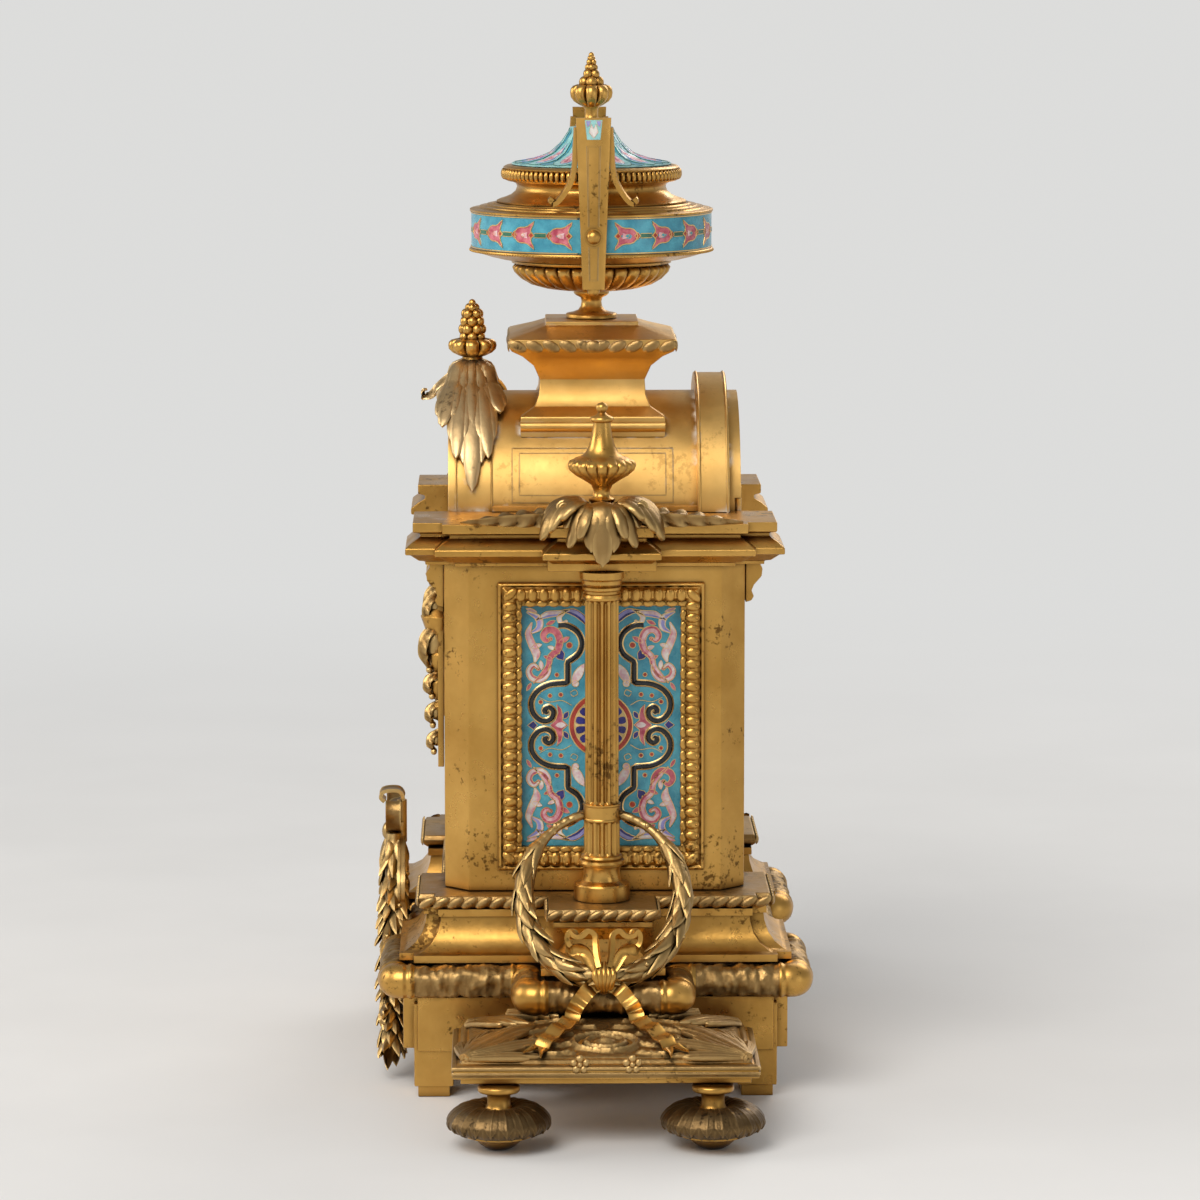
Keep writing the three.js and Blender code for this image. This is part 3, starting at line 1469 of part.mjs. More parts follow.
function trainWheel(x, z, pinionModule, pinionPhase, pinionFront, wheelOutline, wheelFront) {
  const pinion = wheelAt(
    toothedOutline(trainPinionTeeth, pinionModule, pinionPhase),
    x,
    z,
    pinionFront,
    pinionFront + trainPinionDepth,
  );
  const wheel = wheelAt(wheelOutline, x, z, wheelFront, wheelFront + wheelThickness);
  return joined(arbor(x, z, frontPlateY, backPlateRear), pinion, wheel);
}

function thirdWheel() {
  return trainWheel(
    thirdX,
    thirdZ,
    centreWheelModule,
    gapToward(trainPinionTeeth, centreToThird + Math.PI),
    centreWheelFront - overrun,
    toothedOutline(wheelTeeth, thirdWheelModule, thirdToEscape),
    thirdWheelFront,
  );
}

function escapeWheel() {
  const outline = [];
  for (let tooth = 0; tooth < escapeTeeth; tooth += 1) {
    const angle = (fullTurn * tooth) / escapeTeeth;
    outline.push([escapeRadius * Math.cos(angle), escapeRadius * Math.sin(angle)]);
    outline.push([escapeRootRadius * Math.cos(angle), escapeRootRadius * Math.sin(angle)]);
  }
  return trainWheel(
    0,
    escapeZ,
    thirdWheelModule,
    gapToward(trainPinionTeeth, thirdToEscape + Math.PI),
    thirdWheelFront - overrun,
    outline,
    escapeFront,
  );
}

// Anchor with its arbor and the crutch that drives the pendulum
function palletAnchor() {
  const outline = [
    [-palletReach - anchorArm / 2, -palletDrop],
    [-palletReach + anchorArm / 2, -palletDrop],
    [-anchorArm / 2, -anchorArm / 4],
    [anchorArm / 2, -anchorArm / 4],
    [palletReach - anchorArm / 2, -palletDrop],
    [palletReach + anchorArm / 2, -palletDrop],
    [anchorArm, anchorArm],
    [-anchorArm, anchorArm],
  ];
  const anchor = wheelAt(outline, 0, anchorZ, escapeFront, escapeFront + anchorThickness);
  const crutchY = backPlateRear + crutchSetBack;
  const shaft = moved(
    joined(
      rodAlongY(arborRadius, insideFront + runningGap, crutchY + crutchThickness, arborSides),
      rodAlongY(pivotRadius, frontPlateY, insideFront + overrun, arborSides),
    ),
    0,
    0,
    anchorZ,
  );
  const crutch = box(
    [-crutchThickness / 2, crutchY, anchorZ - crutchLength],
    [crutchThickness / 2, crutchY + crutchThickness, anchorZ],
  );
  const forkInner = pendulumRodRadius + crutchForkGap;
  const forkBottom = anchorZ - crutchLength - crutchThickness;
  const bridge = box(
    [-forkInner - crutchThickness, crutchY, forkBottom],
    [forkInner + crutchThickness, crutchY + crutchThickness, forkBottom + 2 * crutchThickness],
  );
  const tine = box(
    [forkInner, crutchY, forkBottom],
    [forkInner + crutchThickness, pendulumY + pendulumRodRadius, forkBottom + 2 * crutchThickness],
  );
  return joined(anchor, shaft, crutch, bridge, tine, tine.clone().scale(-1, 1, 1));
}

// Pendulum: an eye on the cock's pin, a rod, a round bob and the rating nut below it
function pendulum() {
  const bore = suspensionPinRadius + runningGap + overrun / 4;
  const eye = moved(
    spun(
      [[bore, -eyeHalfDepth], [eyeRadius, -eyeHalfDepth], [eyeRadius, eyeHalfDepth], [bore, eyeHalfDepth], [bore, -eyeHalfDepth]],
      smallSides,
    ),
    0,
    pendulumY,
    anchorZ,
  );
  const bobZ = anchorZ - pendulumLength;
  const rodBottom = bobZ - bobRadius - 2 * ratingNutRadius;
  const rod = moved(
    rodAlongZ(pendulumRodRadius, rodBottom, anchorZ - (bore + eyeRadius) / 2, arborSides),
    0,
    pendulumY,
    0,
  );
  const lensShares = [[0, -1], [0.7, -0.8], [1, 0], [0.7, 0.8], [0, 1]];
  const bob = moved(
    spun(lensShares.map(([out, along]) => [out * bobRadius, (along * bobThickness) / 2]), turnedSides),
    0,
    pendulumY,
    bobZ,
  );
  const nut = moved(
    rodAlongZ(ratingNutRadius, rodBottom + ratingNutRadius, rodBottom + 2 * ratingNutRadius, smallSides),
    0,
    pendulumY,
    0,
  );
  return joined(eye, rod, bob, nut);
}

// Minute wheel of the motion work, on its stud
function minuteWheel() {
  const wheel = wheelAt(
    toothedOutline(minuteWheelTeeth, motionModule, gapToward(minuteWheelTeeth, quarterTurn)),
    0,
    minuteWheelZ,
    motionFront,
    motionFront + motionWheelThickness,
  );
  const pinion = wheelAt(
    toothedOutline(hourPinionTeeth, hourModule, quarterTurn),
    0,
    minuteWheelZ,
    hourWheelFront,
    motionFront + overrun,
  );
  const bore = moved(
    rodAlongY(plateBore, hourWheelFront - overrun, frontPlateY, arborSides),
    0,
    0,
    minuteWheelZ,
  );
  return cut(joined(wheel, pinion), bore);
}

// Pointed hand with a round boss, pointing to the given angle from twelve
function handOutline(length, angle) {
  const shapeShares = [[0.35, 0], [0.35, 0.35], [1, 0.55], [0.3, 0.78], [0.12, 1]];
  const side = (sign) => shapeShares.map(([out, along]) => [sign * out * handHalfWidth, along * length]);
  return [...side(1), ...side(-1).reverse()].map(([x, z]) => [
    x * Math.cos(angle) + z * Math.sin(angle),
    z * Math.cos(angle) - x * Math.sin(angle),
  ]);
}

function handPlate(length, angle, front, bore) {
  const plate = wheelAt(handOutline(length, angle), 0, drumCentre, front, front + handThickness);
  const boss = moved(rodAlongY(handBossRadius, front, front + handThickness, turnedSides), 0, 0, drumCentre);
  const hole = moved(rodAlongY(bore, front - overrun, dialFront, arborSides), 0, 0, drumCentre);
  return { plate: joined(plate, boss), hole };
}

const hourAngle = radians(305);
const minuteAngle = radians(50);

function hourHand() {
  const { plate, hole } = handPlate(hourHandLength, hourAngle, hourHandFront, hourPipeBore);
  const pipe = moved(rodAlongY(hourPipeRadius, hourHandFront, hourWheelFront + overrun, turnedSides), 0, 0, drumCentre);
  const wheel = wheelAt(
    toothedOutline(hourWheelTeeth, hourModule, gapToward(hourWheelTeeth, -quarterTurn)),
    0,
    drumCentre,
    hourWheelFront,
    hourWheelFront + motionWheelThickness,
  );
  const through = moved(rodAlongY(hourPipeBore, hourHandFront - overrun, frontPlateY, arborSides), 0, 0, drumCentre);
  return cut(joined(plate, pipe, wheel), hole, through);
}

function minuteHand() {
  const { plate, hole } = handPlate(minuteHandLength, minuteAngle, minuteHandFront, arborRadius + seatGap);
  return cut(plate, hole);
}

// Acanthus over the front of the drum, draped to both sides, with a curl to the front
function frontAcanthus() {
  const standoff = drumRadius + drapeThickness + seatGap;
  const drapeShares = [[0.04, 0.5], [0.28, 0.9], [0.5, 1], [0.7, 0.8], [0.88, 0.45], [1, 0.1]];
  const drape = (side) =>
    blade(
      drapeShares.map(([along, width]) => {
        const angle = radians(drapeTipAngle) * along;
        return {
          at: [side * standoff * Math.sin(angle), coneY + drapeThickness, drumCentre + standoff * Math.cos(angle)],
          half: width * drapeHalfWidth,
          thick: drapeThickness,
        };
      }),
      acrossDepth,
      leafShares,
    );
  const hubShares = [[0, 0], [1, 0], [0.9, 0.5], [0.5, 0.85], [0.5, 1], [0, 1]];
  const hub = moved(
    turnedShares(hubShares, coneCupRadius, hubBottom, acanthusHubTop, turnedSides),
    0,
    coneY,
    0,
  );
  const curlShares = [[0.1, 0.5, 1], [0.5, 0.75, 0.9], [0.85, 0.45, 0.7], [1, 0.1, 0.6], [0.92, -0.1, 0.3]];
  const curlReach = 2 * coneCupRadius;
  const curl = blade(
    curlShares.map(([out, up, width]) => ({
      at: [0, coneY - out * curlReach, hubBottom + up * (acanthusHubTop - hubBottom)],
      half: (width * drapeHalfWidth) / 2,
      thick: drapeThickness,
    })),
    acrossWidth,
    leafShares,
  );
  const roof = moved(rodAlongY(drumOpening, drumFront - curlReach, 0, drumSides), 0, 0, drumCentre);
  return cut(joined(drape(1), drape(-1), hub, curl), roof);
}

function pineConeFinial() {
  const coneShares = [
    [0, 0], [0.45, 0], [0.5, 0.08], [0.95, 0.22], [1, 0.32], [0.6, 0.36], [0.55, 0.5],
    [0.62, 0.56], [0.48, 0.64], [0.5, 0.74], [0.32, 0.84], [0.28, 0.92], [0, 1],
  ];
  return moved(
    turnedShares(coneShares, coneCupRadius, coneBottom, coneBottom + coneHeight, smallSides),
    0,
    coneY,
    0,
  );
}

// Socle that rides the top of the drum
function urnSocle() {
  const ogeeShares = [[1, 0], [0.3, 0.22], [0.06, 0.55], [0, 1]];
  const coveShares = [[0, 0], [0.18, 0.45], [0.55, 0.8], [0.9, 1]];
  const slopeShares = [0.35, 0.45];
  const capShare = 0.75;
  const between = (low, high, share) => low + (high - low) * share;
  const rings = [
    [socleBottomHalfWidth, socleBottomHalfDepth, socleBottom],
    [socleBottomHalfWidth, socleBottomHalfDepth, socleBandTop],
    ...ogeeShares.map(([out, up]) => [
      between(socleWaistHalfWidth, socleBottomHalfWidth - seatGap, out),
      between(socleWaistHalfDepth, socleBottomHalfDepth - seatGap, out),
      between(socleBandTop, socleWaistZ, up) + seatGap,
    ]),
    ...coveShares.map(([out, up]) => [
      between(socleWaistHalfWidth, socleLeafHalfWidth, out) + seatGap,
      between(socleWaistHalfDepth, socleLeafHalfDepth, out) + seatGap,
      between(socleWaistZ, socleLeafBottom, up) + 2 * seatGap,
    ]),
    [socleLeafHalfWidth, socleLeafHalfDepth, socleLeafBottom + 2 * overrun],
    [socleLeafHalfWidth, socleLeafHalfDepth, socleLeafBottom + socleLeafHeight],
    [
      between(socleTopHalfWidth, socleLeafHalfWidth, slopeShares[0]),
      between(socleTopHalfDepth, socleLeafHalfDepth, slopeShares[0]),
      between(socleLeafBottom + socleLeafHeight, socleTop, slopeShares[1]),
    ],
    [
      socleTopHalfWidth,
      socleTopHalfDepth,
      between(socleLeafBottom + socleLeafHeight, socleTop, capShare),
    ],
    [socleTopHalfWidth, socleTopHalfDepth, socleTop],
  ];
  const block = lofted(
    rings.map(([halfWidth, halfDepth]) => rectangle(halfWidth, halfDepth)),
    (step, x, y) => new THREE.Vector3(x, y, rings[step][2]),
  );
  const roof = moved(
    rodAlongY(drumOpening, -2 * socleBottomHalfDepth, 2 * socleBottomHalfDepth, drumSides),
    0,
    0,
    drumCentre,
  );
  const boltHole = rodAlongZ(tieBoltRadius + seatGap, drumCentre, socleTop + overrun, smallSides);
  return cut(block, roof, boltHole);
}

// Lobed bowl of the urn with its stem and foot, hollow from above
function urnBowl() {
  const bottom = urnBottom;
  const height = urnBowlHeight;
  const bore = tieBoltRadius + seatGap;
  const outerShares = [[0.6, 0.52], [0.86, 0.7], [1, 0.9], [1, 1]];
  const outer = outerShares.map(([out, up]) => [out * urnBowlRadius, bottom + up * height]);
  const stemShares = [[1, 0.1], [0.45, 0.16], [0.4, 0.28], [0.75, 0.4]];
  const stem = stemShares.map(([out, up]) => [out * urnFootRadius, bottom + up * height]);
  const hollow = [
    [urnBowlRadius - urnBowlHollow, urnBowlTop],
    [urnBowlRadius / 2, bottom + outerShares[0][1] * height + urnBowlHollow],
    [bore, bottom + outerShares[0][1] * height + urnBowlHollow],
  ];
  return turned([[bore, bottom], [urnFootRadius, bottom], ...stem, ...outer, ...hollow, [bore, bottom]], urnSides);
}

// Enamelled band of the urn with its lower rim and shoulder
function urnBand() {
  const bottom = urnBandBottom;
  return turned(
    [
      [urnBowlRadius - urnWall, bottom],
      [urnBowlRadius, bottom],
      [bandRadius - urnWall, bandBottom - overrun],
      [bandRadius, bandBottom],
      [bandRadius, bandTop],
      [bandRadius - urnWall, bandTop + overrun],
      [shoulderRadius, shoulderTop],
      [neckRadius - urnWall, shoulderTop],
      [neckRadius - urnWall, shoulderTop - urnWall],
      [bandRadius - 2 * urnWall, bandTop - urnWall],
      [bandRadius - 2 * urnWall, bandBottom + urnWall],
      [urnBowlRadius - urnWall, bottom],
    ],
    urnSides,
  );
}

// Neck of the urn with the rim that carries the beading
function urnNeck() {
  const bottom = neckBottom;
  const outerShares = [[1.28, 0], [1.24, 0.1], [1, 0.3], [1.04, 0.5]];
  const outer = outerShares.map(([out, up]) => [out * neckRadius, bottom + up * (neckTop - bottom)]);
  return turned(
    [
      [neckRadius - urnWall, bottom],
      ...outer,
      [beadRadius, neckTop - 2 * urnWall],
      [beadRadius, neckTop - overrun],
      [lidRimRadius + seatGap, neckTop],
      [neckRadius - urnWall, neckTop],
      [neckRadius - urnWall, bottom],
    ],
    urnSides,
  );
}

function urnLid() {
  const bottom = lidBottom;
  const sweepShares = [[1, 0.04], [0.72, 0.14], [0.46, 0.34], [0.3, 0.62]];
  const bore = tieBoltRadius + seatGap;
  const sweep = sweepShares.map(([out, up]) => [out * lidRimRadius, bottom + up * (lidTop - bottom)]);
  return turned([[bore, bottom], [lidRimRadius, bottom], ...sweep, [lidTopRadius, lidTop], [bore, lidTop], [bore, bottom]], urnSides);
}

function urnFinial() {
  const bottom = finialBottom;
  const height = finialHeight;
  const bore = tieBoltRadius + seatGap;
  const budShares = [
    [0.75, 0], [0.6, 0.08], [0.32, 0.12], [0.32, 0.28], [0.7, 0.33], [1, 0.42], [0.55, 0.48],
    [0.36, 0.56], [0.42, 0.64], [0.25, 0.74], [0.26, 0.82], [0, 1],
  ];
  return turned(
    [
      [0, bottom + tieBoltEngagement + seatGap],
      [bore, bottom + tieBoltEngagement + seatGap],
      [bore, bottom],
      ...budShares.map(([out, up]) => [out * finialCupRadius, bottom + up * height]),
    ],
    smallSides,
  );
}

// Long bolt that ties the urn and its socle to the drum
function urnTieBolt() {
  const headTop = drumCentre + drumRadius - drumWall - overrun;
  return joined(
    rodAlongZ(tieBoltRadius, headTop - overrun, lidTop + tieBoltEngagement, arborSides),
    rodAlongZ(tieBoltHeadRadius, headTop - tieBoltHeadHeight, headTop, arborSides),
  );
}

// Handle: a tapered strap outside the band, two braces to the shoulder and a boss
function urnHandle() {
  const inner = bandRadius + seatGap;
  const outlineShares = [[1, 1], [0.9, 0.75], [0.8, 0.5], [0.62, 0.04], [0.3, 0], [-0.3, 0], [-0.62, 0.04], [-0.8, 0.5], [-0.9, 0.75], [-1, 1]];
  const strap = sidePlate(
    outlineShares.map(([across, up]) => [
      across * handleTopHalfWidth,
      handleBottom + up * (handleTop - handleBottom),
    ]),
    inner,
    inner + handleThickness,
  );
  const braceShares = [[0.38, 1, 0.5], [0.42, 0.75, 0.5], [0.55, 0.45, 0.3], [0.8, 0.2, 0], [1, 0.06, -0.4]];
  const braceFoot = shoulderTop + handleThickness / 2;
  const brace = (side) =>
    blade(
      braceShares.map(([across, up, out]) => ({
        at: [
          inner + out * handleThickness,
          side * across * handleBrace,
          braceFoot + up * (handleTop - handleBraceDrop - braceFoot),
        ],
        half: handleThickness / 2,
        thick: handleThickness / 3,
      })),
      acrossWidth,
      strapShares,
    );
  const boss = new THREE.SphereGeometry(handleBossRadius, smallSides, wreathSides);
  return joined(
    strap,
    brace(1),
    brace(-1),
    moved(boss, inner + handleThickness, 0, (bandBottom + bandTop) / 2),
  );
}

// Turned urn over a column
function sideFinial() {
  const stemShare = sideFinialStem / sideFinialRadius;
  const urnShares = [
    [0, 0], [stemShare, 0], [stemShare, 0.2], [0.4, 0.3], [0.32, 0.35], [0.85, 0.44], [1, 0.5], [0.86, 0.56],
    [0.45, 0.66], [0.25, 0.84], [0.36, 0.88], [0.18, 0.93], [0, 1],
  ];
  return moved(
    turnedShares(urnShares, sideFinialRadius, sideFinialBottom, sideFinialBottom + sideFinialHeight, turnedSides),
    columnX,
    bayCentreY,
    0,
  );
}

// Acanthus round the foot of that urn: long leaves on the cornice, scrolls and hanging leaves
function sideAcanthus() {
  const bottom = sideFinialBottom;
  const bore = sideFinialStem + seatGap;
  const hub = moved(
    turned(
      [[bore, bottom], [sideHubRadius, bottom], [sideHubRadius, bottom + sideHubHeight / 2], [bore, bottom + sideHubHeight / 2], [bore, bottom]],
      turnedSides,
    ),
    columnX,
    bayCentreY,
    0,
  );
  const bayEdge = corniceHalfWidth + corniceBayReach + corniceReach - columnX;
  const leaf = (shares, reach, drop, side, lift, across) =>
    blade(
      shares.map(([out, beside, up, width]) => ({
        at: [
          columnX + out * (bayEdge + leafHalfThickness + seatGap),
          bayCentreY + side * beside * reach,
          bottom + lift + up * drop,
        ],
        half: width * leafHalfWidth,
        thick: leafHalfThickness,
      })),
      across,
      leafShares,
    );
  const longShares = [[-0.3, 0.11, 0.1, 0.6], [-0.7, 0.3, 0.2, 0.9], [-0.9, 0.55, 0, 1], [-0.95, 0.8, 0.15, 0.7], [-1, 1, 0, 0.2]];
  const scrollShares = [[0.3, 0.2, 0.2, 0.7], [0.5, 0.45, 0.6, 1], [0.35, 0.7, 0.7, 0.9], [0.2, 0.92, 0.3, 0.6], [0.2, 1, 0, 0.3]];
  const hangingShares = [[0.6, 0, 0.35, 0.7], [1.12, 0, 0.25, 1], [1.3, 0, -0.15, 1], [1.3, 0, -0.55, 0.8], [1.2, 0, -0.95, 0.2]];
  const beside = hangingShares.map(([out, , up, width], step) => [out, 0.35 + 0.12 * step, up * 0.7 + 0.05, width * 0.8]);
  const leaves = [1, -1].flatMap((side) => [
    leaf(longShares, sideLeafReach, sideHubHeight, side, 2 * leafHalfThickness, acrossWidth),
    leaf(scrollShares, scrollLeafReach, sideHubHeight, side, 2 * leafHalfThickness, acrossWidth),
    leaf(beside, hangingLeafReach, hangingLeafDrop, side, leafHalfThickness, acrossDepth),
  ]);
  leaves.push(leaf(hangingShares, hangingLeafReach, hangingLeafDrop, 1, leafHalfThickness, acrossDepth));
  return joined(hub, ...leaves);
}

add("base_plinth", basePlinth(), agedGold);
add("base_torus", baseTorus(), brownGold);
add("base_cove", baseCove(), agedGold);
add("leaf_moulding", leafMoulding(), brownGold);
addPair("wing_pad", wingPad(), brownGold);
addPair("wing_foot_front", moved(wingFoot(), wingFootX, bayCentreY - wingFootY, 0), brownGold);
addPair("wing_foot_rear", moved(wingFoot(), wingFootX, bayCentreY + wingFootY, 0), brownGold);
add("front_garland", frontGarland(), agedGold);
addPair("column", column(), burnishedGold);
addPair("wreath", wreath(), agedGold);
add("body_case", bodyCase(), agedGold);
addPair("side_panel", sidePanel(), turquoiseEnamel);
addPair("side_frame", sideFrame(), agedGold);
add("front_panel", frontPanel(), turquoiseEnamel);
addPair("pilaster", pilaster(), agedGold);
addPair("cornice", cornice(), agedGold);
add("drum_front_ring", drumFrontRing(), burnishedGold);
add("drum_shell", drumShell(), burnishedGold);
add("dial_bezel", dialBezel(), burnishedGold);
add("bezel_glass", bezelGlass(), clearGlass);
add("dial_face", dialFace(), whiteEnamel);
add("hour_hand", hourHand(), bluedSteel);
add("minute_hand", minuteHand(), bluedSteel);
add("minute_wheel", minuteWheel(), movementBrass);
add("movement_front_plate", movementFrontPlate(), movementBrass);
add("movement_back_plate", movementBackPlate(), movementBrass);
add("going_barrel", barrel(1, greatWheelFront, barrelToCentre), movementBrass);
add("strike_barrel", barrel(-1, barrelBack - greatWheelThickness, 0), movementBrass);
add("centre_wheel", centreWheel(), movementBrass);
add("third_wheel", thirdWheel(), movementBrass);
add("escape_wheel", escapeWheel(), movementBrass);
add("pallet_anchor", palletAnchor(), steel);
add("pendulum", pendulum(), movementBrass);
add("bell", bell(), movementBrass);
add("hammer", hammer(), steel);
add("rear_door", rearDoor(), burnishedGold);
add("front_acanthus", frontAcanthus(), agedGold);
add("pine_cone_finial", pineConeFinial(), agedGold);
add("urn_socle", urnSocle(), burnishedGold);
add("urn_bowl", urnBowl(), brownGold);
add("urn_band", urnBand(), turquoiseEnamel);
add("urn_neck", urnNeck(), burnishedGold);
add("urn_lid", urnLid(), turquoiseEnamel);
add("urn_finial", urnFinial(), agedGold);
addPair("urn_handle", urnHandle(), brownGold);
add("urn_tie_bolt", urnTieBolt(), steel);
addPair("side_finial", sideFinial(), burnishedGold);
addPair("side_acanthus", sideAcanthus(), agedGold);

export default clock;
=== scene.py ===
"""A gilt bronze and enamel table clock.

Lengths are in millimetres in the clock's own frame: +Z is up, the dial faces -Y and the middle of
the case is at Y 0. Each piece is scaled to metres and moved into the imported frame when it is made.
"""

import math

import bmesh
import bpy
import numpy as np
from mathutils import Matrix, Vector
from mathutils.geometry import tessellate_polygon
from mathutils.noise import noise as lumps


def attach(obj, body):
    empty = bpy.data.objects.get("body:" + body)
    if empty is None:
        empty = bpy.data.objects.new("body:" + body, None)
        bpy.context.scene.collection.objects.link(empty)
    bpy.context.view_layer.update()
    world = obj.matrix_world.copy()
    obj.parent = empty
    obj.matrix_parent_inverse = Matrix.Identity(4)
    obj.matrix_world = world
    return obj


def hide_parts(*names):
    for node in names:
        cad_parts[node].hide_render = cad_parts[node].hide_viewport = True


MM = 0.001
FULL_TURN = 2 * math.pi
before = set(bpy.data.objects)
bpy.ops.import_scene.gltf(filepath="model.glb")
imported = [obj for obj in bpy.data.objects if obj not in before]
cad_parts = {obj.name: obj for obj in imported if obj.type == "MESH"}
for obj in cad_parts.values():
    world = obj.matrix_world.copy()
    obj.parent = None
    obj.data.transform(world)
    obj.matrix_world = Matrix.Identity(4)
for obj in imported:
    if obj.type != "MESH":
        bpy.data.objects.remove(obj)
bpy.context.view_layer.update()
# Place of the clock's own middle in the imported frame
SHIFT_Y = 1.0

# Sizes that the dressed pieces share with the model
SIDE_Y = 2.5
COLUMN_X = 100.0
CORNICE_TOP = 235.3
DRUM_Z = 233.0
DRUM_RADIUS = 47.5

RIGHTWARD = Vector((1, 0, 0))
REARWARD = Vector((0, 1, 0))
FORWARD = Vector((0, -1, 0))
UPWARD = Vector((0, 0, 1))


class Shape:
    """Points and faces gathered for one mesh, with a material slot for each face."""

    def __init__(self):
        self.points = []
        self.faces = []
        self.slots = []

    def add(self, points, faces, slot=0):
        start = len(self.points)
        self.points.extend(Vector(point) for point in points)
        self.faces.extend(tuple(index + start for index in face) for face in faces)
        self.slots.extend([slot] * len(faces))

    def add_grid(self, rows, slot=0, closed=False, capped=False):
        """Adds faces between rows of points. A closed grid joins each row's end to its start."""
        width = len(rows[0])
        faces = []
        for row in range(len(rows) - 1):
            for column in range(width if closed else width - 1):
                beside = (column + 1) % width
                low, high = row * width, (row + 1) * width
                faces.append((low + column, low + beside, high + beside, high + column))
        if capped:
            last = (len(rows) - 1) * width
            faces += [tuple(range(width - 1, -1, -1)), tuple(range(last, last + width))]
        self.add([point for row in rows for point in row], faces, slot)

    def changed(self, change, flip=False):
        """A copy with each point changed, its faces turned over where the change mirrors it."""
        other = Shape()
        other.points = [change(point) for point in self.points]
        other.faces = [tuple(reversed(face)) for face in self.faces] if flip else list(self.faces)
        other.slots = list(self.slots)
        return other


def mirrored_x(shape):
    """The same shape on the other side of the clock."""
    return shape.changed(lambda point: Vector((-point.x, point.y, point.z)), flip=True)


def make_piece(name, shape, materials, stands_for=(), body="case", slot="aged_gilt", sharp=40):
    """Makes the mesh, hides the nodes that it stands for and lets it ride on its body."""
    mesh = bpy.data.meshes.new(name)
    points = [(point.x * MM, (point.y + SHIFT_Y) * MM, point.z * MM) for point in shape.points]
    mesh.from_pydata(points, [], shape.faces)
    for material in materials:
        mesh.materials.append(material)
    mesh.polygons.foreach_set("material_index", shape.slots)
    edit = bmesh.new()
    edit.from_mesh(mesh)
    bmesh.ops.recalc_face_normals(edit, faces=edit.faces)
    edit.to_mesh(mesh)
    edit.free()
    mesh.polygons.foreach_set("use_smooth", [True] * len(mesh.polygons))
    mesh.set_sharp_from_angle(angle=math.radians(sharp))
    thing = bpy.data.objects.new(name, mesh)
    bpy.context.scene.collection.objects.link(thing)
    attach(thing, body)
    if stands_for:
        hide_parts(*stands_for)


def make_pair(name, shape, materials, nodes=(), **options):
    """Makes a piece on the right and its mirror image on the left."""
    for side, form in (("right", shape), ("left", mirrored_x(shape))):
        stands_for = [f"{node}_{side}" for node in nodes]
        make_piece(f"{name}_{side}", form, materials, stands_for, **options)


# Paths and the forms that follow them


def turns(count, shift=0.0):
    """Cosine and sine of evenly spaced turns. The shift is a share of their spacing."""
    angles = [FULL_TURN * (step + shift) / count for step in range(count)]
    return [(math.cos(angle), math.sin(angle)) for angle in angles]


def round_point(reach, angle, height):
    """A point at a distance and an angle round the upright middle line."""
    return Vector((reach * math.cos(angle), reach * math.sin(angle), height))


def through(points, count):
    """Points along a smooth curve through the given points."""
    points = [Vector(point) for point in points]
    ends = [points[0] * 2 - points[1], *points, points[-1] * 2 - points[-2]]
    spans = len(points) - 1
    curve = []
    for step in range(count):
        place = step / (count - 1) * spans
        span = min(int(place), spans - 1)
        t = place - span
        a, b, c, d = ends[span : span + 4]
        curve.append(
            0.5 * (2 * b + (c - a) * t + (2 * a - 5 * b + 4 * c - d) * t**2 + (3 * b - a - 3 * c + d) * t**3)
        )
    return curve


def along_path(path, length):
    """The point of a path at a length from its start. It goes straight on past the end."""
    for start, end in zip(path, path[1:]):
        span = (end - start).length
        if length <= span:
            return start.lerp(end, length / span)
        length -= span
    return path[-1] + (path[-1] - path[-2]).normalized() * length


def ways(path, step, facing):
    """Along, across and outward directions of a path at one of its points."""
    last = len(path) - 1
    tangent = (path[min(step + 1, last)] - path[max(step - 1, 0)]).normalized()
    face = facing(step / last, path[step]) if callable(facing) else facing
    up = (face - tangent * face.dot(tangent)).normalized()
    return tangent, tangent.cross(up), up


def away_from(*origin):
    """A facing that looks away from a point."""
    origin = Vector(origin)
    return lambda share, point: point - origin


def sweep(shape, path, section_at, facing, slot=0):
    """A closed section of (across, out) points carried along a path, with its ends closed."""
    rows = []
    for step, middle in enumerate(path):
        _, wide, up = ways(path, step, facing)
        rows.append([middle + wide * u + up * v for u, v in section_at(step / (len(path) - 1))])
    shape.add_grid(rows, slot, closed=True, capped=True)


def round_section(radius, sides=8):
    return [(radius * cosine, radius * sine) for cosine, sine in turns(sides)]


def flat_section(half, thickness):
    """A ribbon's section, with a low ridge at both edges."""
    inner = 0.72 * half
    return [
        (-half, -thickness), (half, -thickness), (half, thickness), (inner, 0.35 * thickness),
        (-inner, 0.35 * thickness), (-half, thickness),
    ]


def tube(shape, path, radius_at, facing, sides=8, slot=0):
    sweep(shape, path, lambda share: round_section(radius_at(share), sides), facing, slot)


def lathe(shape, profile, centre, sides, wave=None, slot=0):
    """A turned form from a profile of (radius, height). wave(angle, row) scales the radius."""
    rows = []
    for row, (radius, height) in enumerate(profile):
        ring = []
        for side in range(sides):
            angle = FULL_TURN * side / sides
            reach = radius * (wave(angle, row) if wave else 1)
            ring.append(round_point(reach, angle, height) + centre)
        rows.append(ring)
    shape.add_grid(rows, slot, closed=True)


def lobes(count, depth, first=0, last=1000):
    """A wave for lathe that gives the rows from first to last rounded lobes."""

    def wave(angle, row):
        if first <= row <= last:
            return 1 - depth * (1 - abs(math.cos(count * angle / 2)) ** 0.6)
        return 1.0

    return wave


LEAF_COLUMNS = (-1.0, -0.8, -0.52, -0.24, 0.0, 0.24, 0.52, 0.8, 1.0)
SMALL_LEAF_COLUMNS = (-1.0, -0.45, 0.0, 0.45, 1.0)


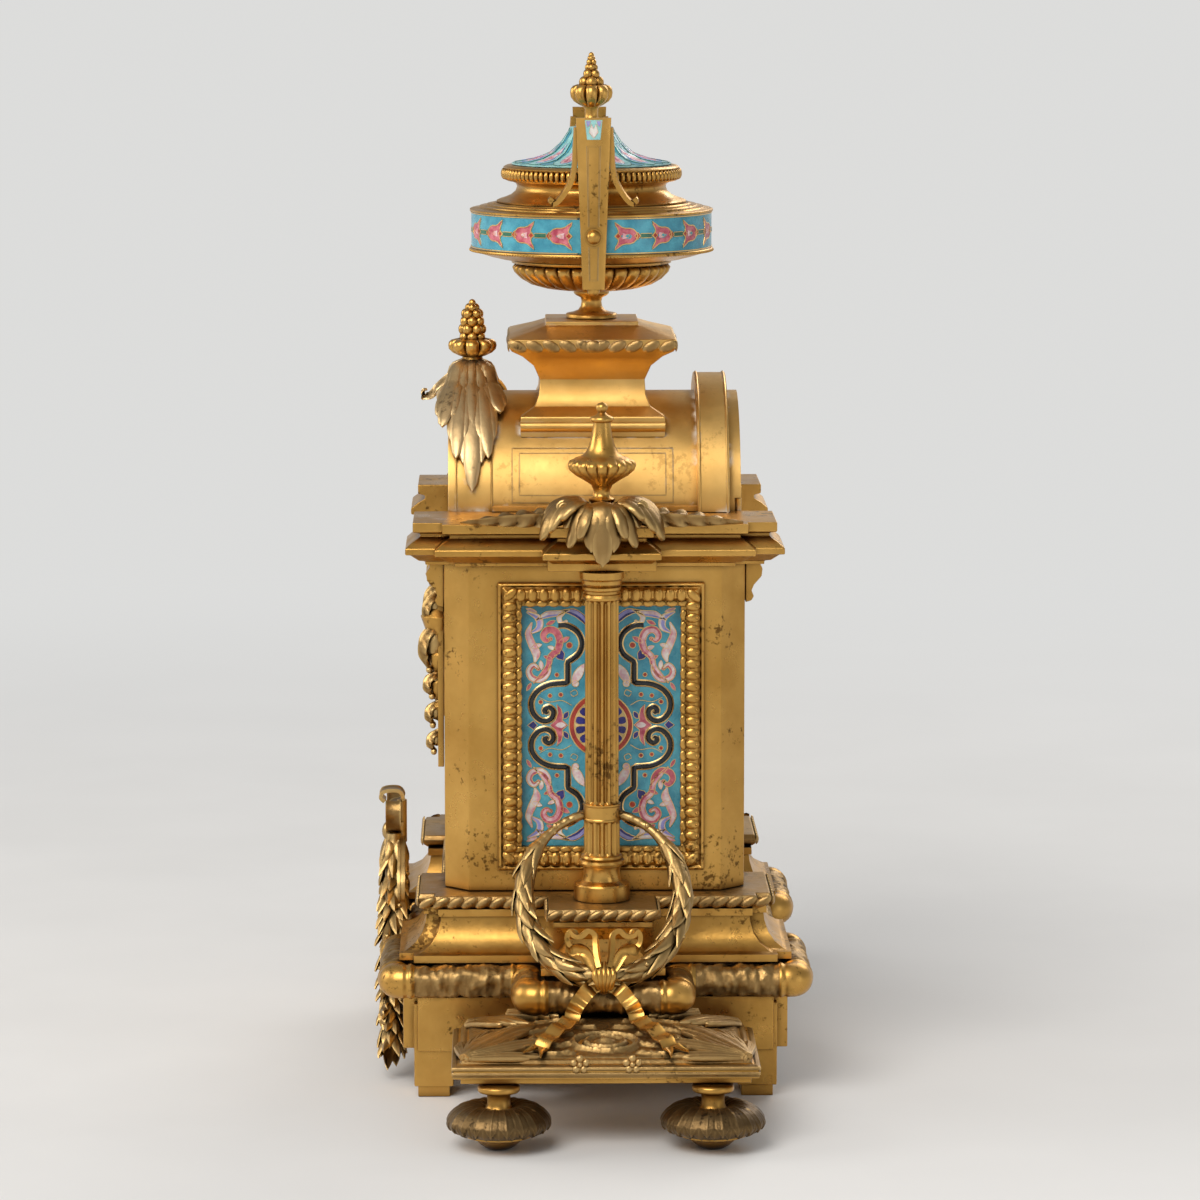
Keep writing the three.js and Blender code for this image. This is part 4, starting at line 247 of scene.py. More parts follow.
def leaf(
    shape, path, half_width, facing, thickness=1.0, lobe_count=5, depth=0.45, droop=0.15, small=False,
    slot=0
):
    """A closed leaf with a midrib along a path. Its lobes point forward, with furrows between them."""
    rows_per_lobe = 7
    columns = SMALL_LEAF_COLUMNS if small else LEAF_COLUMNS
    count = lobe_count * rows_per_lobe + 1
    spine = through(path, count)
    top, under = [], []
    for step, middle in enumerate(spine):
        share = step / (count - 1)
        tangent, wide, up = ways(spine, step, facing)
        swell = max(0.03, (1 - share**2.4) * (0.4 + 0.6 * math.sin(0.5 * math.pi * min(1, share / 0.4))))
        phase = (step % rows_per_lobe) / rows_per_lobe if share < 1 else 1
        bulge = math.sin(math.pi * (0.08 + 0.84 * phase) ** 1.3)
        half = half_width * swell * (1 - depth * (1 - bulge))
        top_row, under_row = [], []
        for place in columns:
            out = abs(place)
            rib = 0.5 * max(0, 1 - out / 0.24)
            furrow = out * (1 - bulge) * (1.1 if depth else 0)
            height = thickness * (0.6 * (1 - out**2) + rib - furrow) * min(1, 3 * (1 - share) + 0.2)
            point = middle + wide * place * half + up * (height - droop * half * out**2)
            point += tangent * (0.6 * half_width * swell * out**1.5 * (1 if depth else 0))
            top_row.append(point)
            under_row.append(point - up * thickness * (0.3 if out > 0.9 else 0.85))
        top.append(top_row)
        under.append(under_row)
    rows = [above + list(reversed(below)) for above, below in zip(top, under)]
    shape.add_grid(rows, slot, closed=True, capped=True)


FINGER_SECTION = ((-1.0, 0.0), (-0.8, 0.6), (-0.45, 0.72), (0.0, 1.0), (0.45, 0.72), (0.8, 0.6), (1.0, 0.0))


def finger(shape, spine, half_width, facing, thickness):
    """One long lobe of a leaf with a rib in its middle, ridges at its edges and a rounded tip."""
    rows = []
    for step, middle in enumerate(spine):
        share = step / (len(spine) - 1)
        _, wide, up = ways(spine, step, facing)
        tip = max(0.0, 1 - max(0.0, (share - 0.7) / 0.3) ** 2.2) ** 0.55
        half = half_width * max(0.06, (0.6 + 0.4 * math.sin(0.5 * math.pi * min(1, share / 0.55))) * tip)
        lift = thickness * (0.35 + 0.65 * tip)
        above = [middle + wide * half * place + up * lift * height for place, height in FINGER_SECTION]
        below = [middle + wide * half * place - up * thickness * 0.7 for place in (0.8, 0.0, -0.8)]
        rows.append(above + below)
    shape.add_grid(rows, 0, closed=True, capped=True)


THREE_FINGERS = ((0.62, 0.84), (-0.62, 0.84), (0.0, 1.0))
FIVE_FINGERS = ((1.0, 0.7), (-1.0, 0.7), (0.55, 0.86), (-0.55, 0.86), (0.0, 1.0))
LONG_FINGERS = ((1.0, 0.42), (-1.0, 0.42), (0.95, 0.62), (-0.95, 0.62), (0.6, 0.82), (-0.6, 0.82), (0.0, 1.0))


def fan(shape, path, width, fingers, facing, thickness=1.0):
    """An acanthus leaf: fingers side by side along one path. Each ends at its own share of the path."""
    spine = through(path, 40)
    half = width * (0.64 if len(fingers) < 4 else 0.5)
    for place, reach in fingers:
        points = []
        for step in range(18):
            share = reach * step / 17
            at = round(39 * share)
            _, wide, up = ways(spine, at, facing)
            spread = place * width * (0.3 + 0.7 * min(1, share / (0.7 * reach)))
            points.append(spine[at] + wide * spread + up * thickness * 0.5 * (1 - abs(place)))
        finger(shape, points, half if place else half * 1.2, facing, thickness)


def cap_faces(rings, segments):
    """Faces of a rounded cap: a fan round its first point, then bands between its rings of points."""
    faces = [(0, 1 + side, 1 + (side + 1) % segments) for side in range(segments)]
    for ring in range(rings - 2):
        for side in range(segments):
            a = 1 + ring * segments + side
            b = 1 + ring * segments + (side + 1) % segments
            faces.append((a, a + segments, b + segments, b))
    return faces


def bead(shape, centre, radius, stretch=(1, 1, 1), slot=0, segments=8, rings=6):
    """A small ball, which may be stretched along the axes."""
    stretch = Vector(stretch) * radius
    points = [centre + Vector((0, 0, stretch.z))]
    for ring in range(1, rings):
        polar = math.pi * ring / rings
        for cosine, sine in turns(segments):
            offset = (math.sin(polar) * cosine, math.sin(polar) * sine, math.cos(polar))
            points.append(centre + Vector([part * size for part, size in zip(offset, stretch)]))
    points.append(centre - Vector((0, 0, stretch.z)))
    faces = cap_faces(rings, segments)
    last = len(points) - 1
    faces += [
        (last, last - segments + (side + 1) % segments, last - segments + side) for side in range(segments)
    ]
    shape.add(points, faces, slot)


def egg(shape, centre, long_way, wide_way, out_way, slot=0, rings=5, segments=10):
    """Half of an egg that stands out of a face. The three vectors are its half sizes."""
    points = [centre + out_way]
    for ring in range(1, rings):
        polar = 0.5 * math.pi * ring / (rings - 1)
        for cosine, sine in turns(segments):
            flat = cosine * long_way + sine * wide_way
            points.append(centre + out_way * math.cos(polar) + math.sin(polar) * flat)
    faces = cap_faces(rings, segments)
    shape.add(points, faces, slot)


def slanted_lobes(shape, start, end, out, up, pitch, height, depth, slant, slot=0):
    """A row of slanted lobes along a straight edge, like a band of leaves."""
    run = end - start
    count = max(1, round(run.length / pitch))
    direction = run.normalized()
    for index in range(count):
        middle = start + run * ((index + 0.5) / count)
        egg(shape, middle, up * height / 2 + direction * slant, direction * (pitch * 0.52), out * depth, slot)


# Flat cells of enamel and their wires, drawn in (u, v) and put in place by a function

ENAMEL_RISE = 0.16
WIRE_RISE = 0.26


def inlay(shape, outline, place, height, slot):
    """A filled cell with an outline of (u, v), raised by a height over its ground."""
    flat = [Vector((u, v, 0)) for u, v in outline]
    triangles = [tuple(reversed(face)) for face in tessellate_polygon([flat])]
    count = len(outline)
    points = [place(u, v, height) for u, v in outline] + [place(u, v, 0) for u, v in outline]
    walls = [(i, (i + 1) % count, (i + 1) % count + count, i + count) for i in range(count)]
    shape.add(points, triangles + walls, slot)


def wire(shape, path, place, width, height, slot, closed=False):
    """A thin strip along a path of (u, v)."""
    path = [Vector((u, v)) for u, v in path]
    count = len(path)
    rows = []
    for step, middle in enumerate(path):
        ahead = path[(step + 1) % count] if closed else path[min(step + 1, count - 1)]
        behind = path[step - 1] if closed else path[max(step - 1, 0)]
        run = (ahead - behind).normalized()
        side = Vector((-run.y, run.x)) * width / 2
        offsets = ((side, 0), (side * 0.8, height), (-side * 0.8, height), (-side, 0))
        rows.append([place(*(middle + offset), level) for offset, level in offsets])
    if closed:
        rows.append(list(rows[0]))
    shape.add_grid(rows, slot)


def cell(shape, outline, place, slot, wire_slot, wire_width=0.4):
    """A cell of enamel with its wire round it."""
    inlay(shape, outline, place, ENAMEL_RISE + 0.008 * (len(shape.faces) % 10), slot)
    wire(shape, outline, place, wire_width, WIRE_RISE, wire_slot, closed=True)


def flat_curve(points, count):
    """A smooth curve in the plane, as (u, v)."""
    return [(point.x, point.y) for point in through([(u, v, 0) for u, v in points], count)]


def flat_circle(centre, radius, count):
    """A circle in the plane, as (u, v)."""
    return [(centre[0] + radius * cosine, centre[1] + radius * sine) for cosine, sine in turns(count)]


def flat_petal(base, tip, half_width, count=7):
    """A pointed petal in the plane, from base to tip."""
    base, tip = Vector(base), Vector(tip)
    run = tip - base
    side = Vector((-run.y, run.x)).normalized()
    left, right = [], []
    for step in range(1, count):
        share = step / count
        half = half_width * math.sin(math.pi * share) ** 0.8
        left.append(tuple(base + run * share + side * half))
        right.append(tuple(base + run * share - side * half))
    return [tuple(base), *right, tuple(tip), *reversed(left)]


# Materials


def feed(tree, socket, value):
    """Sets a shader socket to a value, or links it to another socket."""
    if isinstance(value, bpy.types.NodeSocket):
        tree.links.new(value, socket)
    else:
        socket.default_value = value


def node(tree, kind, **inputs):
    """A shader node with its inputs set by name: a value, or a socket to link."""
    made = tree.nodes.new(kind)
    for name, value in inputs.items():
        feed(tree, made.inputs[name.replace("_", " ")], value)
    return made


def sums(tree, operation, *values):
    """A math node on two values or sockets."""
    made = tree.nodes.new("ShaderNodeMath")
    made.operation = operation
    made.use_clamp = True
    for socket, value in zip(made.inputs, values):
        feed(tree, socket, value)
    return made.outputs[0]


def ramp(tree, value, stops):
    """A colour ramp on a value, from (place, colour) stops. A number stands for a grey."""
    made = tree.nodes.new("ShaderNodeValToRGB")
    elements = made.color_ramp.elements
    stops = [(place, colour if isinstance(colour, tuple) else (colour,) * 3) for place, colour in stops]
    elements[0].position, elements[0].color = stops[0][0], (*stops[0][1], 1)
    elements[1].position, elements[1].color = stops[-1][0], (*stops[-1][1], 1)
    for place, colour in stops[1:-1]:
        elements.new(place).color = (*colour, 1)
    tree.links.new(value, made.inputs["Fac"])
    return made.outputs["Color"]


def noise(tree, coordinates, scale, detail=3.0, roughness=0.55):
    """Cloudy values from 0 to 1."""
    made = node(
        tree, "ShaderNodeTexNoise", Vector=coordinates, Scale=scale, Detail=detail, Roughness=roughness
    )
    return made.outputs["Fac"]


def mixed(tree, share, first, second):
    """The first colour, turning to the second by a share."""
    made = tree.nodes.new("ShaderNodeMix")
    made.data_type = "RGBA"
    for socket, value in zip((made.inputs[0], made.inputs[6], made.inputs[7]), (share, first, second)):
        feed(tree, socket, (*value, 1) if isinstance(value, tuple) else value)
    return made.outputs[2]


def bumped(tree, shader, surface, strength, distance):
    """Small bumps on a surface. The distance is in millimetres."""
    bump = node(tree, "ShaderNodeBump", Strength=strength, Distance=distance * MM, Height=surface)
    tree.links.new(bump.outputs["Normal"], shader.inputs["Normal"])


def new_material(name):
    """A material with its node tree, its shader and the object's own coordinates."""
    material = bpy.data.materials.new(name)
    material.use_nodes = True
    tree = material.node_tree
    coordinates = tree.nodes.new("ShaderNodeTexCoord").outputs["Object"]
    return material, tree, tree.nodes["Principled BSDF"], coordinates


def gilt(name, light, middle, dark, hollow_shade, roughness, speckle=0.5, dent=0.15, edges=None, residue=0.0):
    """Gilding: patches of tone, painted shade in the hollows (a darker brown where they are occluded), dark
    speckles, rubbed edges that also stand in for painted highlights, and pale polish residue.
    """
    material, tree, shader, coordinates = new_material(name)
    tone = ramp(tree, noise(tree, coordinates, 26.0, 5.0, 0.6), ((0.32, middle), (0.68, light)))
    spots = sums(
        tree, "MULTIPLY", noise(tree, coordinates, 380.0, 2.0, 0.7), noise(tree, coordinates, 40.0, 2.0)
    )
    speck = ramp(tree, spots, ((0.34, 0.0), (0.43, speckle)))
    colour = mixed(tree, speck, tone, dark)
    # Painted shade: the colour turns to the dark tone where ambient occlusion finds a hollow.
    hollow = node(tree, "ShaderNodeAmbientOcclusion", Distance=4.0 * MM)
    hollow.samples = 8
    recess = ramp(tree, hollow.outputs["AO"], ((0.3, hollow_shade), (0.9, 0.0)))
    colour = mixed(tree, recess, colour, dark)
    # Lighter sharp edges: partly rubbed wear, partly a painted highlight on the ridges.
    if edges:
        pointed = tree.nodes.new("ShaderNodeNewGeometry").outputs["Pointiness"]
        rubbed_and_highlit = sums(tree, "MULTIPLY", ramp(tree, pointed, ((0.515, 0.0), (0.6, 1.0))), 0.85)
        colour = mixed(tree, rubbed_and_highlit, colour, edges)
    metallic = shader.inputs["Metallic"]
    metallic.default_value = 1.0
    if residue:
        corner = ramp(tree, hollow.outputs["AO"], ((0.55, 1.0), (0.85, 0.0)))
        left = sums(
            tree, "MULTIPLY", corner,
            ramp(tree, noise(tree, coordinates, 70.0, 4.0), ((0.52, 0.0), (0.62, residue)))
        )
        colour = mixed(tree, left, colour, (0.66, 0.62, 0.54))
        tree.links.new(sums(tree, "SUBTRACT", 1.0, left), metallic)
    tree.links.new(colour, shader.inputs["Base Color"])
    low, high = roughness
    rough = ramp(tree, noise(tree, coordinates, 80.0, 4.0, 0.65), ((0.35, low), (0.7, high)))
    tree.links.new(rough, shader.inputs["Roughness"])
    bumped(tree, shader, noise(tree, coordinates, 420.0, 4.0, 0.6), dent, 0.5)
    return material


def enamel(name, colour, deeper, cloud_scale=160.0):
    """Glossy enamel with cloudy depth and small pits."""
    material, tree, shader, coordinates = new_material(name)
    cloud = ramp(tree, noise(tree, coordinates, cloud_scale, 3.0), ((0.36, deeper), (0.62, colour)))
    pits = ramp(tree, noise(tree, coordinates, 1300.0, 2.0), ((0.7, 0.0), (0.78, 0.6)))
    tree.links.new(
        mixed(tree, pits, cloud, tuple(0.5 * part for part in deeper)), shader.inputs["Base Color"]
    )
    rough = ramp(tree, noise(tree, coordinates, 240.0, 2.0), ((0.3, 0.16), (0.75, 0.36)))
    tree.links.new(rough, shader.inputs["Roughness"])
    bumped(tree, shader, noise(tree, coordinates, 220.0, 2.0), 0.06, 0.3)
    return material


def plain_metal(name, light, dark, roughness, grain):
    """Polished or brushed metal with turning marks and a trace of tarnish."""
    material, tree, shader, coordinates = new_material(name)
    tone = ramp(tree, noise(tree, coordinates, 60.0, 3.0), ((0.3, dark), (0.7, light)))
    tree.links.new(tone, shader.inputs["Base Color"])
    shader.inputs["Metallic"].default_value = 1.0
    low, high = roughness
    tree.links.new(
        ramp(tree, noise(tree, coordinates, 300.0), ((0.3, low), (0.75, high))), shader.inputs["Roughness"]
    )
    bumped(tree, shader, noise(tree, coordinates, grain, 2.0), 0.1, 0.2)
    return material


def glass():
    """Clear glass with faint smears."""
    material, tree, shader, coordinates = new_material("dial_glass")
    smears = ramp(tree, noise(tree, coordinates, 40.0, 3.0), ((0.4, 0.02), (0.8, 0.08)))
    tree.links.new(smears, shader.inputs["Roughness"])
    shader.inputs["Base Color"].default_value = (0.96, 0.98, 0.98, 1)
    shader.inputs["Transmission Weight"].default_value = 1.0
    shader.inputs["IOR"].default_value = 1.45
    return material


# The fifth number of each gilding sets how strongly painted shade darkens its hollows; edges is a lighter
# colour painted on sharp edges, partly rubbed wear and partly painted highlight.
BRIGHT = gilt(
    "bright_gilding", (0.74, 0.46, 0.15), (0.58, 0.33, 0.09), (0.2, 0.09, 0.02),
    0.8, (0.32, 0.48), 0.3, 0.08, residue=0.9
)
AGED = gilt(
    "aged_gilding", (0.66, 0.38, 0.1), (0.47, 0.25, 0.055), (0.1, 0.045, 0.012),
    0.95, (0.26, 0.46), 0.85, 0.14
)
WORN = gilt(
    "worn_gilding", (0.38, 0.235, 0.09), (0.235, 0.138, 0.048), (0.035, 0.018, 0.007),
    1.0, (0.32, 0.48), 0.75, 0.35, edges=(0.66, 0.45, 0.18)
)
RUBBED = gilt(
    "rubbed_gilding", (0.58, 0.4, 0.2), (0.4, 0.265, 0.115), (0.05, 0.025, 0.01),
    1.0, (0.34, 0.5), 0.6, 0.3, edges=(0.8, 0.6, 0.32)
)
BROWN = gilt(
    "brown_bronze", (0.4, 0.245, 0.09), (0.23, 0.137, 0.048), (0.022, 0.012, 0.005),
    1.0, (0.36, 0.54), 0.8, 0.5, edges=(0.66, 0.44, 0.18)
)
DARK = gilt(
    "dark_bronze", (0.2, 0.125, 0.052), (0.11, 0.067, 0.028), (0.015, 0.009, 0.005),
    1.0, (0.36, 0.54), 0.8, 0.5, edges=(0.5, 0.33, 0.14)
)
WIRE = gilt(
    "cell_wire", (0.85, 0.58, 0.24), (0.7, 0.44, 0.15), (0.3, 0.16, 0.05),
    0.3, (0.25, 0.4), 0.1, 0.02
)
TURQUOISE = enamel("turquoise_enamel", (0.075, 0.34, 0.43), (0.035, 0.22, 0.31))
BLACK = enamel("black_enamel", (0.012, 0.014, 0.014), (0.004, 0.005, 0.006))
RED = enamel("red_enamel", (0.42, 0.045, 0.02), (0.26, 0.02, 0.012))
PINK = enamel("pink_enamel", (0.58, 0.17, 0.2), (0.36, 0.04, 0.075), 330.0)
PALE_PINK = enamel("pale_pink_enamel", (0.72, 0.56, 0.55), (0.58, 0.2, 0.26), 330.0)
WHITE = enamel("white_enamel_cells", (0.7, 0.67, 0.62), (0.6, 0.36, 0.4), 330.0)
BLUE = enamel("blue_enamel", (0.025, 0.025, 0.2), (0.012, 0.012, 0.1))
LILAC = enamel("lilac_enamel", (0.33, 0.33, 0.62), (0.2, 0.2, 0.48))
GREEN = enamel("green_enamel", (0.03, 0.16, 0.1), (0.012, 0.08, 0.05))
PALE_GREEN = enamel("pale_green_enamel", (0.3, 0.58, 0.56), (0.2, 0.44, 0.46))
CREAM = enamel("cream_enamel", (0.66, 0.5, 0.22), (0.5, 0.36, 0.14))
DIAL_WHITE = enamel("dial_enamel", (0.86, 0.84, 0.78), (0.8, 0.77, 0.7))
ENAMELS = [TURQUOISE, WIRE, BLACK, RED, PINK, PALE_PINK, WHITE, BLUE, LILAC, GREEN, PALE_GREEN, CREAM]
(
    S_TURQUOISE, S_WIRE, S_BLACK, S_RED, S_PINK, S_PALE,
    S_WHITE, S_BLUE, S_LILAC, S_GREEN, S_MINT, S_CREAM
) = range(12)
MOVEMENT_BRASS = plain_metal("movement_brass", (0.8, 0.6, 0.26), (0.62, 0.43, 0.16), (0.2, 0.35), 900.0)
BLUED = plain_metal("blued_steel", (0.03, 0.05, 0.2), (0.015, 0.02, 0.09), (0.18, 0.3), 700.0)
STEEL = plain_metal("ground_steel", (0.55, 0.54, 0.52), (0.4, 0.39, 0.38), (0.28, 0.42), 1200.0)
GLASS = glass()


# Nodes that stay as they are

KEPT_FINISHES = {
    BRIGHT: ("drum_front_ring", "drum_shell", "dial_bezel", "rear_door", "urn_socle"),
    AGED: (
        "base_plinth", "base_cove", "body_case", "side_frame_right", "side_frame_left", "pilaster_right",
        "pilaster_left", "cornice_right", "cornice_left", "wing_pad_right", "wing_pad_left",
    ),
    BROWN: ("leaf_moulding",),
    TURQUOISE: ("side_panel_right", "side_panel_left", "front_panel"),
    GLASS: ("bezel_glass",),
    DIAL_WHITE: ("dial_face",),
    BLUED: ("hour_hand", "minute_hand"),
    MOVEMENT_BRASS: (
        "minute_wheel", "movement_front_plate", "movement_back_plate", "going_barrel", "strike_barrel",
        "centre_wheel", "third_wheel", "escape_wheel", "pendulum", "bell",
    ),
    STEEL: ("pallet_anchor", "hammer", "urn_tie_bolt"),
}
# Width of the rounded edges of the large castings
SOFT_EDGE = 0.45
# Faces that differ by less than these angles are joined, and edges over them rounded or left sharp
JOINED_BELOW = math.radians(1)
ROUNDED_ABOVE = math.radians(35)
SHARP_ABOVE = math.radians(30)


def mesh_group(name, build):
    """A node group that changes a mesh. build(group, geometry) returns the changed geometry."""
    group = bpy.data.node_groups.new(name, "GeometryNodeTree")
    for way in ("INPUT", "OUTPUT"):
        group.interface.new_socket("Geometry", in_out=way, socket_type="NodeSocketGeometry")
    start = group.nodes.new("NodeGroupInput")
    end = group.nodes.new("NodeGroupOutput")
    group.links.new(build(group, start.outputs[0]), end.inputs[0])
    return group


def joined_corners(group, geometry):
    """One point at each corner, without the flat normals."""
    joined = group.nodes.new("GeometryNodeMergeByDistance")
    joined.inputs["Distance"].default_value = 0.002 * MM
    group.links.new(geometry, joined.inputs["Geometry"])
    plain = group.nodes.new("GeometryNodeRemoveAttribute")
    plain.inputs["Name"].default_value = "custom_normal"
    group.links.new(joined.outputs["Geometry"], plain.inputs["Geometry"])
    return plain.outputs["Geometry"]


def smoothed_by_angle(group, geometry):
    """Smooth faces, with the steeper edges left sharp."""
    for domain in ("FACE", "EDGE"):
        smooth = group.nodes.new("GeometryNodeSetShadeSmooth")
        smooth.domain = domain
        group.links.new(geometry, smooth.inputs["Geometry"])
        geometry = smooth.outputs["Geometry"]
    angle = group.nodes.new("GeometryNodeInputMeshEdgeAngle")
    steep = group.nodes.new("FunctionNodeCompare")
    steep.inputs["B"].default_value = SHARP_ABOVE
    group.links.new(angle.outputs["Unsigned Angle"], steep.inputs["A"])
    sharp = group.nodes.new("GeometryNodeSetShadeSmooth")
    sharp.domain = "EDGE"
    sharp.inputs["Shade Smooth"].default_value = False
    group.links.new(steep.outputs["Result"], sharp.inputs["Selection"])
    group.links.new(geometry, sharp.inputs["Geometry"])
    return sharp.outputs["Geometry"]


def finish_nodes():
    """Materials, rounded edges and smooth shading for the nodes that stay."""
    joined = mesh_group("joined_corners", joined_corners)
    smooth = mesh_group("smoothed_by_angle", smoothed_by_angle)
    castings = KEPT_FINISHES[BRIGHT] + KEPT_FINISHES[AGED] + KEPT_FINISHES[BROWN]
    finish_of = {name: finish for finish, names in KEPT_FINISHES.items() for name in names}
    for name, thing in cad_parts.items():
        for slot in thing.material_slots:
            slot.material = finish_of.get(name, AGED)
        thing.modifiers.new("joined_corners", "NODES").node_group = joined
        if name in castings:
            flat = thing.modifiers.new("whole_faces", "DECIMATE")
            flat.decimate_type = "DISSOLVE"
            flat.angle_limit = JOINED_BELOW
            rounded = thing.modifiers.new("rounded_edges", "BEVEL")
            rounded.width = SOFT_EDGE * MM
            rounded.segments = 2
            rounded.limit_method = "ANGLE"
            rounded.angle_limit = ROUNDED_ABOVE
        thing.modifiers.new("smooth_faces", "NODES").node_group = smooth
        if name in castings:
            level = thing.modifiers.new("level_faces", "WEIGHTED_NORMAL")
            level.keep_sharp = True


# Urn

BAND_RADIUS = 50.3
BAND_BOTTOM = 341.0
BAND_TOP = 356.0
BAND_MIDDLE = (BAND_BOTTOM + BAND_TOP) / 2
HANDLE_FACE = 55.0
HANDLE_BACK = 50.6


def on_band(u, v, height):
    """A point on the urn's band. u runs round it from the handle on the right."""
    angle = u / BAND_RADIUS
    reach = BAND_RADIUS + height
    return round_point(reach, angle, v)


def urn_band():
    """Stepped shoulder, lower rim and the enamelled band, whose tulips open toward each handle."""
    metal = Shape()
    lower = [
        (31.0, 335.7), (33.8, 335.7), (38.5, 336.3), (43.0, 337.4), (46.6, 338.5), (48.4, 339.0),
        (49.4, 339.3), (50.9, 339.6), (51.1, 340.2), (50.8, 340.8), (50.3, BAND_BOTTOM),
    ]
    shoulder = [
        (50.3, BAND_TOP), (50.9, 356.1), (50.9, 356.9), (50.2, 357.2), (47.3, 357.4), (46.9, 357.6),
        (46.7, 358.2), (44.2, 358.3), (43.9, 358.5), (43.7, 359.0), (41.6, 359.1), (41.2, 359.3),
        (41.0, 359.6), (28.0, 359.6),
    ]
    lathe(metal, lower, Vector(), 144)
    lathe(metal, shoulder, Vector(), 144)
    teeth = 220
    for index in range(teeth):
        bead(metal, on_band(FULL_TURN * BAND_RADIUS * index / teeth, 339.9, 0.55), 0.5, segments=6, rings=4)
    make_piece("urn_band_mounts", metal, [AGED], stands_for=["urn_band"], sharp=50)
    ground = Shape()
    lathe(ground, [(BAND_RADIUS, BAND_BOTTOM), (BAND_RADIUS, BAND_TOP)], Vector(), 144)
    for edge in (BAND_BOTTOM + 0.4, BAND_TOP - 0.4):
        ring = [(BAND_RADIUS * FULL_TURN * i / 96, edge) for i in range(96)]
        wire(ground, ring, on_band, 0.5, WIRE_RISE, S_WIRE, closed=True)
    half_tulip = [
        (-5.0, 0), (-4.4, 1.5), (-3.2, 2.7), (-1.6, 3.2), (0.2, 3.2), (1.8, 3.6), (3.2, 4.6), (4.9, 5.7),
        (4.5, 4.4), (3.7, 3.2), (3.3, 2.0), (3.5, 1.2), (4.5, 0.3),
    ]
    tulip = half_tulip + [(u, -v) for u, v in reversed(half_tulip[1:])]
    inner = [
        (-3.4, 0), (-1.6, 1.6), (0.8, 1.9), (2.6, 2.4), (2.2, 0.9), (2.4, -0.9), (2.6, -2.4), (0.8, -1.9),
        (-1.6, -1.6)
    ]
    pitch = math.radians(18.8)
    for handle in (0.0, math.pi):
        for side in (1, -1):
            for index in range(4):
                at = BAND_RADIUS * (handle + side * (math.radians(15.5) + pitch * index))

                def turned(points):
                    return [(at - side * u, BAND_MIDDLE + v) for u, v in points]

                cell(ground, turned(tulip), on_band, S_PINK, S_WIRE, 0.45)
                small = [(u * 0.55 + 0.2, v * 0.55) for u, v in inner]
                inlay(ground, turned(small), on_band, ENAMEL_RISE + 0.06, S_PALE)
                for figure, colour, width in (
                    ([(2.3, 0), (3.6, 1.3), (4.9, 0), (3.6, -1.3)], S_RED, 0.35),
                    ([(-1.6, 0), (-0.5, 0.8), (0.6, 0), (-0.5, -0.8)], S_TURQUOISE, 0.25),
                    ([(-6.2, 0), (-5.0, 1.5), (-3.7, 0), (-5.0, -1.5)], S_RED, 0.35),
                    ([(-6.3, 0.9), (-11.4, 0.9), (-11.4, -0.9), (-6.3, -0.9)], S_GREEN, 0.3),
                ):
                    cell(ground, turned(figure), on_band, colour, S_WIRE, width)
    make_piece("urn_band_enamel", ground, ENAMELS, slot="turquoise_enamel")


def urn_neck():
    """Waisted neck with its ring of long beads."""
    neck = Shape()
    profile = [
        (28.0, 359.8), (39.6, 359.8), (39.7, 360.4), (38.4, 361.0), (36.4, 361.6), (33.6, 362.8),
        (31.8, 364.4), (31.1, 366.2), (31.6, 367.6), (33.4, 368.4), (35.6, 368.8), (36.2, 369.4),
        (36.0, 370.2), (36.0, 373.0), (36.6, 373.6), (36.8, 374.4), (35.8, 375.0), (34.2, 375.3),
        (28.0, 375.3),
    ]
    lathe(neck, profile, Vector(), 128)
    bead_count, bead_circle, bead_level = 92, 36.7, 371.6
    for cosine, sine in turns(bead_count):
        at = Vector((bead_circle * cosine, bead_circle * sine, bead_level))
        bead(neck, at, 1.2, (1, 1, 1.9), rings=8)
    make_piece("urn_neck_beaded", neck, [AGED], stands_for=["urn_neck"], sharp=60)


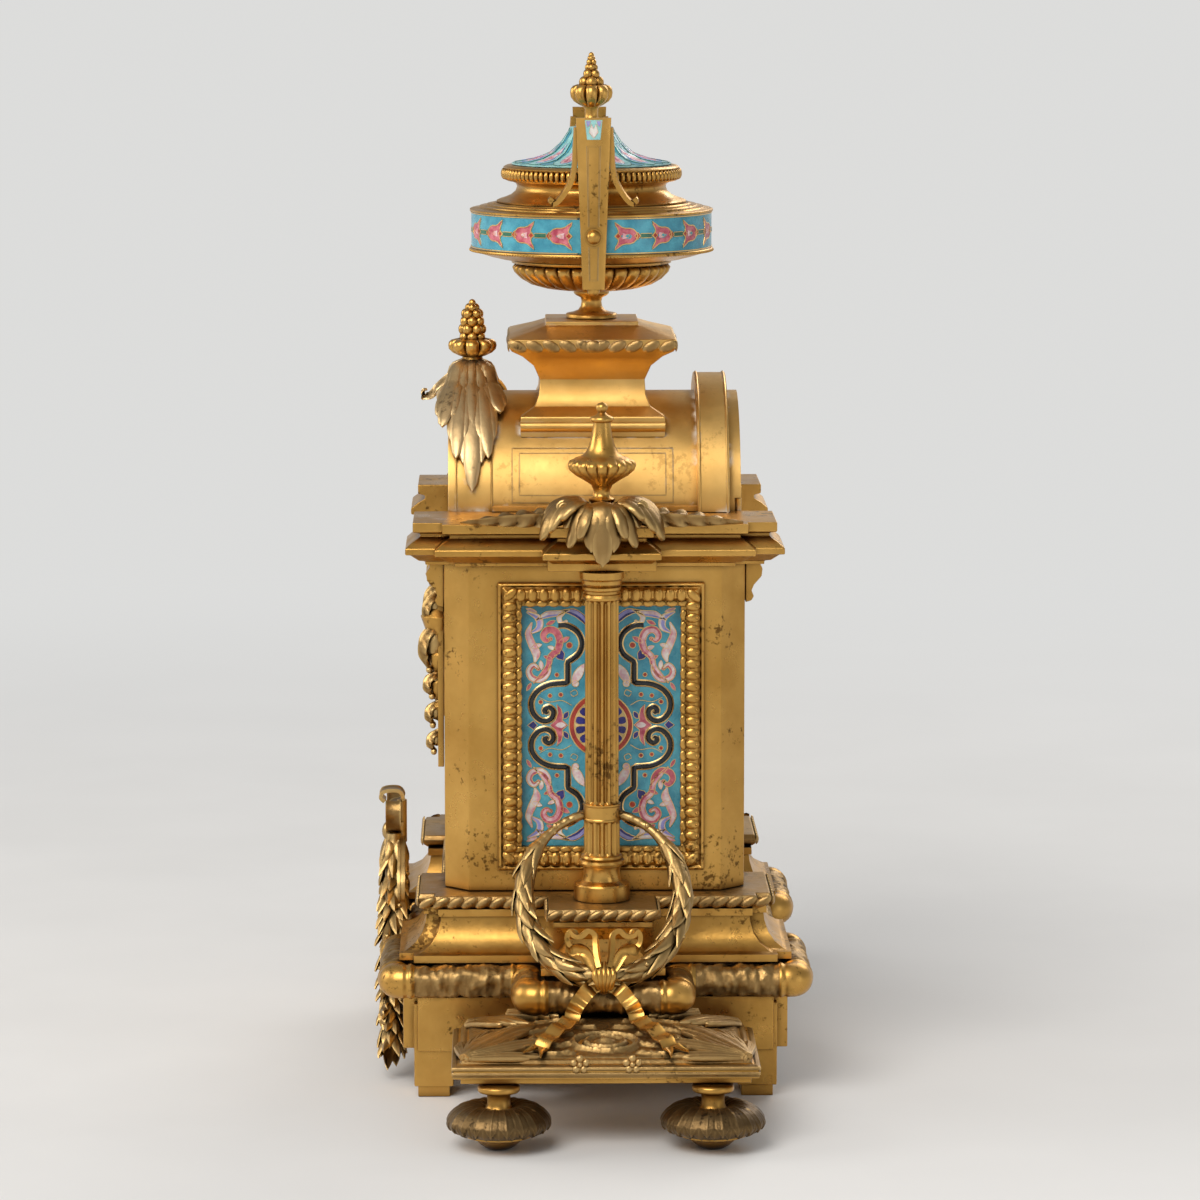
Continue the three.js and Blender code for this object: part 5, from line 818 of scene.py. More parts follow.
def urn_lid():
    """Enamelled lid with long pale petals, thin dark outlines and streaks of pink."""
    profile = [
        (33.4, 375.6), (33.4, 376.0), (30.0, 376.6), (26.0, 377.2), (22.0, 378.1), (18.5, 379.5),
        (15.6, 381.4), (13.2, 383.8), (11.2, 386.4), (9.8, 388.8), (8.9, 391.0), (2.2, 391.0),
    ]
    lid = Shape()
    lathe(lid, profile, Vector(), 96, slot=S_MINT)
    slope = [Vector((radius, level)) for radius, level in profile[1:-1]]
    middle_radius = 16.0
    length = sum((upper - lower).length for lower, upper in zip(slope, slope[1:]))

    def on_lid(u, v, height):
        """u runs round the lid in millimetres at its middle, v up its slope in millimetres."""
        spot = along_path(slope, min(max(v, 0.0), length - 0.01))
        reach = spot.x + 0.5 * height
        angle = u / middle_radius
        return round_point(reach, angle, spot.y + height)

    petals = 14
    width = FULL_TURN * middle_radius / petals
    petal = (
        (0, 0.02), (0.2, 0.07), (0.38, 0.2), (0.44, 0.36), (0.4, 0.56), (0.32, 0.76), (0.18, 0.92),
        (0, 0.98)
    )
    heart = ((0, 0.12), (0.14, 0.22), (0.22, 0.34), (0.16, 0.52), (0.06, 0.66), (0, 0.74))
    streak = ((0, 0.2), (0.05, 0.3), (0.04, 0.5), (0, 0.6))
    for index in range(petals):

        def figure(half, shift=0.0):
            whole = list(half) + [(-u, v) for u, v in reversed(half[1:-1])]
            return [((u + shift + index) * width, v * length) for u, v in whole]

        for outline, shift, height, colour, edge in (
            (petal, 0.5, 0.1, S_TURQUOISE, S_GREEN), (petal, 0.0, 0.18, S_MINT, S_GREEN),
            (heart, 0.0, 0.26, S_WHITE, S_LILAC), (streak, 0.0, 0.32, S_PINK, S_PALE),
            (streak, 0.13, 0.3, S_PALE, S_PALE), (streak, -0.13, 0.3, S_PALE, S_PALE),
        ):
            shape = figure(outline, shift)
            inlay(lid, shape, on_lid, height, colour)
            wire(lid, shape, on_lid, 0.22, height + 0.04, edge, closed=True)
    make_piece("urn_lid_enamel", lid, ENAMELS, stands_for=["urn_lid"], slot="turquoise_enamel")


def urn_bowl():
    """Lobed bowl with its stem and foot."""
    bowl = Shape()
    profile = [
        (2.2, 311.3), (10.7, 311.3), (10.7, 312.8), (10.2, 313.1), (8.0, 313.5), (5.6, 314.4), (4.5, 316.0),
        (4.2, 318.0), (4.6, 319.6), (6.6, 320.6), (7.4, 321.4), (7.4, 322.2), (9.0, 322.6), (14.0, 323.0),
        (20.0, 323.8), (25.6, 325.4), (29.8, 327.8), (32.4, 330.4), (33.2, 332.4), (32.2, 333.7),
        (31.2, 334.1), (33.4, 334.4), (33.7, 335.4), (30.4, 335.4),
    ]
    count = 32
    lathe(bowl, profile, Vector(), count * 10, lobes(count, 0.07, 13, 19))
    make_piece("urn_bowl_lobed", bowl, [AGED], stands_for=["urn_bowl"], slot="dark_gilt", sharp=70)


def petal_cup(shape, centre, bottom, top, radius, petals):
    """A cup of plump rounded petals."""
    heights = (0.0, 0.1, 0.26, 0.45, 0.64, 0.82, 0.94, 1.0, 0.93, 0.8)
    reaches = (0.3, 0.55, 0.82, 0.97, 1.0, 0.97, 0.86, 0.68, 0.5, 0.3)
    profile = [(radius * reach, bottom + (top - bottom) * height) for reach, height in zip(reaches, heights)]

    def wave(angle, row):
        depth = 0.3 * min(1.0, row / 2)
        return 1 - depth + depth * abs(math.cos(petals * angle / 2)) ** 0.5

    lathe(shape, profile, centre, petals * 12, wave)


def berry_rows(shape, centre, rows):
    """Rings of berries, each given by its height, its radius, its number of berries and their size."""
    for index, (height, radius, count, size) in enumerate(rows):
        for cosine, sine in turns(count, 0.5 * (index % 2)):
            at = centre + Vector((radius * cosine, radius * sine, height))
            bead(shape, at, size, (1, 1, 1.1), segments=10, rings=7)


def urn_finial():
    """Petalled cup, pointed bud and berries on the lid."""
    finial = Shape()
    stem = [
        (2.2, 391.3), (6.8, 391.3), (6.6, 392.2), (4.6, 393.0), (3.0, 394.0), (2.7, 396.0), (2.8, 398.4),
        (3.8, 399.6),
    ]
    lathe(finial, stem, Vector(), 32)
    petal_cup(finial, Vector(), 399.0, 408.6, 8.9, 8)
    lathe(finial, [(4.0, 404.0), (2.6, 410.0), (1.4, 416.0), (0.6, 420.0)], Vector(), 16)
    rows = [
        (409.4, 3.0, 5, 2.5), (412.8, 2.0, 4, 2.1), (415.6, 1.3, 4, 1.5), (417.8, 1.0, 3, 1.3),
        (419.4, 0.7, 3, 1.1)
    ]
    berry_rows(finial, Vector(), rows + [(420.7, 0, 1, 1.2)])
    make_piece("urn_finial_petals", finial, [AGED], stands_for=["urn_finial"], sharp=70)


def urn_handles():
    """Flat upright handles with engraved panels, flared braces, a boss and an enamel inset."""
    handle = Shape()
    body, lines = 0, 1
    bottom, top = 327.0, 397.0
    spine = [Vector((HANDLE_BACK + 2.2, 0, bottom + (top - bottom) * step / 8)) for step in range(9)]

    def section(share):
        half = 4.5 + 2.7 * share
        return [
            (-half, -2.2), (half, -2.2), (half, 1.7), (half - 0.6, 2.2), (-half + 0.6, 2.2), (-half, 1.7),
        ]

    sweep(handle, spine, section, RIGHTWARD, body)
    for across, height, size in ((0, 326.6, 2.6), (2.6, 328.6, 1.9), (-2.6, 328.6, 1.9)):
        bead(handle, Vector((HANDLE_BACK + 2.4, across, height)), size, (0.75, 1, 1), segments=12)

    def on_strap(u, v, height):
        return Vector((HANDLE_FACE + height, u, v))

    for v0, v1, half0, half1 in ((385.6, 352.6, 2.9, 2.2), (344.4, 330.6, 2.1, 1.8)):
        outline = [(-half0, v0), (half0, v0), (half1, v1), (-half1, v1)]
        wire(handle, outline, on_strap, 0.4, 0.06, lines, closed=True)
        inner = [(u * 0.8, v - 0.5 if v == v0 else v + 0.5) for u, v in outline]
        wire(handle, inner, on_strap, 0.3, 0.04, lines, closed=True)
    boss = [Vector((HANDLE_FACE - 0.4, 0, 348.5)), Vector((HANDLE_FACE + 0.9, 0, 348.5))]
    tube(handle, boss, lambda share: 3.5, UPWARD, 20)
    bead(handle, Vector((HANDLE_FACE + 1.0, 0, 348.5)), 2.9, (0.8, 1, 1), segments=16, rings=10)
    brace = (
        (51.4, 6.9, 393.0), (51.2, 7.4, 384.6), (50.6, 7.8, 377.0), (49.6, 9.2, 371.0), (48.4, 11.9, 366.2),
        (47.6, 14.6, 362.9), (47.4, 16.4, 362.0), (47.4, 17.5, 363.0), (47.4, 16.8, 364.0),
    )
    strip = [(-2.6, -1.1), (2.6, -1.1), (2.6, 0.8), (1.8, 1.2), (-1.8, 1.2), (-2.6, 0.8)]
    for side in (1, -1):
        path = through([Vector((x, side * y, z)) for x, y, z in brace], 40)
        sweep(handle, path, lambda share: strip, Vector((0, side, 0.3)))
    make_pair("urn_handle_strap", handle, [AGED, BROWN], nodes=["urn_handle"], slot="dark_gilt", sharp=50)
    inset = Shape()
    inlay(inset, [(-3.6, 396.2), (3.6, 396.2), (2.7, 388.2), (-2.7, 388.2)], on_strap, 0.08, 0)
    figures = (
        ([(0, 388.8), (-1.9, 391.2), (-0.9, 394.6), (0, 392.6), (0.9, 394.6), (1.9, 391.2)], 1),
        ([(-3.2, 395.8), (-1.2, 395.8), (-1.6, 394.0), (-2.6, 393.4)], 2),
        ([(3.2, 395.8), (1.2, 395.8), (1.6, 394.0), (2.6, 393.4)], 2),
    )
    for outline, colour in figures:
        inlay(inset, outline, on_strap, 0.16, colour)
        wire(inset, outline, on_strap, 0.22, 0.22, 3, closed=True)
    make_pair("urn_handle_inset", inset, [PALE_GREEN, WHITE, LILAC, WIRE], slot="turquoise_enamel")


# Socle and drum


def rectangle_edges(half_x, half_y, z, centre_y=0.0):
    """The four edges of a rectangle, as (start, end, outward)."""
    corners = [(half_x, -half_y), (half_x, half_y), (-half_x, half_y), (-half_x, -half_y)]
    edges = []
    for index, out in enumerate((RIGHTWARD, REARWARD, -RIGHTWARD, FORWARD)):
        (x0, y0), (x1, y1) = corners[index], corners[(index + 1) % 4]
        edges.append((Vector((x0, y0 + centre_y, z)), Vector((x1, y1 + centre_y, z)), out))
    return edges


def socle_mouldings():
    """Leaf band round the top of the socle and the round moulding along its foot."""
    leaves = Shape()
    for start, end, out in rectangle_edges(33.0, 34.5, 301.8):
        middle = (start + end) / 2
        for half_end in (start, end):
            slanted_lobes(leaves, middle, half_end, out, UPWARD, 6.4, 5.4, 0.9, 1.6)
        egg(leaves, middle, UPWARD * 2.7, (end - start).normalized() * 3.6, out * 1.3, segments=14)
    make_piece("socle_leaf_band", leaves, [BROWN], slot="bright_gilt", sharp=70)
    rolls = Shape()
    for side in (1, -1):
        path = [Vector((side * 34.6, -30.0 + 10 * step, 268.6)) for step in range(7)]
        tube(rolls, path, lambda share: 2.6, UPWARD, 16)
    make_piece("socle_foot_moulding", rolls, [BRIGHT], slot="bright_gilt", sharp=60)


def drum_lines():
    """Engraved double rectangles on both sides of the roof, and the beads of its rings."""
    lines = Shape()

    def on_roof(side):
        def place(u, v, height):
            angle = v / DRUM_RADIUS
            reach = DRUM_RADIUS + height
            return Vector((side * reach * math.cos(angle), u, DRUM_Z + reach * math.sin(angle)))

        return place

    for side in (1, -1):
        for grow in (0.0, 3.0):
            low, high = 5.4 + grow, 29.0 - grow * 0.8
            front, back = -33.5 + grow, 33.0 - grow
            corners = [Vector(corner) for corner in ((front, low), (back, low), (back, high), (front, high))]
            outline = []
            for start, end in zip(corners, corners[1:] + corners[:1]):
                outline += [tuple(start.lerp(end, step / 10)) for step in range(10)]
            wire(lines, outline, on_roof(side), 0.5, 0.06, 0, closed=True)
    make_piece("drum_engraving", lines, [BROWN], slot="bright_gilt")
    steps = Shape()
    upper = [math.radians(degrees) for degrees in range(2, 180, 4)]
    for y, radius, thick in ((43.8, 55.0, 0.5), (55.2, 55.0, 0.5), (-41.9, 47.7, 0.35), (-56.6, 47.7, 0.35)):
        arc = [Vector((radius * math.cos(a), y, DRUM_Z + radius * math.sin(a))) for a in upper]
        tube(steps, arc, lambda share, thick=thick: thick, REARWARD, 6)
    make_piece("drum_beads", steps, [BRIGHT], slot="bright_gilt")


def front_acanthus():
    """Acanthus drape over the front of the drum, its curl, and the pine cone on top."""
    leaves = Shape()
    hub_y = -50.0
    standoff = DRUM_RADIUS + 1.9
    facing = away_from(0, hub_y, DRUM_Z)

    def over_drum(side, degrees, y, lift):
        angle = math.radians(degrees)
        reach = standoff + lift
        return Vector((side * reach * math.sin(angle), y, DRUM_Z + reach * math.cos(angle)))

    fronds = (
        (78, 0.0, 6.4, LONG_FINGERS, 0.0), (62, 6.6, 4.2, THREE_FINGERS, 0.9),
        (62, -6.6, 4.2, THREE_FINGERS, 0.9), (45, -12.4, 4.4, THREE_FINGERS, 1.7),
        (36, 11.6, 4.2, THREE_FINGERS, 1.7), (47, 0.0, 3.4, THREE_FINGERS, 1.9),
    )
    for side in (1, -1):
        for degrees, swing, width, fingers, lift in fronds:
            path = [Vector((side * 1.5, hub_y + 0.2 * swing, 292.0 + 0.4 * lift))]
            path.append(Vector((side * 7.5, hub_y + 0.5 * swing, 290.0 + 0.4 * lift)))
            for step in range(1, 8):
                share = step / 7
                rise = lift * (1 - 0.5 * share) + 3.0 * (1 - share) ** 2
                y = hub_y + swing * (0.55 + 0.45 * share)
                path.append(over_drum(side, 10 + (degrees - 10) * share, y, rise))
            fan(leaves, path, width, fingers, facing, 1.2)
    arc = [over_drum(1, -58 + 8 * step, hub_y, -1.2) for step in range(16)]
    sweep(leaves, arc, lambda share: flat_section(4.5 + 4.5 * math.sin(math.pi * share), 0.5), facing)
    for front in (1, -1):
        for swing in (0, 5.5, -5.5):
            path = [
                Vector((swing * 0.3, hub_y, 291)), Vector((swing, hub_y - front * 6, 288.6)),
                Vector((swing * 1.4, hub_y - front * 10, 283))
            ]
            fan(leaves, path, 2.8, THREE_FINGERS, facing, 1.0)
    curl = [
        (0, -52, 290), (0, -58, 288), (0, -64, 283), (0, -67.5, 279), (0, -70, 278.6), (0, -70.6, 280.5),
        (0, -69.6, 281.4),
    ]
    leaf(leaves, [Vector(point) for point in curl], 4.6, away_from(0, -60, 275), 1.2, 5)
    hub = [(0.1, 281.0), (8.0, 281.4), (7.6, 285.0), (5.8, 288.6), (4.4, 291.0), (4.4, 293.6), (0.1, 293.6)]
    lathe(leaves, hub, Vector((0, hub_y, 0)), 40, lobes(10, 0.1))
    make_piece("front_acanthus_leaves", leaves, [RUBBED], stands_for=["front_acanthus"], sharp=60)
    cone = Shape()
    centre = Vector((0, hub_y, 0))
    lathe(cone, [(0.1, 293.8), (4.4, 293.8), (4.0, 295.4), (3.6, 296.4)], centre, 24)
    petal_cup(cone, centre, 294.4, 302.4, 10.2, 8)
    lathe(cone, [(6.0, 299.0), (4.0, 303.0), (3.4, 312.0), (0.2, 316.6)], centre, 16)
    rows = [
        (303.0, 3.7, 6, 2.3), (306.3, 3.7, 6, 2.3), (309.6, 3.4, 6, 2.2), (312.7, 2.9, 5, 2.05),
        (315.2, 1.6, 3, 1.8)
    ]
    berry_rows(cone, centre, rows + [(317.2, 0, 1, 1.6)])
    make_piece("pine_cone", cone, [AGED], stands_for=["pine_cone_finial"], sharp=70)


# Columns, urn finials and wreaths


def side_columns():
    """Fluted shafts, turned base, collar and capital."""
    column = Shape()
    centre = Vector((COLUMN_X, SIDE_Y, 0))
    flutes = 14

    def fluted(radius, low, high, depth):
        def wave(angle, row):
            across = (flutes * angle / FULL_TURN) % 1
            if row in (0, 5) or not 0.12 < across < 0.88:
                return 1.0
            return 1 - depth * math.sin(math.pi * (across - 0.12) / 0.76)

        heights = (low, low + 1.0, low + 1.8, high - 1.8, high - 1.0, high)
        lathe(column, [(radius, height) for height in heights], centre, flutes * 12, wave)

    turned = (
        [(0.1, 82.8), (11.4, 82.8), (11.4, 88.6), (10.9, 89.3), (8.8, 89.8), (7.9, 90.6),
         (7.4, 92.4), (7.4, 95.0), (7.9, 96.4), (9.1, 96.8), (9.4, 97.8), (9.1, 98.8),
         (8.2, 99.2), (8.5, 99.9), (8.2, 100.7), (7.4, 101.2)],
        [(7.3, 114.8), (7.75, 115.2), (7.75, 115.8), (7.5, 116.2),
         (7.5, 121.0), (7.75, 121.4), (7.75, 122.0), (6.6, 122.4)],
        [(6.6, 205.0), (7.5, 205.6), (7.8, 206.6), (7.5, 207.6), (7.0, 208.0), (7.0, 209.0),
         (7.8, 209.6), (7.8, 210.6), (7.3, 211.0), (8.2, 212.0), (8.2, 213.4), (9.0, 214.2),
         (9.0, 216.9), (0.1, 216.9)],
    )
    for profile in turned:
        lathe(column, profile, centre, 64)
    fluted(7.4, 101.0, 115.2, 0.15)
    fluted(6.9, 122.2, 205.4, 0.18)
    make_pair("column_turned", column, [AGED], nodes=["column"], slot="bright_gilt", sharp=30)


def side_finials():
    """Urn finials over the columns, with lobed rims."""
    finial = Shape()
    profile = [
        (0.1, 235.3), (3.8, 235.3), (3.8, 236.0), (3.2, 237.2), (3.0, 241.0), (3.4, 243.4), (4.4, 244.6),
        (5.2, 245.4), (5.2, 246.4), (3.6, 247.2), (3.2, 249.4), (4.4, 252.0), (7.4, 254.0), (10.6, 255.8),
        (13.2, 258.0), (14.0, 260.0), (13.2, 261.6), (11.4, 262.3), (10.8, 262.8), (8.6, 263.4),
        (6.6, 265.0), (5.2, 268.0), (4.2, 272.0), (3.6, 275.8), (3.5, 277.2), (4.6, 277.8), (4.9, 278.6),
        (4.4, 279.4), (2.4, 280.2), (1.5, 281.2), (2.3, 282.4), (2.5, 283.4), (1.9, 284.6), (0.1, 285.3),
    ]
    count = 18
    lathe(finial, profile, Vector((COLUMN_X, SIDE_Y, 0)), count * 10, lobes(count, 0.1, 12, 16))
    make_pair("side_finial_turned", finial, [AGED], nodes=["side_finial"], slot="bright_gilt", sharp=60)


def side_acanthus():
    """Acanthus round the foot of each side finial: leaves that hang, curl, and lie on the cornice."""
    leaves = Shape()
    foot = Vector((COLUMN_X, SIDE_Y, CORNICE_TOP))
    facing = away_from(COLUMN_X - 4, SIDE_Y, CORNICE_TOP - 16)

    def frond(points, side, width, fingers, thickness=1.4, face=facing):
        path = [foot + Vector((x, side * y, z)) for x, y, z in points]
        fan(leaves, path, width, fingers, face, thickness)

    for side in (1, -1):
        outer = ((-1.0, 0.5), (1.0, 0.78), (-0.5, 0.7), (0.4, 1.0))
        fingers = outer if side > 0 else tuple((-place, reach) for place, reach in outer)
        long_way = [
            foot + Vector((x, side * y, z))
            for x, y, z in ((-1, 6, 4.4), (1, 20, 4.2), (2, 38, 3.4), (1, 57, 1.6))
        ]
        leaf(leaves, long_way, 5.0, Vector((0.9, 0, 0.6)), 2.2, 7, 0.4, 0.2)
        frond(
            [(0, 4, 5), (2.5, 10, 10), (5.5, 16, 8.6), (8.4, 21, 2.4), (9.2, 24, -5)], side, 6.2,
            FIVE_FINGERS, 1.6
        )
        frond(
            [(2, 3, 5), (7, 7.5, 8.4), (10.4, 11.0, 4.5), (11.2, 13.0, -2), (10.8, 14.6, -7)], side, 5.4,
            fingers
        )
    frond(
        [(2, 0, 5.5), (7.5, 0, 8.4), (11.4, 0, 4.5), (12.6, 0, -4), (12.0, 0, -15)], 1, 8.0, FIVE_FINGERS,
        1.7
    )
    for side in (1, -1):
        eye = foot + Vector((8.2, side * 15.5, 8.4))
        spiral = []
        for step in range(20):
            angle = 1.5 * FULL_TURN * step / 19
            reach = 2.6 - 1.5 * step / 19
            turned = Vector((0.05 * step, side * reach * math.sin(angle), reach * math.cos(angle)))
            spiral.append(eye + turned)
        tube(leaves, spiral, lambda share: 0.75, RIGHTWARD)
        bead(leaves, eye + Vector((0.8, 0, 0)), 1.1)
    cup = [(3.9, 235.5), (6.8, 235.5), (6.4, 240.0), (4.4, 242.8), (3.9, 243.0)]
    lathe(leaves, cup, Vector((COLUMN_X, SIDE_Y, 0)), 40, lobes(8, 0.12))
    make_pair("side_acanthus_leaves", leaves, [WORN], nodes=["side_acanthus"], sharp=60)


WREATH_TOP = Vector((COLUMN_X, 0, 118.0))
WREATH_FOOT = Vector((146.0, 0, 58.6))
WREATH_HALF = 32.0


def laurel(shape, path, radius_at, facing, spacing, length, half, around=5, bare_share=0.0):
    """A stem with rings of long laurel leaves close to it, tips along the path, and berries between."""
    run = sum((end - start).length for start, end in zip(path, path[1:]))
    tube(shape, path, lambda share: radius_at(share) * (0.85 + 0.08 * math.sin(31 * share)), facing, 10)
    rings = int(run / spacing)
    for ring in range(int(rings * bare_share), rings):
        start = run * (ring + 0.5) / rings
        step = round((len(path) - 1) * start / run)
        _, wide, up = ways(path, step, facing)
        radius = radius_at(start / run)
        for turn in range(around):
            angle = FULL_TURN * (turn + 0.5 * (ring % 2)) / around + 0.22 * math.sin(7.1 * ring + 3 * turn)
            out = math.cos(angle) * up + math.sin(angle) * wide
            reach = length * (1 + 0.14 * math.sin(5.3 * ring + 2.1 * turn))
            lift = 0.16 + 0.16 * math.sin(3.3 * ring + turn)
            spots = ((0.0, 0.66), (0.35, 1.12), (0.7, 1.2 + lift), (1.0, 1.16 + 2.2 * lift))
            spine = [along_path(path, start + reach * share) + out * radius * rise for share, rise in spots]
            leaf(shape, spine, half, out, radius * 0.2, 1, 0, droop=0.28, small=True)
        if ring % 3 == 1:
            berry = math.cos(2.4 * ring) * up + math.sin(2.4 * ring) * wide
            bead(shape, path[step] + berry * radius * 1.3, 1.1)


def ribbon(shape, points, half, facing, folds, fold_height, forked=False, count=60, slot=0):
    """A ribbon along a path, folded like an accordion, which may end in two points."""
    path = through(points, count)
    folded = []
    for step, middle in enumerate(path):
        share = step / (count - 1)
        _, wide, up = ways(path, step, facing)
        fold = 2 * abs((folds * share) % 1 - 0.5) - 0.5
        folded.append(middle + up * fold_height * fold)
    sweep(shape, folded, lambda share: flat_section(half, 0.42), facing, slot)
    if forked:
        tangent, wide, up = ways(path, count - 1, facing)
        end = folded[-1] - tangent * 0.8
        for side in (1, -1):
            prong = [
                end + wide * side * half * across + tangent * along + up * rise
                for across, along, rise in ((0.48, 0.0, 0.0), (0.75, 3.0, 0.5), (1.25, 6.2, 0.9))
            ]
            sweep(
                shape, prong, lambda share: flat_section(half * (0.55 - 0.5 * share), 0.42),
                lambda share, point: up, slot
            )


def wreaths():
    """Laurel wreaths that lean out from the columns, with wrapped knots, bows and tails."""
    wreath = Shape()
    middle = (WREATH_TOP + WREATH_FOOT) / 2
    half_long = (WREATH_FOOT - WREATH_TOP) / 2
    outward = half_long.cross(REARWARD).normalized()
    if outward.x < 0:
        outward = -outward
    for side in (1, -1):
        path = []
        for step in range(90):
            angle = math.radians(14 + (174 - 14) * step / 89)
            knobs = outward * 0.35 * math.sin(1.9 * step) * max(0, 1 - step / 26)
            across = Vector((0, SIDE_Y + side * WREATH_HALF * math.sin(angle), 0))
            path.append(middle - half_long * math.cos(angle) + across + knobs)
        laurel(
            wreath, path, lambda share: 1.7 + 1.6 * math.sin(0.5 * math.pi * min(1, share * 1.9)), outward,
            6.0, 15.5, 3.1, 4, 0.22,
        )
        stem = [Vector((COLUMN_X + 1.0, SIDE_Y + side * 7.4, 118.2)), path[0], path[4]]
        tube(wreath, stem, lambda share: 1.9, outward, 10)
        for step in range(3, 24, 3):
            turn = 2.6 * step
            bump = outward * math.cos(turn) + REARWARD * math.sin(turn)
            bead(wreath, path[step] + bump * 1.7, 1.0, (1, 1, 1.3))
    knot = Vector((149.0, SIDE_Y, 59.6))
    for index in range(5):
        across = (index - 2) * 1.6
        top = 5.8 - 0.3 * abs(index - 2)
        fold = [
            knot + Vector((-2.2, across * 0.6, top)), knot + Vector((1.6, across * 1.15, top * 0.5)),
            knot + Vector((2.2, across, -0.6)), knot + Vector((1.0, across * 0.7, -top * 0.7)),
            knot + Vector((-2.4, across * 0.4, -top)),
        ]
        tube(wreath, through(fold, 14), lambda share: 1.35, REARWARD, slot=1)
    bead(wreath, knot - Vector((1.4, 0, 0)), 4.6, (0.8, 0.95, 1.25), 1, 14, 8)
    for side in (1, -1):
        loop = [
            (148.6, 1.8, 63.6), (146.0, 2.8, 68.0), (143.6, 3.2, 72.4), (142.4, 3.6, 76.0),
            (142.0, 6.2, 77.6), (142.4, 8.6, 75.8), (142.6, 10.6, 75.6), (142.0, 13.2, 77.4),
            (142.2, 14.6, 75.4), (143.0, 14.2, 72.2), (144.0, 12.8, 70.4), (145.2, 10.0, 70.8),
            (146.0, 8.0, 70.0), (147.4, 5.4, 66.6), (149.0, 2.6, 63.0),
        ]
        path = through([Vector((x, SIDE_Y + side * y, z)) for x, y, z in loop], 70)
        sweep(
            wreath, path, lambda share: flat_section(2.2, 0.95),
            lambda share, point: point - Vector((143, SIDE_Y + side * 8.6, 71)), 1
        )
        tail = [
            (149.6, 2.6, 58.0), (151.5, 6.4, 55.4), (153.0, 10.0, 51.0), (154.4, 12.2, 47.4),
            (158.0, 13.0, 45.6), (165.0, 15.6, 45.0), (173.0, 20.0, 43.6), (180.0, 24.0, 41.0),
            (184.0, 26.4, 38.8),
        ]
        points = [Vector((x, SIDE_Y + side * y, z)) for x, y, z in tail]
        ribbon(
            wreath, points, 3.1, lambda share, point: Vector((1 - 0.6 * share, 0, 0.15 + 0.85 * share)), 7,
            1.7, True, 70, 1
        )
    make_pair("wreath_laurel", wreath, [WORN, AGED], nodes=["wreath"], sharp=60)


# Enamel panels and their frames

PANEL_FACE = 80.2
PANEL_Z = 150.8
PANEL_HALF_W = 32.5
PANEL_HALF_H = 49.8


def four_ways(points):
    """A figure and its mirror images in both middle lines."""
    for sign_u in (1, -1):
        for sign_v in (1, -1):
            figure = [(sign_u * u, sign_v * v) for u, v in points]
            yield figure if sign_u * sign_v > 0 else list(reversed(figure))


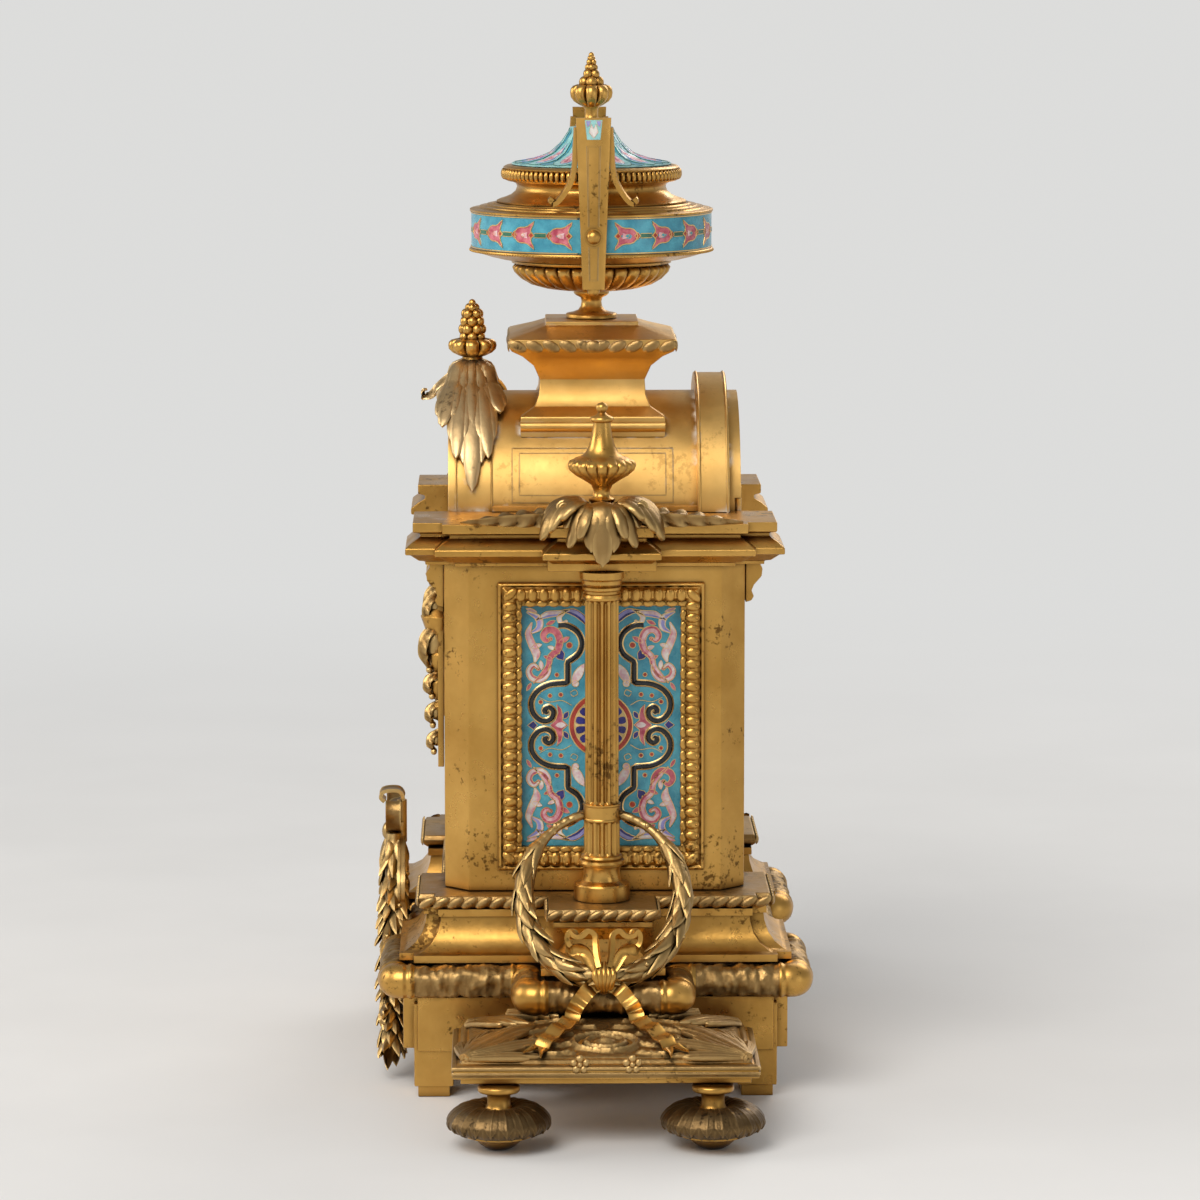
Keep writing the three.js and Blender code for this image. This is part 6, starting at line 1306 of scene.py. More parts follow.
def enamel_pattern(shape, place, scale_u=1.0, scale_v=1.0):
    """Strapwork, rosette, scrolls and flowers of an enamel panel, the same in its four quarters."""

    def fitted(points):
        return [(u * scale_u, v * scale_v) for u, v in points]

    def each_way(points):
        return [fitted(figure) for figure in four_ways(points)]

    def cells(points, colour, wire_width):
        for outline in each_way(points):
            cell(shape, outline, place, colour, S_WIRE, wire_width)

    bar = flat_curve(
        [(-17.4, 41.2), (-13.6, 41.0), (-9.4, 38.2), (-7.7, 33.8), (-9.2, 29.4), (-13.4, 26.2)], 22
    )
    bar += [(-13.6, 25.4), (-13.6, 21.0), (-13.6, 17.6)]
    hook = (
        (-14.4, 17.4), (-20.6, 16.9), (-25.4, 14.6), (-28.2, 10.6), (-28.1, 6.0), (-25.6, 2.6),
        (-22.4, 1.7), (-19.9, 3.2), (-19.5, 5.9), (-21.3, 7.4), (-23.0, 6.4), (-22.6, 5.0),
    )
    bar += flat_curve(hook, 40)
    for path in each_way(bar):
        wire(shape, path, place, 3.0, WIRE_RISE - 0.02, S_WIRE)
        wire(shape, path, place, 2.3, WIRE_RISE + 0.06, S_BLACK)
    cells(flat_circle((-22.2, 5.5), 1.2, 10), S_BLACK, 0.3)

    def strip(middle, widths, share_of_width, shift):
        """Outline of a strip of changing width along a curve, narrowed and moved to its left."""
        count = len(middle)
        left, right = [], []
        for step, (u, v) in enumerate(middle):
            ahead, behind = Vector(middle[min(step + 1, count - 1)]), Vector(middle[max(step - 1, 0)])
            run = (ahead - behind).normalized()
            spot = step / (count - 1) * (len(widths) - 1)
            low = min(int(spot), len(widths) - 2)
            half = widths[low] + (widths[low + 1] - widths[low]) * (spot - low)
            near, far = half * (share_of_width + shift), half * (share_of_width - shift)
            left.append((u - run.y * near, v + run.x * near))
            right.append((u + run.y * far, v - run.x * far))
        return left + right[::-1]

    def scroll(points, widths, colour, count=26, tip=None, heart=None):
        """A scroll with its wire, a paler heart along one side and a round tip."""
        middle = flat_curve(points, count)
        cells(strip(middle, widths, 1.0, 0.0), colour, 0.3)
        if heart is not None:
            for outline in each_way(strip(middle, widths, 0.5, 0.25)):
                inlay(shape, outline, place, ENAMEL_RISE + 0.05, heart)
        if tip:
            cells(flat_circle(middle[-1], tip, 10), colour, 0.25)

    curl = [
        (-27.6, 17.4), (-24.6, 20.4), (-21.6, 24.2), (-20.6, 28.2), (-17.8, 31.0), (-16.8, 35.0),
        (-18.4, 38.6), (-21.6, 39.4), (-23.6, 37.0), (-22.4, 34.9), (-20.6, 35.6),
    ]
    scroll(curl, (0.2, 0.9, 1.2, 1.4, 1.5, 1.4, 1.1, 0.5), S_PINK, 40, 0.8, S_PALE)
    side_curl = [
        (-20.6, 25.0), (-21.6, 21.2), (-24.6, 18.8), (-28.2, 19.6), (-29.4, 22.4), (-27.6, 24.8),
        (-25.6, 23.4)
    ]
    scroll(side_curl, (0.3, 1.0, 1.3, 1.1, 0.6), S_PINK, 26, 0.8, S_WHITE)
    scroll(
        [(-27.0, 26.0), (-26.4, 29.6), (-28.2, 33.6), (-29.6, 38.0), (-28.2, 42.4)],
        (0.3, 1.7, 1.5, 1.3, 0.2), S_PALE, 20, None, S_WHITE
    )
    leaflets = (
        ((-28.4, 32.0), (-24.0, 33.4), 1.0, S_WHITE), ((-24.2, 22.8), (-24.6, 26.8), 0.9, S_WHITE),
        ((-19.6, 27.0), (-23.4, 28.6), 0.8, S_PINK), ((-17.2, 34.0), (-12.8, 36.4), 1.0, S_PINK),
        ((-18.4, 31.2), (-21.8, 32.6), 0.8, S_WHITE), ((-26.0, 46.6), (-30.6, 48.2), 0.7, S_PALE),
        ((-22.4, 41.4), (-18.6, 43.2), 0.8, S_PINK), ((-28.4, 17.6), (-30.4, 14.2), 0.7, S_PINK),
    )
    for base, tip, half, colour in leaflets:
        cells(flat_petal(base, tip, half), colour, 0.22)
    border_scrolls = (
        ((-28.6, 38.0), (-25.2, 40.4), (-25.6, 44.2), (-30.2, 46.8),
         (0.3, 1.3, 1.4, 0.2), S_WHITE, 16, None, S_LILAC),
        ((-26.4, 43.4), (-22.0, 45.6), (-17.4, 46.2), (-12.8, 47.6),
         (0.3, 1.3, 1.1, 0.2), S_LILAC, 16, None, S_WHITE),
        ((-16.0, 47.2), (-11.2, 46.6), (-7.6, 44.2), (-5.4, 40.6),
         (0.3, 1.4, 1.4, 0.15), S_BLUE, 16, None, S_LILAC),
        ((-14.6, 46.6), (-17.0, 44.6), (-16.2, 42.2), (-14.2, 42.8),
         (0.3, 1.0, 0.8, 0.3), S_WHITE, 14, 0.6, None),
        ((-4.4, 45.6), (-2.8, 41.0), (-4.6, 36.4), (-3.2, 31.0),
         (0.2, 1.2, 1.1, 0.15), S_PALE, 14, None, None),
        ((-4.8, 29.6), (-2.6, 26.0), (-4.4, 21.6), (-2.8, 17.4),
         (0.2, 1.0, 1.2, 0.2), S_WHITE, 14, None, S_PALE),
    )
    for *points, widths, colour, count, tip, heart in border_scrolls:
        scroll(points, widths, colour, count, tip, heart)
    lily_half = [
        (-20.8, 0.0), (-18.6, 2.0), (-17.6, 5.0), (-18.0, 8.6), (-16.2, 6.6), (-15.6, 4.0), (-15.8, 2.0),
        (-13.6, 0.0)
    ]
    lily = lily_half + [(u, -v) for u, v in reversed(lily_half[1:-1])]
    for sign in (1, -1):
        cell(shape, fitted([(sign * u, v) for u, v in lily]), place, S_PINK, S_WIRE, 0.35)
        heart = fitted([(sign * u, v) for u, v in flat_petal((-18.6, 0), (-14.2, 0), 1.2)])
        inlay(shape, heart, place, ENAMEL_RISE + 0.1, S_WHITE)
        trefoil = fitted([(sign * u, v) for u, v in ((-26.0, 0), (-27.6, 1.8), (-30.0, 0), (-27.6, -1.8))])
        cell(shape, trefoil, place, S_BLUE, S_WIRE, 0.3)
    blues = (
        flat_petal((-15.2, 2.6), (-13.4, 5.6), 1.0),
        [(-15.2, 26.8), (-17.6, 27.4), (-19.0, 28.8), (-16.9, 29.5), (-16.2, 31.6), (-14.9, 29.6)]
    )
    for figure in blues:
        cells(figure, S_BLUE, 0.28)
    dots = (
        ((-24.6, 9.6), 0.9), ((-20.8, 12.2), 0.85), ((-16.4, 12.6), 0.9), ((-18.0, 20.8), 0.85),
        ((-12.9, 33.0), 1.25)
    )
    for centre, radius in dots:
        cells(flat_circle(centre, radius, 10), S_RED, 0.3)
    for figure in (flat_petal((-11.8, 16.6), (-6.8, 25.4), 1.8), flat_circle((-10.4, 17.2), 1.4, 10)):
        cells(figure, S_WHITE, 0.3)
    tendrils = (
        [(-25.0, 11.4), (-21.0, 9.6), (-16.0, 10.2), (-12.0, 8.2)],
        [(-12.6, 13.6), (-10.4, 14.6), (-9.6, 12.8), (-11.4, 11.9), (-12.4, 13.0)],
    )
    for points in tendrils:
        for figure in each_way(flat_curve(points, 16)):
            wire(shape, figure, place, 0.3, WIRE_RISE, S_WIRE)
    rosette(shape, place, fitted)


def rosette(shape, place, fitted):
    """Ring, petals and eye in the middle of an enamel panel."""
    rings = ((13.0, S_RED, 0.0, 0.5), (10.9, S_CREAM, 0.06, 0.4))
    for radius, colour, lift, width in rings:
        outline = fitted(flat_circle((0, 0), radius, 44))
        inlay(shape, outline, place, ENAMEL_RISE + lift, colour)
        wire(shape, outline, place, width, WIRE_RISE + 0.05, S_WIRE, closed=True)
    for turn in turns(14, 0.5):
        way = Vector(turn)
        side = Vector((-way.y, way.x))
        half = ((4.0, 0.35), (6.4, 1.0), (8.6, 1.6), (9.9, 1.5), (10.5, 0.8))
        edge = [way * out + side * across for out, across in half] + [
            way * out - side * across for out, across in reversed(half)
        ]
        figure = fitted([(point.x, point.y) for point in edge])
        inlay(shape, figure, place, ENAMEL_RISE + 0.12, S_BLUE)
        wire(shape, figure, place, 0.2, ENAMEL_RISE + 0.16, S_WIRE, closed=True)
    eye = fitted(flat_circle((0, 0), 4.2, 24))
    inlay(shape, eye, place, ENAMEL_RISE + 0.14, S_RED)
    wire(shape, eye, place, 0.4, WIRE_RISE + 0.1, S_WIRE, closed=True)
    for turn in turns(8):
        way = Vector(turn)
        petal = fitted(flat_petal(tuple(way * 0.8), tuple(way * 3.6), 0.8))
        inlay(shape, petal, place, ENAMEL_RISE + 0.2, S_CREAM)


def enamel_panels():
    """Enamel cells of the side panels, and of the front panel with its rim of small lobes."""
    side = Shape()
    enamel_pattern(side, lambda u, v, height: Vector((PANEL_FACE + height, SIDE_Y + u, PANEL_Z + v)))
    make_pair("side_panel_cells", side, ENAMELS, slot="turquoise_enamel", sharp=60)
    front = Shape()
    front_face, front_middle = -57.7, 137.0
    enamel_pattern(front, lambda u, v, height: Vector((u, front_face - height, front_middle + v)), 1.1, 0.68)
    rim = [
        Vector((u, front_face - 0.3, front_middle + v))
        for u, v in ((-36.2, -34.2), (36.2, -34.2), (36.2, 34.2), (-36.2, 34.2))
    ]
    for index in range(4):
        start, end = rim[index], rim[(index + 1) % 4]
        tube(front, [start, end], lambda share: 1.1, FORWARD, 10, S_WIRE)
        slanted_lobes(
            front, start, end, FORWARD, (end - start).normalized().cross(FORWARD), 2.4, 1.6, 1.2, 0.0,
            S_WIRE
        )
    make_piece("front_panel_cells", front, ENAMELS, slot="turquoise_enamel", sharp=60)


def side_frames():
    """Tongues with their beads, and the low scallops inside them, on the panels' frames."""
    trim = Shape()

    def run_of_tongues(offset, pitch, long_half, wide_half, rise, level, beaded):
        half_w, half_h = PANEL_HALF_W + offset, PANEL_HALF_H + offset
        corners = [(half_w, -half_h), (half_w, half_h), (-half_w, half_h), (-half_w, -half_h)]
        for index, (y, z) in enumerate(corners):
            next_y, next_z = corners[(index + 1) % 4]
            start = Vector((level, SIDE_Y + y, PANEL_Z + z))
            run = Vector((level, SIDE_Y + next_y, PANEL_Z + next_z)) - start
            count = round(run.length / pitch)
            direction = run.normalized()
            inward = RIGHTWARD.cross(direction)
            for step in range(1 if beaded else 0, count):
                middle = start + run * (step / count)
                egg(trim, middle, inward * long_half, direction * wide_half, RIGHTWARD * rise)
                if beaded:
                    bead(trim, middle - inward * long_half * 0.6 + RIGHTWARD * rise * 0.75, 0.6)
            if beaded:
                diagonal = (inward - direction).normalized()
                egg(
                    trim, start + diagonal * 0.4, diagonal * 3.6, diagonal.cross(RIGHTWARD) * 2.0,
                    RIGHTWARD * rise
                )

    run_of_tongues(4.7, 4.75, 3.0, 2.25, 1.15, 86.5, True)
    run_of_tongues(1.0, 4.75, 1.4, 2.3, 0.45, 85.7, False)
    make_pair("frame_tongues", trim, [AGED], sharp=70)


# Body and base


def pilaster_husks():
    """Bulky husks that hang in a chain on the pilasters."""
    husks = Shape()
    wall = -63.6
    x = 66.0
    chain = (
        (204.0, 190.0, 5.0, 5.4), (192.0, 172.0, 6.6, 7.0), (171.0, 161.0, 4.4, 5.2),
        (158.5, 149.0, 3.8, 4.6), (146.5, 138.0, 3.2, 4.0),
    )
    for top, bottom, half, reach in chain:
        length = top - bottom
        for swing, wide in ((-0.75, 0.62), (0.75, 0.62), (0.0, 0.8)):
            near = -0.6 if swing == 0 else 0.0
            path = [
                Vector((x + swing * half * 0.25, wall + 1, top)),
                Vector((x + swing * half * 0.8, wall - reach * (0.85 + near * 0.1), top - length * 0.3)),
                Vector((x + swing * half * 0.9, wall - reach * 1.05, top - length * 0.62)),
                Vector((x + swing * half * 0.5, wall - reach * 0.7, top - length * 0.95)),
            ]
            leaf(husks, path, half * wide, away_from(x, wall + 8, (top + bottom) / 2), 1.3, 3, 0.35, 0.35)
        bead(
            husks, Vector((x, wall - reach * 0.3, (top + bottom) / 2 + 1)), half * 0.8, (1, 1, 1.3),
            segments=12
        )
        for berry in range(3):
            bead(husks, Vector((x + (berry - 1) * 1.7, wall - reach * 0.6, bottom - 0.2)), 1.3)
    make_pair("pilaster_husks", husks, [WORN], sharp=60)


def leaf_mouldings():
    """Slanted leaves on the top moulding of the base, round the pedestals too."""
    leaves = Shape()
    half_w, half_d, z = 95.3, 72.3, 80.0
    recess, recess_depth, notch = 42.0, 10.0, 1.0
    pedestal_x, pedestal_half = 123.8, 22.4
    runs = []
    for sy in (1, -1):
        out = REARWARD * sy
        runs.append(((-half_w + notch, sy * half_d), (-recess, sy * half_d), out))
        runs.append(((recess, sy * half_d), (half_w - notch, sy * half_d), out))
        inner = sy * (half_d - recess_depth)
        runs.append(((-recess, inner), (recess, inner), out))
    for sx in (1, -1):
        out = RIGHTWARD * sx
        runs.append(((sx * half_w, -half_d + notch), (sx * half_w, SIDE_Y - pedestal_half), out))
        runs.append(((sx * half_w, SIDE_Y + pedestal_half), (sx * half_w, half_d - notch), out))
        runs.append(
            ((sx * pedestal_x, SIDE_Y - pedestal_half), (sx * pedestal_x, SIDE_Y + pedestal_half), out)
        )
        for sy in (1, -1):
            edge = SIDE_Y + sy * pedestal_half
            runs.append(((sx * half_w, edge), (sx * pedestal_x, edge), REARWARD * sy))
    for start, end, out in runs:
        slanted_lobes(leaves, Vector((*start, z)), Vector((*end, z)), out, UPWARD, 5.6, 5.2, 1.2, 2.0)
    make_piece("leaf_moulding_leaves", leaves, [BROWN], slot="dark_gilt", sharp=70)


def base_torus():
    """Round moulding of the base with its bark-like carving, smooth rings and rounded corners."""
    w, d, bay, half, recess, sunk, z = 105.0, 81.6, 138.0, 30.0, 42.0, 71.6, 49.5
    radius, elbow = 6.5, 3.4
    right = [(w, SIDE_Y - half), (bay, SIDE_Y - half), (bay, SIDE_Y + half), (w, SIDE_Y + half), (w, d)]
    rear = [(recess, d), (recess, sunk), (-recess, sunk), (-recess, d)]
    left = [(-x, y) for x, y in reversed(right)]
    front = [(-w, -d), (-recess, -d), (-recess, -sunk), (recess, -sunk), (recess, -d), (w, -d)]
    corners = [Vector((*spot, z)) for spot in right + rear + left + front]
    path, gap = [], []
    spacing = 0.75
    for index, corner in enumerate(corners):
        before, after = corners[index - 1], corners[(index + 1) % len(corners)]
        way_in, way_out = (corner - before).normalized(), (after - corner).normalized()
        straight = way_in.cross(way_out).length < 0.01
        start = before + way_in * elbow
        end = corner - way_in * elbow
        length = (end - start).length
        count = max(2, round(length / spacing))
        for step in range(count):
            path.append(start.lerp(end, step / count))
            gap.append(min(step, count - step) / count * length)
        for step in range(0 if straight else 7):
            t = step / 7
            path.append(end * (1 - t) ** 2 + corner * 2 * t * (1 - t) + (corner + way_out * elbow) * t**2)
            gap.append(0.0)
    sides = 26
    rows, slots = [], []
    for step, middle in enumerate(path):
        tangent = (path[(step + 1) % len(path)] - path[step - 1]).normalized()
        wide = tangent.cross(UPWARD)
        carved = min(1.0, max(0.0, (gap[step] - 3.6) / 1.0))
        ring = 0.8 * math.exp(-(((gap[step] - 2.9) / 0.9) ** 2))
        ring += 0.5 * math.exp(-(((gap[step] - 0.2) / 0.8) ** 2))
        row = []
        for side in range(sides):
            angle = FULL_TURN * side / sides
            spot = middle + radius * (wide * math.cos(angle) + UPWARD * math.sin(angle))
            furrow = max(0.0, lumps(spot * 0.42 + RIGHTWARD * 50) - 0.3)
            relief = 1.1 * lumps(spot * 0.23) + 0.7 * lumps(spot * 0.55) - 1.2 * furrow
            reach = radius + carved * relief + ring
            row.append(middle + reach * (wide * math.cos(angle) + UPWARD * math.sin(angle)))
        rows.append(row)
        slots.append(0 if carved > 0.5 else 1)
    rows.append(list(rows[0]))
    torus = Shape()
    torus.add_grid(rows, closed=True)
    for row in range(len(rows) - 1):
        torus.slots[row * sides : (row + 1) * sides] = [slots[row]] * sides
    make_piece(
        "base_torus_carved", torus, [BROWN, AGED], stands_for=["base_torus"], slot="dark_gilt", sharp=60
    )


WING_INNER = 122.0
WING_OUTER = 191.3
WING_HALF = 60.3
CROWN_INSETS = (0.0, 8.3, 22.1, 45.5, 70.0)
CROWN_HEIGHTS = (33.3, 36.6, 39.6, 42.1, 42.3)


def swell(value, middle, width):
    """A rounded swell of height 1 about a value, over a grid."""
    return np.exp(-(((value - middle) / width) ** 2))


def ridge(x, y, path, width):
    """A rounded ridge along a polyline, as an array of shares over grids of x and y."""
    nearest = np.full(x.shape, 1e9)
    for (ax, ay), (bx, by) in zip(path, path[1:]):
        run_x, run_y = bx - ax, by - ay
        t = np.clip(((x - ax) * run_x + (y - ay) * run_y) / (run_x**2 + run_y**2), 0, 1)
        nearest = np.minimum(nearest, np.hypot(x - ax - t * run_x, y - ay - t * run_y))
    return swell(nearest, 0.0, width)


def crown_height(x, y):
    """Height of the crowned pad, from its distance to the nearest outer edge."""
    inset = np.minimum(WING_OUTER - x, WING_HALF - np.abs(y - SIDE_Y))
    return np.interp(inset, CROWN_INSETS, CROWN_HEIGHTS), inset


def wing_crowns():
    """Carved crown of each wing: mitred mouldings, patera, ribs, corner acanthus and small flowers."""
    crown = Shape()
    columns, rows_along = 116, 196
    x, y = np.meshgrid(
        np.linspace(WING_INNER, WING_OUTER, columns),
        np.linspace(SIDE_Y - WING_HALF, SIDE_Y + WING_HALF, rows_along)
    )
    height, inset = crown_height(x, y)
    height = height - 0.8 * swell(inset, 2.6, 0.6) + 0.5 * swell(inset, 4.2, 0.8)
    height = height - 0.7 * swell(inset, 6.0, 0.5)
    field = np.clip((inset - 6.5) / 1.5, 0, 1)
    patera_x, patera_y = WING_OUTER - 19.0, SIDE_Y
    ring = np.hypot((x - patera_x) / 8.6, (y - patera_y) / 12.5)
    relief = 1.7 * swell(ring, 1.0, 0.09) + 1.5 * swell(ring, 0.6, 0.1)
    relief += 2.4 * swell(ring, 0.0, 0.28) - 1.0 * swell(ring, 0.8, 0.08)
    outside = ring > 1.1
    for sy in (1, -1):
        for points in (
            [(10, 13), (8.5, 22), (10, 31)],
            [(28, 13), (22, 24), (14, 33)],
            [(36, 4), (36, 18), (28, 34)],
            [(44, 8), (46, 24), (40, 40)],
            [(18, 13), (16, 22), (19, 30), (25, 28)],
        ):
            path = flat_curve([(WING_OUTER - px, SIDE_Y + sy * py) for px, py in points], 12)
            relief += (1.9 * ridge(x, y, path, 1.1) - 0.7 * ridge(x, y, path, 2.6)) * outside
    relief += 0.2 * np.sin(1.9 * x + 0.6 * y) * np.sin(1.3 * y - 0.4 * x) + 0.08 * np.sin(3.1 * y + 1.7 * x)
    height = height + field * relief
    rows = [
        [Vector((x[row, column], y[row, column], height[row, column])) for column in range(columns)]
        for row in range(rows_along)
    ]
    crown.add_grid(rows)
    rim = rows[0] + [line[-1] for line in rows[1:]] + rows[-1][-2::-1] + [line[0] for line in rows[-2:0:-1]]
    middle = Vector(((WING_INNER + WING_OUTER) / 2, SIDE_Y))
    skirt = [rim]
    for level, grow in (
        (32.9, 0.25), (32.2, 0.3), (31.8, -0.3), (31.3, -0.35), (30.9, 0.1), (30.2, 0.15), (29.8, -0.25),
        (29.0, -0.3)
    ):
        spread_x = 1 + grow / (WING_OUTER - middle.x)
        spread_y = 1 + grow / WING_HALF
        skirt.append([
            Vector((middle.x + (p.x - middle.x) * spread_x, middle.y + (p.y - middle.y) * spread_y, level))
            for p in rim
        ])
    crown.add_grid(skirt, closed=True)

    def on_crown(px, py, lift):
        level = float(crown_height(np.array(px), np.array(py))[0])
        return Vector((px, py, level + lift))

    facing = Vector((0.15, 0, 1))
    for sy in (1, -1):
        corner = Vector((WING_OUTER - 5.0, SIDE_Y + sy * (WING_HALF - 5.0)))
        fronds = (
            (30, 0.8, 2.6, THREE_FINGERS, 0.0), (30, -0.8, 2.6, THREE_FINGERS, 0.0),
            (36, 0.42, 3.2, FIVE_FINGERS, 0.3), (36, -0.42, 3.2, FIVE_FINGERS, 0.3),
            (42, 0.0, 4.6, LONG_FINGERS, 0.7),
        )
        for reach, turn, width, fingers, lift in fronds:
            way = Vector((-0.74, -sy * 0.67))
            way.rotate(Matrix.Rotation(turn, 2))
            path = []
            for step in range(7):
                spot = corner + way * reach * step / 6
                if spot.x > WING_OUTER - 3 or abs(spot.y - SIDE_Y) > WING_HALF - 3:
                    continue
                path.append(on_crown(spot.x, spot.y, lift + 0.6 * math.sin(math.pi * step / 6)))
            fan(crown, path, width, fingers, facing, 1.5)
        for start, end, width in (((4, 54), (28, 30), 4.4), ((3, 38), (20, 18), 3.2)):
            path = []
            for step in range(7):
                share = step / 6
                px = WING_INNER + start[0] + (end[0] - start[0]) * share
                py = SIDE_Y + sy * (start[1] + (end[1] - start[1]) * share)
                path.append(on_crown(px, py, 0.9 * math.sin(math.pi * share) + 0.4))
            fan(crown, path, width, FIVE_FINGERS, facing, 1.5)
        heart = Vector((WING_OUTER - 0.4, SIDE_Y + sy * 10.3, 34.4))
        for cosine, sine in turns(5, 0.25):
            bead(crown, heart + Vector((0.3, 2.5 * cosine, 2.3 * sine)), 1.5, (0.7, 1, 1))
        bead(crown, heart + Vector((0.4, 0, 0)), 1.2)
    make_pair("wing_crown_carved", crown, [BROWN], slot="dark_gilt", sharp=50)


def toupie_feet():
    """Disc feet: bright stem and dome, and two layers of leaves whose points turn under the rim."""
    foot = Shape()
    carved, bright = 0, 1
    centre = Vector((186.0, SIDE_Y, 0))
    outline = [
        (5.6, 15.0), (8.2, 16.5), (12.2, 16.9), (16.6, 15.2), (19.4, 12.2), (19.8, 10.0), (17.8, 7.6),
        (13.4, 5.9)
    ]
    profile = [(point.x, point.y) for point in through([(r, h, 0) for r, h in outline], 60)]
    count = 20
    sides = count * 16
    rows = []
    for step, (radius, height) in enumerate(profile):
        share = step / (len(profile) - 1)
        ahead, behind = profile[min(step + 1, len(profile) - 1)], profile[max(step - 1, 0)]
        slope = Vector((ahead[0] - behind[0], ahead[1] - behind[1])).normalized()
        out_r, out_z = -slope.y, slope.x
        row = []
        for side in range(sides):
            angle = FULL_TURN * side / sides
            lift = 0.0
            for shift, tip, rise in ((0.0, 0.82, 0.75), (0.5, 0.94, 0.35)):
                off = abs((count * angle / FULL_TURN + shift) % 1 - 0.5) * 2
                edge = 0.94 if share < tip - 0.24 else max(0.0, (tip - share) / 0.24)
                if off < edge and share < tip:
                    rib = 0.18 * max(0.0, 1 - off / 0.2)
                    lift = max(lift, rise * (1 - 0.15 * off) + rib)
            reach = radius + lift * out_r
            row.append(centre + round_point(reach, angle, height + lift * out_z))
        rows.append(row)
    foot.add_grid(rows, carved, closed=True)
    dome = [
        (0.1, 0.0), (4.4, 0.0), (6.6, 1.2), (8.6, 3.0), (10.2, 4.6), (12.6, 5.0), (13.8, 5.5), (13.8, 6.1),
        (12.4, 6.5)
    ]
    stem = [
        (6.2, 14.6), (6.0, 15.6), (5.3, 16.2), (4.7, 17.6), (4.5, 19.4), (4.7, 21.4), (5.4, 22.4),
        (7.9, 22.7), (8.3, 23.1), (8.3, 24.7), (7.8, 25.3), (5.0, 25.7), (0.1, 25.7),
    ]
    lathe(foot, dome, centre, 64, slot=bright)
    lathe(foot, stem, centre, 64, slot=bright)
    for place, offset in (("front", -42.0), ("rear", 42.0)):
        moved = foot.changed(lambda point: point + Vector((0, offset, 0)))
        make_pair(
            f"toupie_{place}", moved, [DARK, AGED], nodes=[f"wing_foot_{place}"], slot="dark_gilt", sharp=50
        )


def front_garland():
    """Laurel branches, bow with its scrolled bracket, and cartouche on the front of the base."""
    garland = Shape()
    wall = -84.0
    for side in (1, -1):
        path = []
        for step in range(60):
            share = step / 59
            path.append(Vector((side * 65.0 * (0.06 + 0.94 * share**1.35), wall, 92.0 - 77.0 * share**0.9)))
        laurel(garland, path, lambda share: 4.3 - 1.0 * abs(share - 0.4), FORWARD, 4.6, 12.0, 2.8, 6)
        for swing in (-1, 0, 1):
            start = path[-12] + Vector((swing * 2.0, -1.5, 2))
            tip = [
                start, start + Vector((side * 3 + swing * 4, -2.6, -5)),
                start + Vector((side * 6 + swing * 4.4, -0.6, -12))
            ]
            leaf(garland, tip, 4.0, FORWARD, 1.4, 4)
        loop = [(0, 0), (6, 9), (13, 14.5), (16.5, 10), (13, 4), (6, 0.5), (1, -0.5)]
        points = through([Vector((side * x, wall, 93.0 + z)) for x, z in loop], 40)
        sweep(garland, points, lambda share: flat_section(3.2, 0.6), away_from(side * 9, wall, 99))
        tail = [
            Vector((side * x, wall - 1.4, 93.0 + z))
            for x, z in ((1, -1), (5, -7), (7, -13), (11, -18), (12, -24))
        ]
        ribbon(garland, tail, 2.8, FORWARD, 6, 1.4, True, 40)
    scroll = [
        (-80.0, 96.0), (-84.0, 97.6), (-86.4, 101.0), (-85.0, 104.6), (-81.6, 105.6), (-80.0, 107.6),
        (-81.6, 110.2), (-85.4, 110.6), (-88.6, 109.8), (-89.4, 107.4), (-87.8, 105.8),
    ]
    path = through([Vector((0, y, z)) for y, z in scroll], 50)
    sweep(garland, path, lambda share: flat_section(5.0, 0.8), away_from(0, -84, 103))
    tube(garland, [Vector((0, -80.6, 88)), Vector((0, -80.6, 106))], lambda share: 2.2, FORWARD, 10)
    bead(garland, Vector((0, wall - 1.8, 92.5)), 4.0, (1, 0.85, 1.1), segments=14, rings=8)
    plaque = []
    for step, (cosine, sine) in enumerate(turns(48)):
        bulge = 1 + 0.07 * math.cos(4 * (FULL_TURN * step / 48))
        plaque.append((20.0 * bulge * cosine, 70.0 + 19.5 * bulge * sine))
    face = -79.1

    def on_plaque(u, v, height):
        return Vector((u, face - height, v))

    inlay(garland, plaque, on_plaque, 2.0, 0)
    wire(garland, plaque, lambda u, v, height: on_plaque(u, v, 2.0 + height), 2.4, 1.2, 0, closed=True)
    middle = Vector((0, face - 2.2, 70.0))
    for cosine, sine in turns(12):
        way = Vector((cosine, 0, sine))
        leaf(
            garland, [middle + way * 2.5, middle + way * 8 + FORWARD * 0.6, middle + way * 14.5], 3.0,
            FORWARD, 1.0, 2
        )
    bead(garland, middle, 3.2, (1, 0.6, 1), segments=14, rings=8)
    make_piece("front_garland_laurel", garland, [WORN], stands_for=["front_garland"], sharp=60)


# Dial


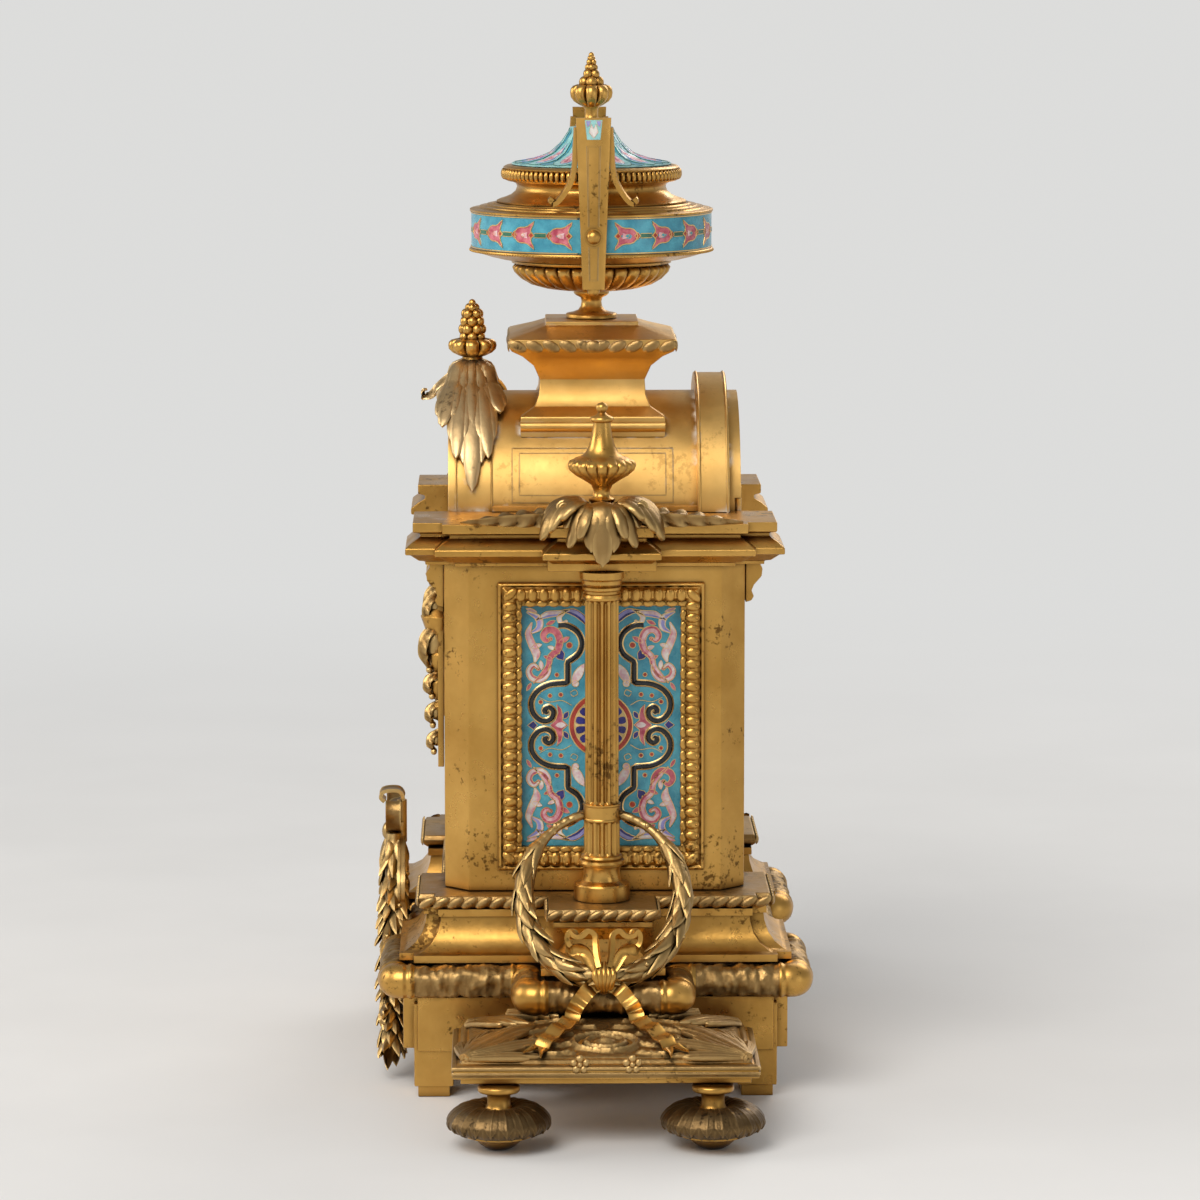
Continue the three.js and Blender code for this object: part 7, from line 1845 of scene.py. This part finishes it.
def dial_marks():
    """Hour numbers, a minute ring and a gilt centre on the dial."""
    face = -51.8
    marks = Shape()

    def on_dial(u, v, height):
        return Vector((u, face - height, DRUM_Z + v))

    for radius, width in ((37.4, 0.35), (34.6, 0.35), (21.6, 0.3)):
        wire(marks, flat_circle((0, 0), radius, 72), on_dial, width, 0.08, 0, closed=True)
    for minute in range(60):
        angle = FULL_TURN * minute / 60
        inner, width = (34.8, 0.8) if minute % 5 == 0 else (35.4, 0.35)
        way = Vector((math.sin(angle), math.cos(angle)))
        wire(marks, [tuple(way * inner), tuple(way * 37.2)], on_dial, width, 0.08, 0)
    numerals = ("XII", "I", "II", "III", "IIII", "V", "VI", "VII", "VIII", "IX", "X", "XI")
    half_high = 3.2
    strokes = {
        "I": (((0, -half_high), (0, half_high), 0.75),),
        "V": (((-1.1, half_high), (0, -half_high), 0.75), ((1.1, half_high), (0, -half_high), 0.4)),
        "X": (((-1.2, half_high), (1.2, -half_high), 0.75), ((1.2, half_high), (-1.2, -half_high), 0.4)),
    }
    widths = {"I": 1.6, "V": 3.0, "X": 3.2}
    number_radius = 28.2
    for (cosine, sine), numeral in zip(turns(12), numerals):
        cursor = -sum(widths[letter] for letter in numeral) / 2
        for letter in numeral:
            middle = cursor + widths[letter] / 2
            cursor += widths[letter]
            for start, end, width in strokes[letter]:
                spots = []
                for u, v in (start, end):
                    x, y = u + middle, v + number_radius
                    spots.append((x * cosine + y * sine, y * cosine - x * sine))
                wire(marks, spots, on_dial, width, 0.1, 0)
    make_piece("dial_numbers", marks, [BLACK], slot="white_enamel")
    centre = Shape()
    wire(centre, flat_circle((0, 0), 19.5, 60), on_dial, 1.4, 0.35, 0, closed=True)
    wire(centre, flat_circle((0, 0), 42.6, 72), on_dial, 1.6, 0.4, 0, closed=True)
    middle = Vector((0, face, DRUM_Z))
    for cosine, sine in turns(16):
        way = Vector((cosine, 0, sine))
        leaf(
            centre, [middle + way * 5.0, middle + way * 9.0, middle + way * 12.5], 1.5, FORWARD, 0.3, 1, 0,
            small=True
        )
    make_piece("dial_gilt_centre", centre, [BRIGHT], slot="bright_gilt")


# Floor, lights and camera

PALE = (0.72, 0.72, 0.71)


def stage():
    """A pale floor that turns into the pale background away from the object."""
    floor = bpy.data.meshes.new("floor")
    reach = 30.0
    floor.from_pydata(
        [(-reach, -reach, 0), (reach, -reach, 0), (reach, reach, 0), (-reach, reach, 0)], [], [(0, 1, 2, 3)]
    )
    material, tree, shader, coordinates = new_material("pale_table")
    tone = ramp(
        tree, noise(tree, coordinates, 6.0, 3.0), ((0.3, (0.7, 0.695, 0.685)), (0.7, (0.74, 0.735, 0.725)))
    )
    tree.links.new(tone, shader.inputs["Base Color"])
    shader.inputs["Roughness"].default_value = 0.6
    distance = tree.nodes.new("ShaderNodeVectorMath")
    distance.operation = "LENGTH"
    tree.links.new(coordinates, distance.inputs[0])
    far = node(tree, "ShaderNodeMapRange", Value=distance.outputs["Value"], From_Min=0.35, From_Max=1.5)
    far.interpolation_type = "SMOOTHSTEP"
    paths = tree.nodes.new("ShaderNodeLightPath").outputs
    seen = sums(
        tree, "ADD", sums(tree, "ADD", paths["Is Camera Ray"], paths["Is Glossy Ray"]),
        paths["Is Transmission Ray"]
    )
    share = sums(tree, "MULTIPLY", far.outputs["Result"], seen)
    backdrop = node(tree, "ShaderNodeEmission", Color=(*PALE, 1), Strength=1.0)
    blend = node(tree, "ShaderNodeMixShader", Fac=share)
    tree.links.new(shader.outputs["BSDF"], blend.inputs[1])
    tree.links.new(backdrop.outputs["Emission"], blend.inputs[2])
    tree.links.new(blend.outputs["Shader"], tree.nodes["Material Output"].inputs["Surface"])
    floor.materials.append(material)
    thing = bpy.data.objects.new("floor", floor)
    bpy.context.scene.collection.objects.link(thing)


def area_light(name, place, target, size, power, colour):
    light = bpy.data.lights.new(name, "AREA")
    light.shape = "RECTANGLE"
    light.size, light.size_y = size
    light.energy = power
    light.color = colour
    thing = bpy.data.objects.new(name, light)
    thing.location = Vector(place)
    thing.rotation_euler = (Vector(target) - Vector(place)).to_track_quat("-Z", "Y").to_euler()
    bpy.context.scene.collection.objects.link(thing)


def lights():
    target = (0, 0, 0.2)
    area_light("key", (1.3, -0.7, 1.5), target, (1.3, 1.1), 30, (1.0, 0.97, 0.93))
    area_light("fill", (1.4, 1.6, 0.6), target, (0.6, 0.9), 2, (0.95, 0.97, 1.0))
    area_light("front", (-0.2, -1.8, 0.9), target, (1.0, 0.9), 12, (1.0, 0.98, 0.95))
    area_light("behind", (-1.5, 0.9, 1.2), target, (1.2, 0.8), 12, (1.0, 0.98, 0.95))
    world = bpy.data.worlds.new("studio")
    world.use_nodes = True
    tree = world.node_tree
    coordinates = tree.nodes.new("ShaderNodeTexCoord").outputs["Generated"]
    height = node(tree, "ShaderNodeSeparateXYZ", Vector=coordinates).outputs["Z"]
    room = ramp(
        tree, height,
        ((0.0, PALE), (0.12, (0.5, 0.5, 0.5)), (0.5, (0.3, 0.3, 0.3)), (1.0, (0.42, 0.42, 0.42)))
    )
    tree.links.new(room, tree.nodes["Background"].inputs["Color"])
    tree.nodes["Background"].inputs["Strength"].default_value = 1.0
    bpy.context.scene.world = world
    bpy.context.scene.view_settings.view_transform = "Standard"


def camera():
    """The photograph's camera, in the clock's own frame."""
    right = Vector((0.01848, 0.99983, 0.0))
    forward = Vector((-0.99046, 0.01831, -0.13658)).normalized()
    up = right.cross(forward).normalized()
    lens = bpy.data.cameras.new("photo_camera")
    lens.sensor_width = 36.0
    lens.lens = 156.0
    lens.clip_end = 100.0
    thing = bpy.data.objects.new("photo_camera", lens)
    place = Vector((2179.07, -36.67 + SHIFT_Y, 491.79)) * MM
    rotation = Matrix((right, up, -forward)).transposed().to_4x4()
    thing.matrix_world = Matrix.Translation(place) @ rotation
    bpy.context.scene.collection.objects.link(thing)
    bpy.context.scene.camera = thing


camera()
stage()
lights()
finish_nodes()
urn_band()
urn_neck()
urn_lid()
urn_bowl()
urn_finial()
urn_handles()
socle_mouldings()
drum_lines()
front_acanthus()
side_columns()
side_finials()
side_acanthus()
wreaths()
enamel_panels()
side_frames()
pilaster_husks()
leaf_mouldings()
base_torus()
wing_crowns()
toupie_feet()
front_garland()
dial_marks()
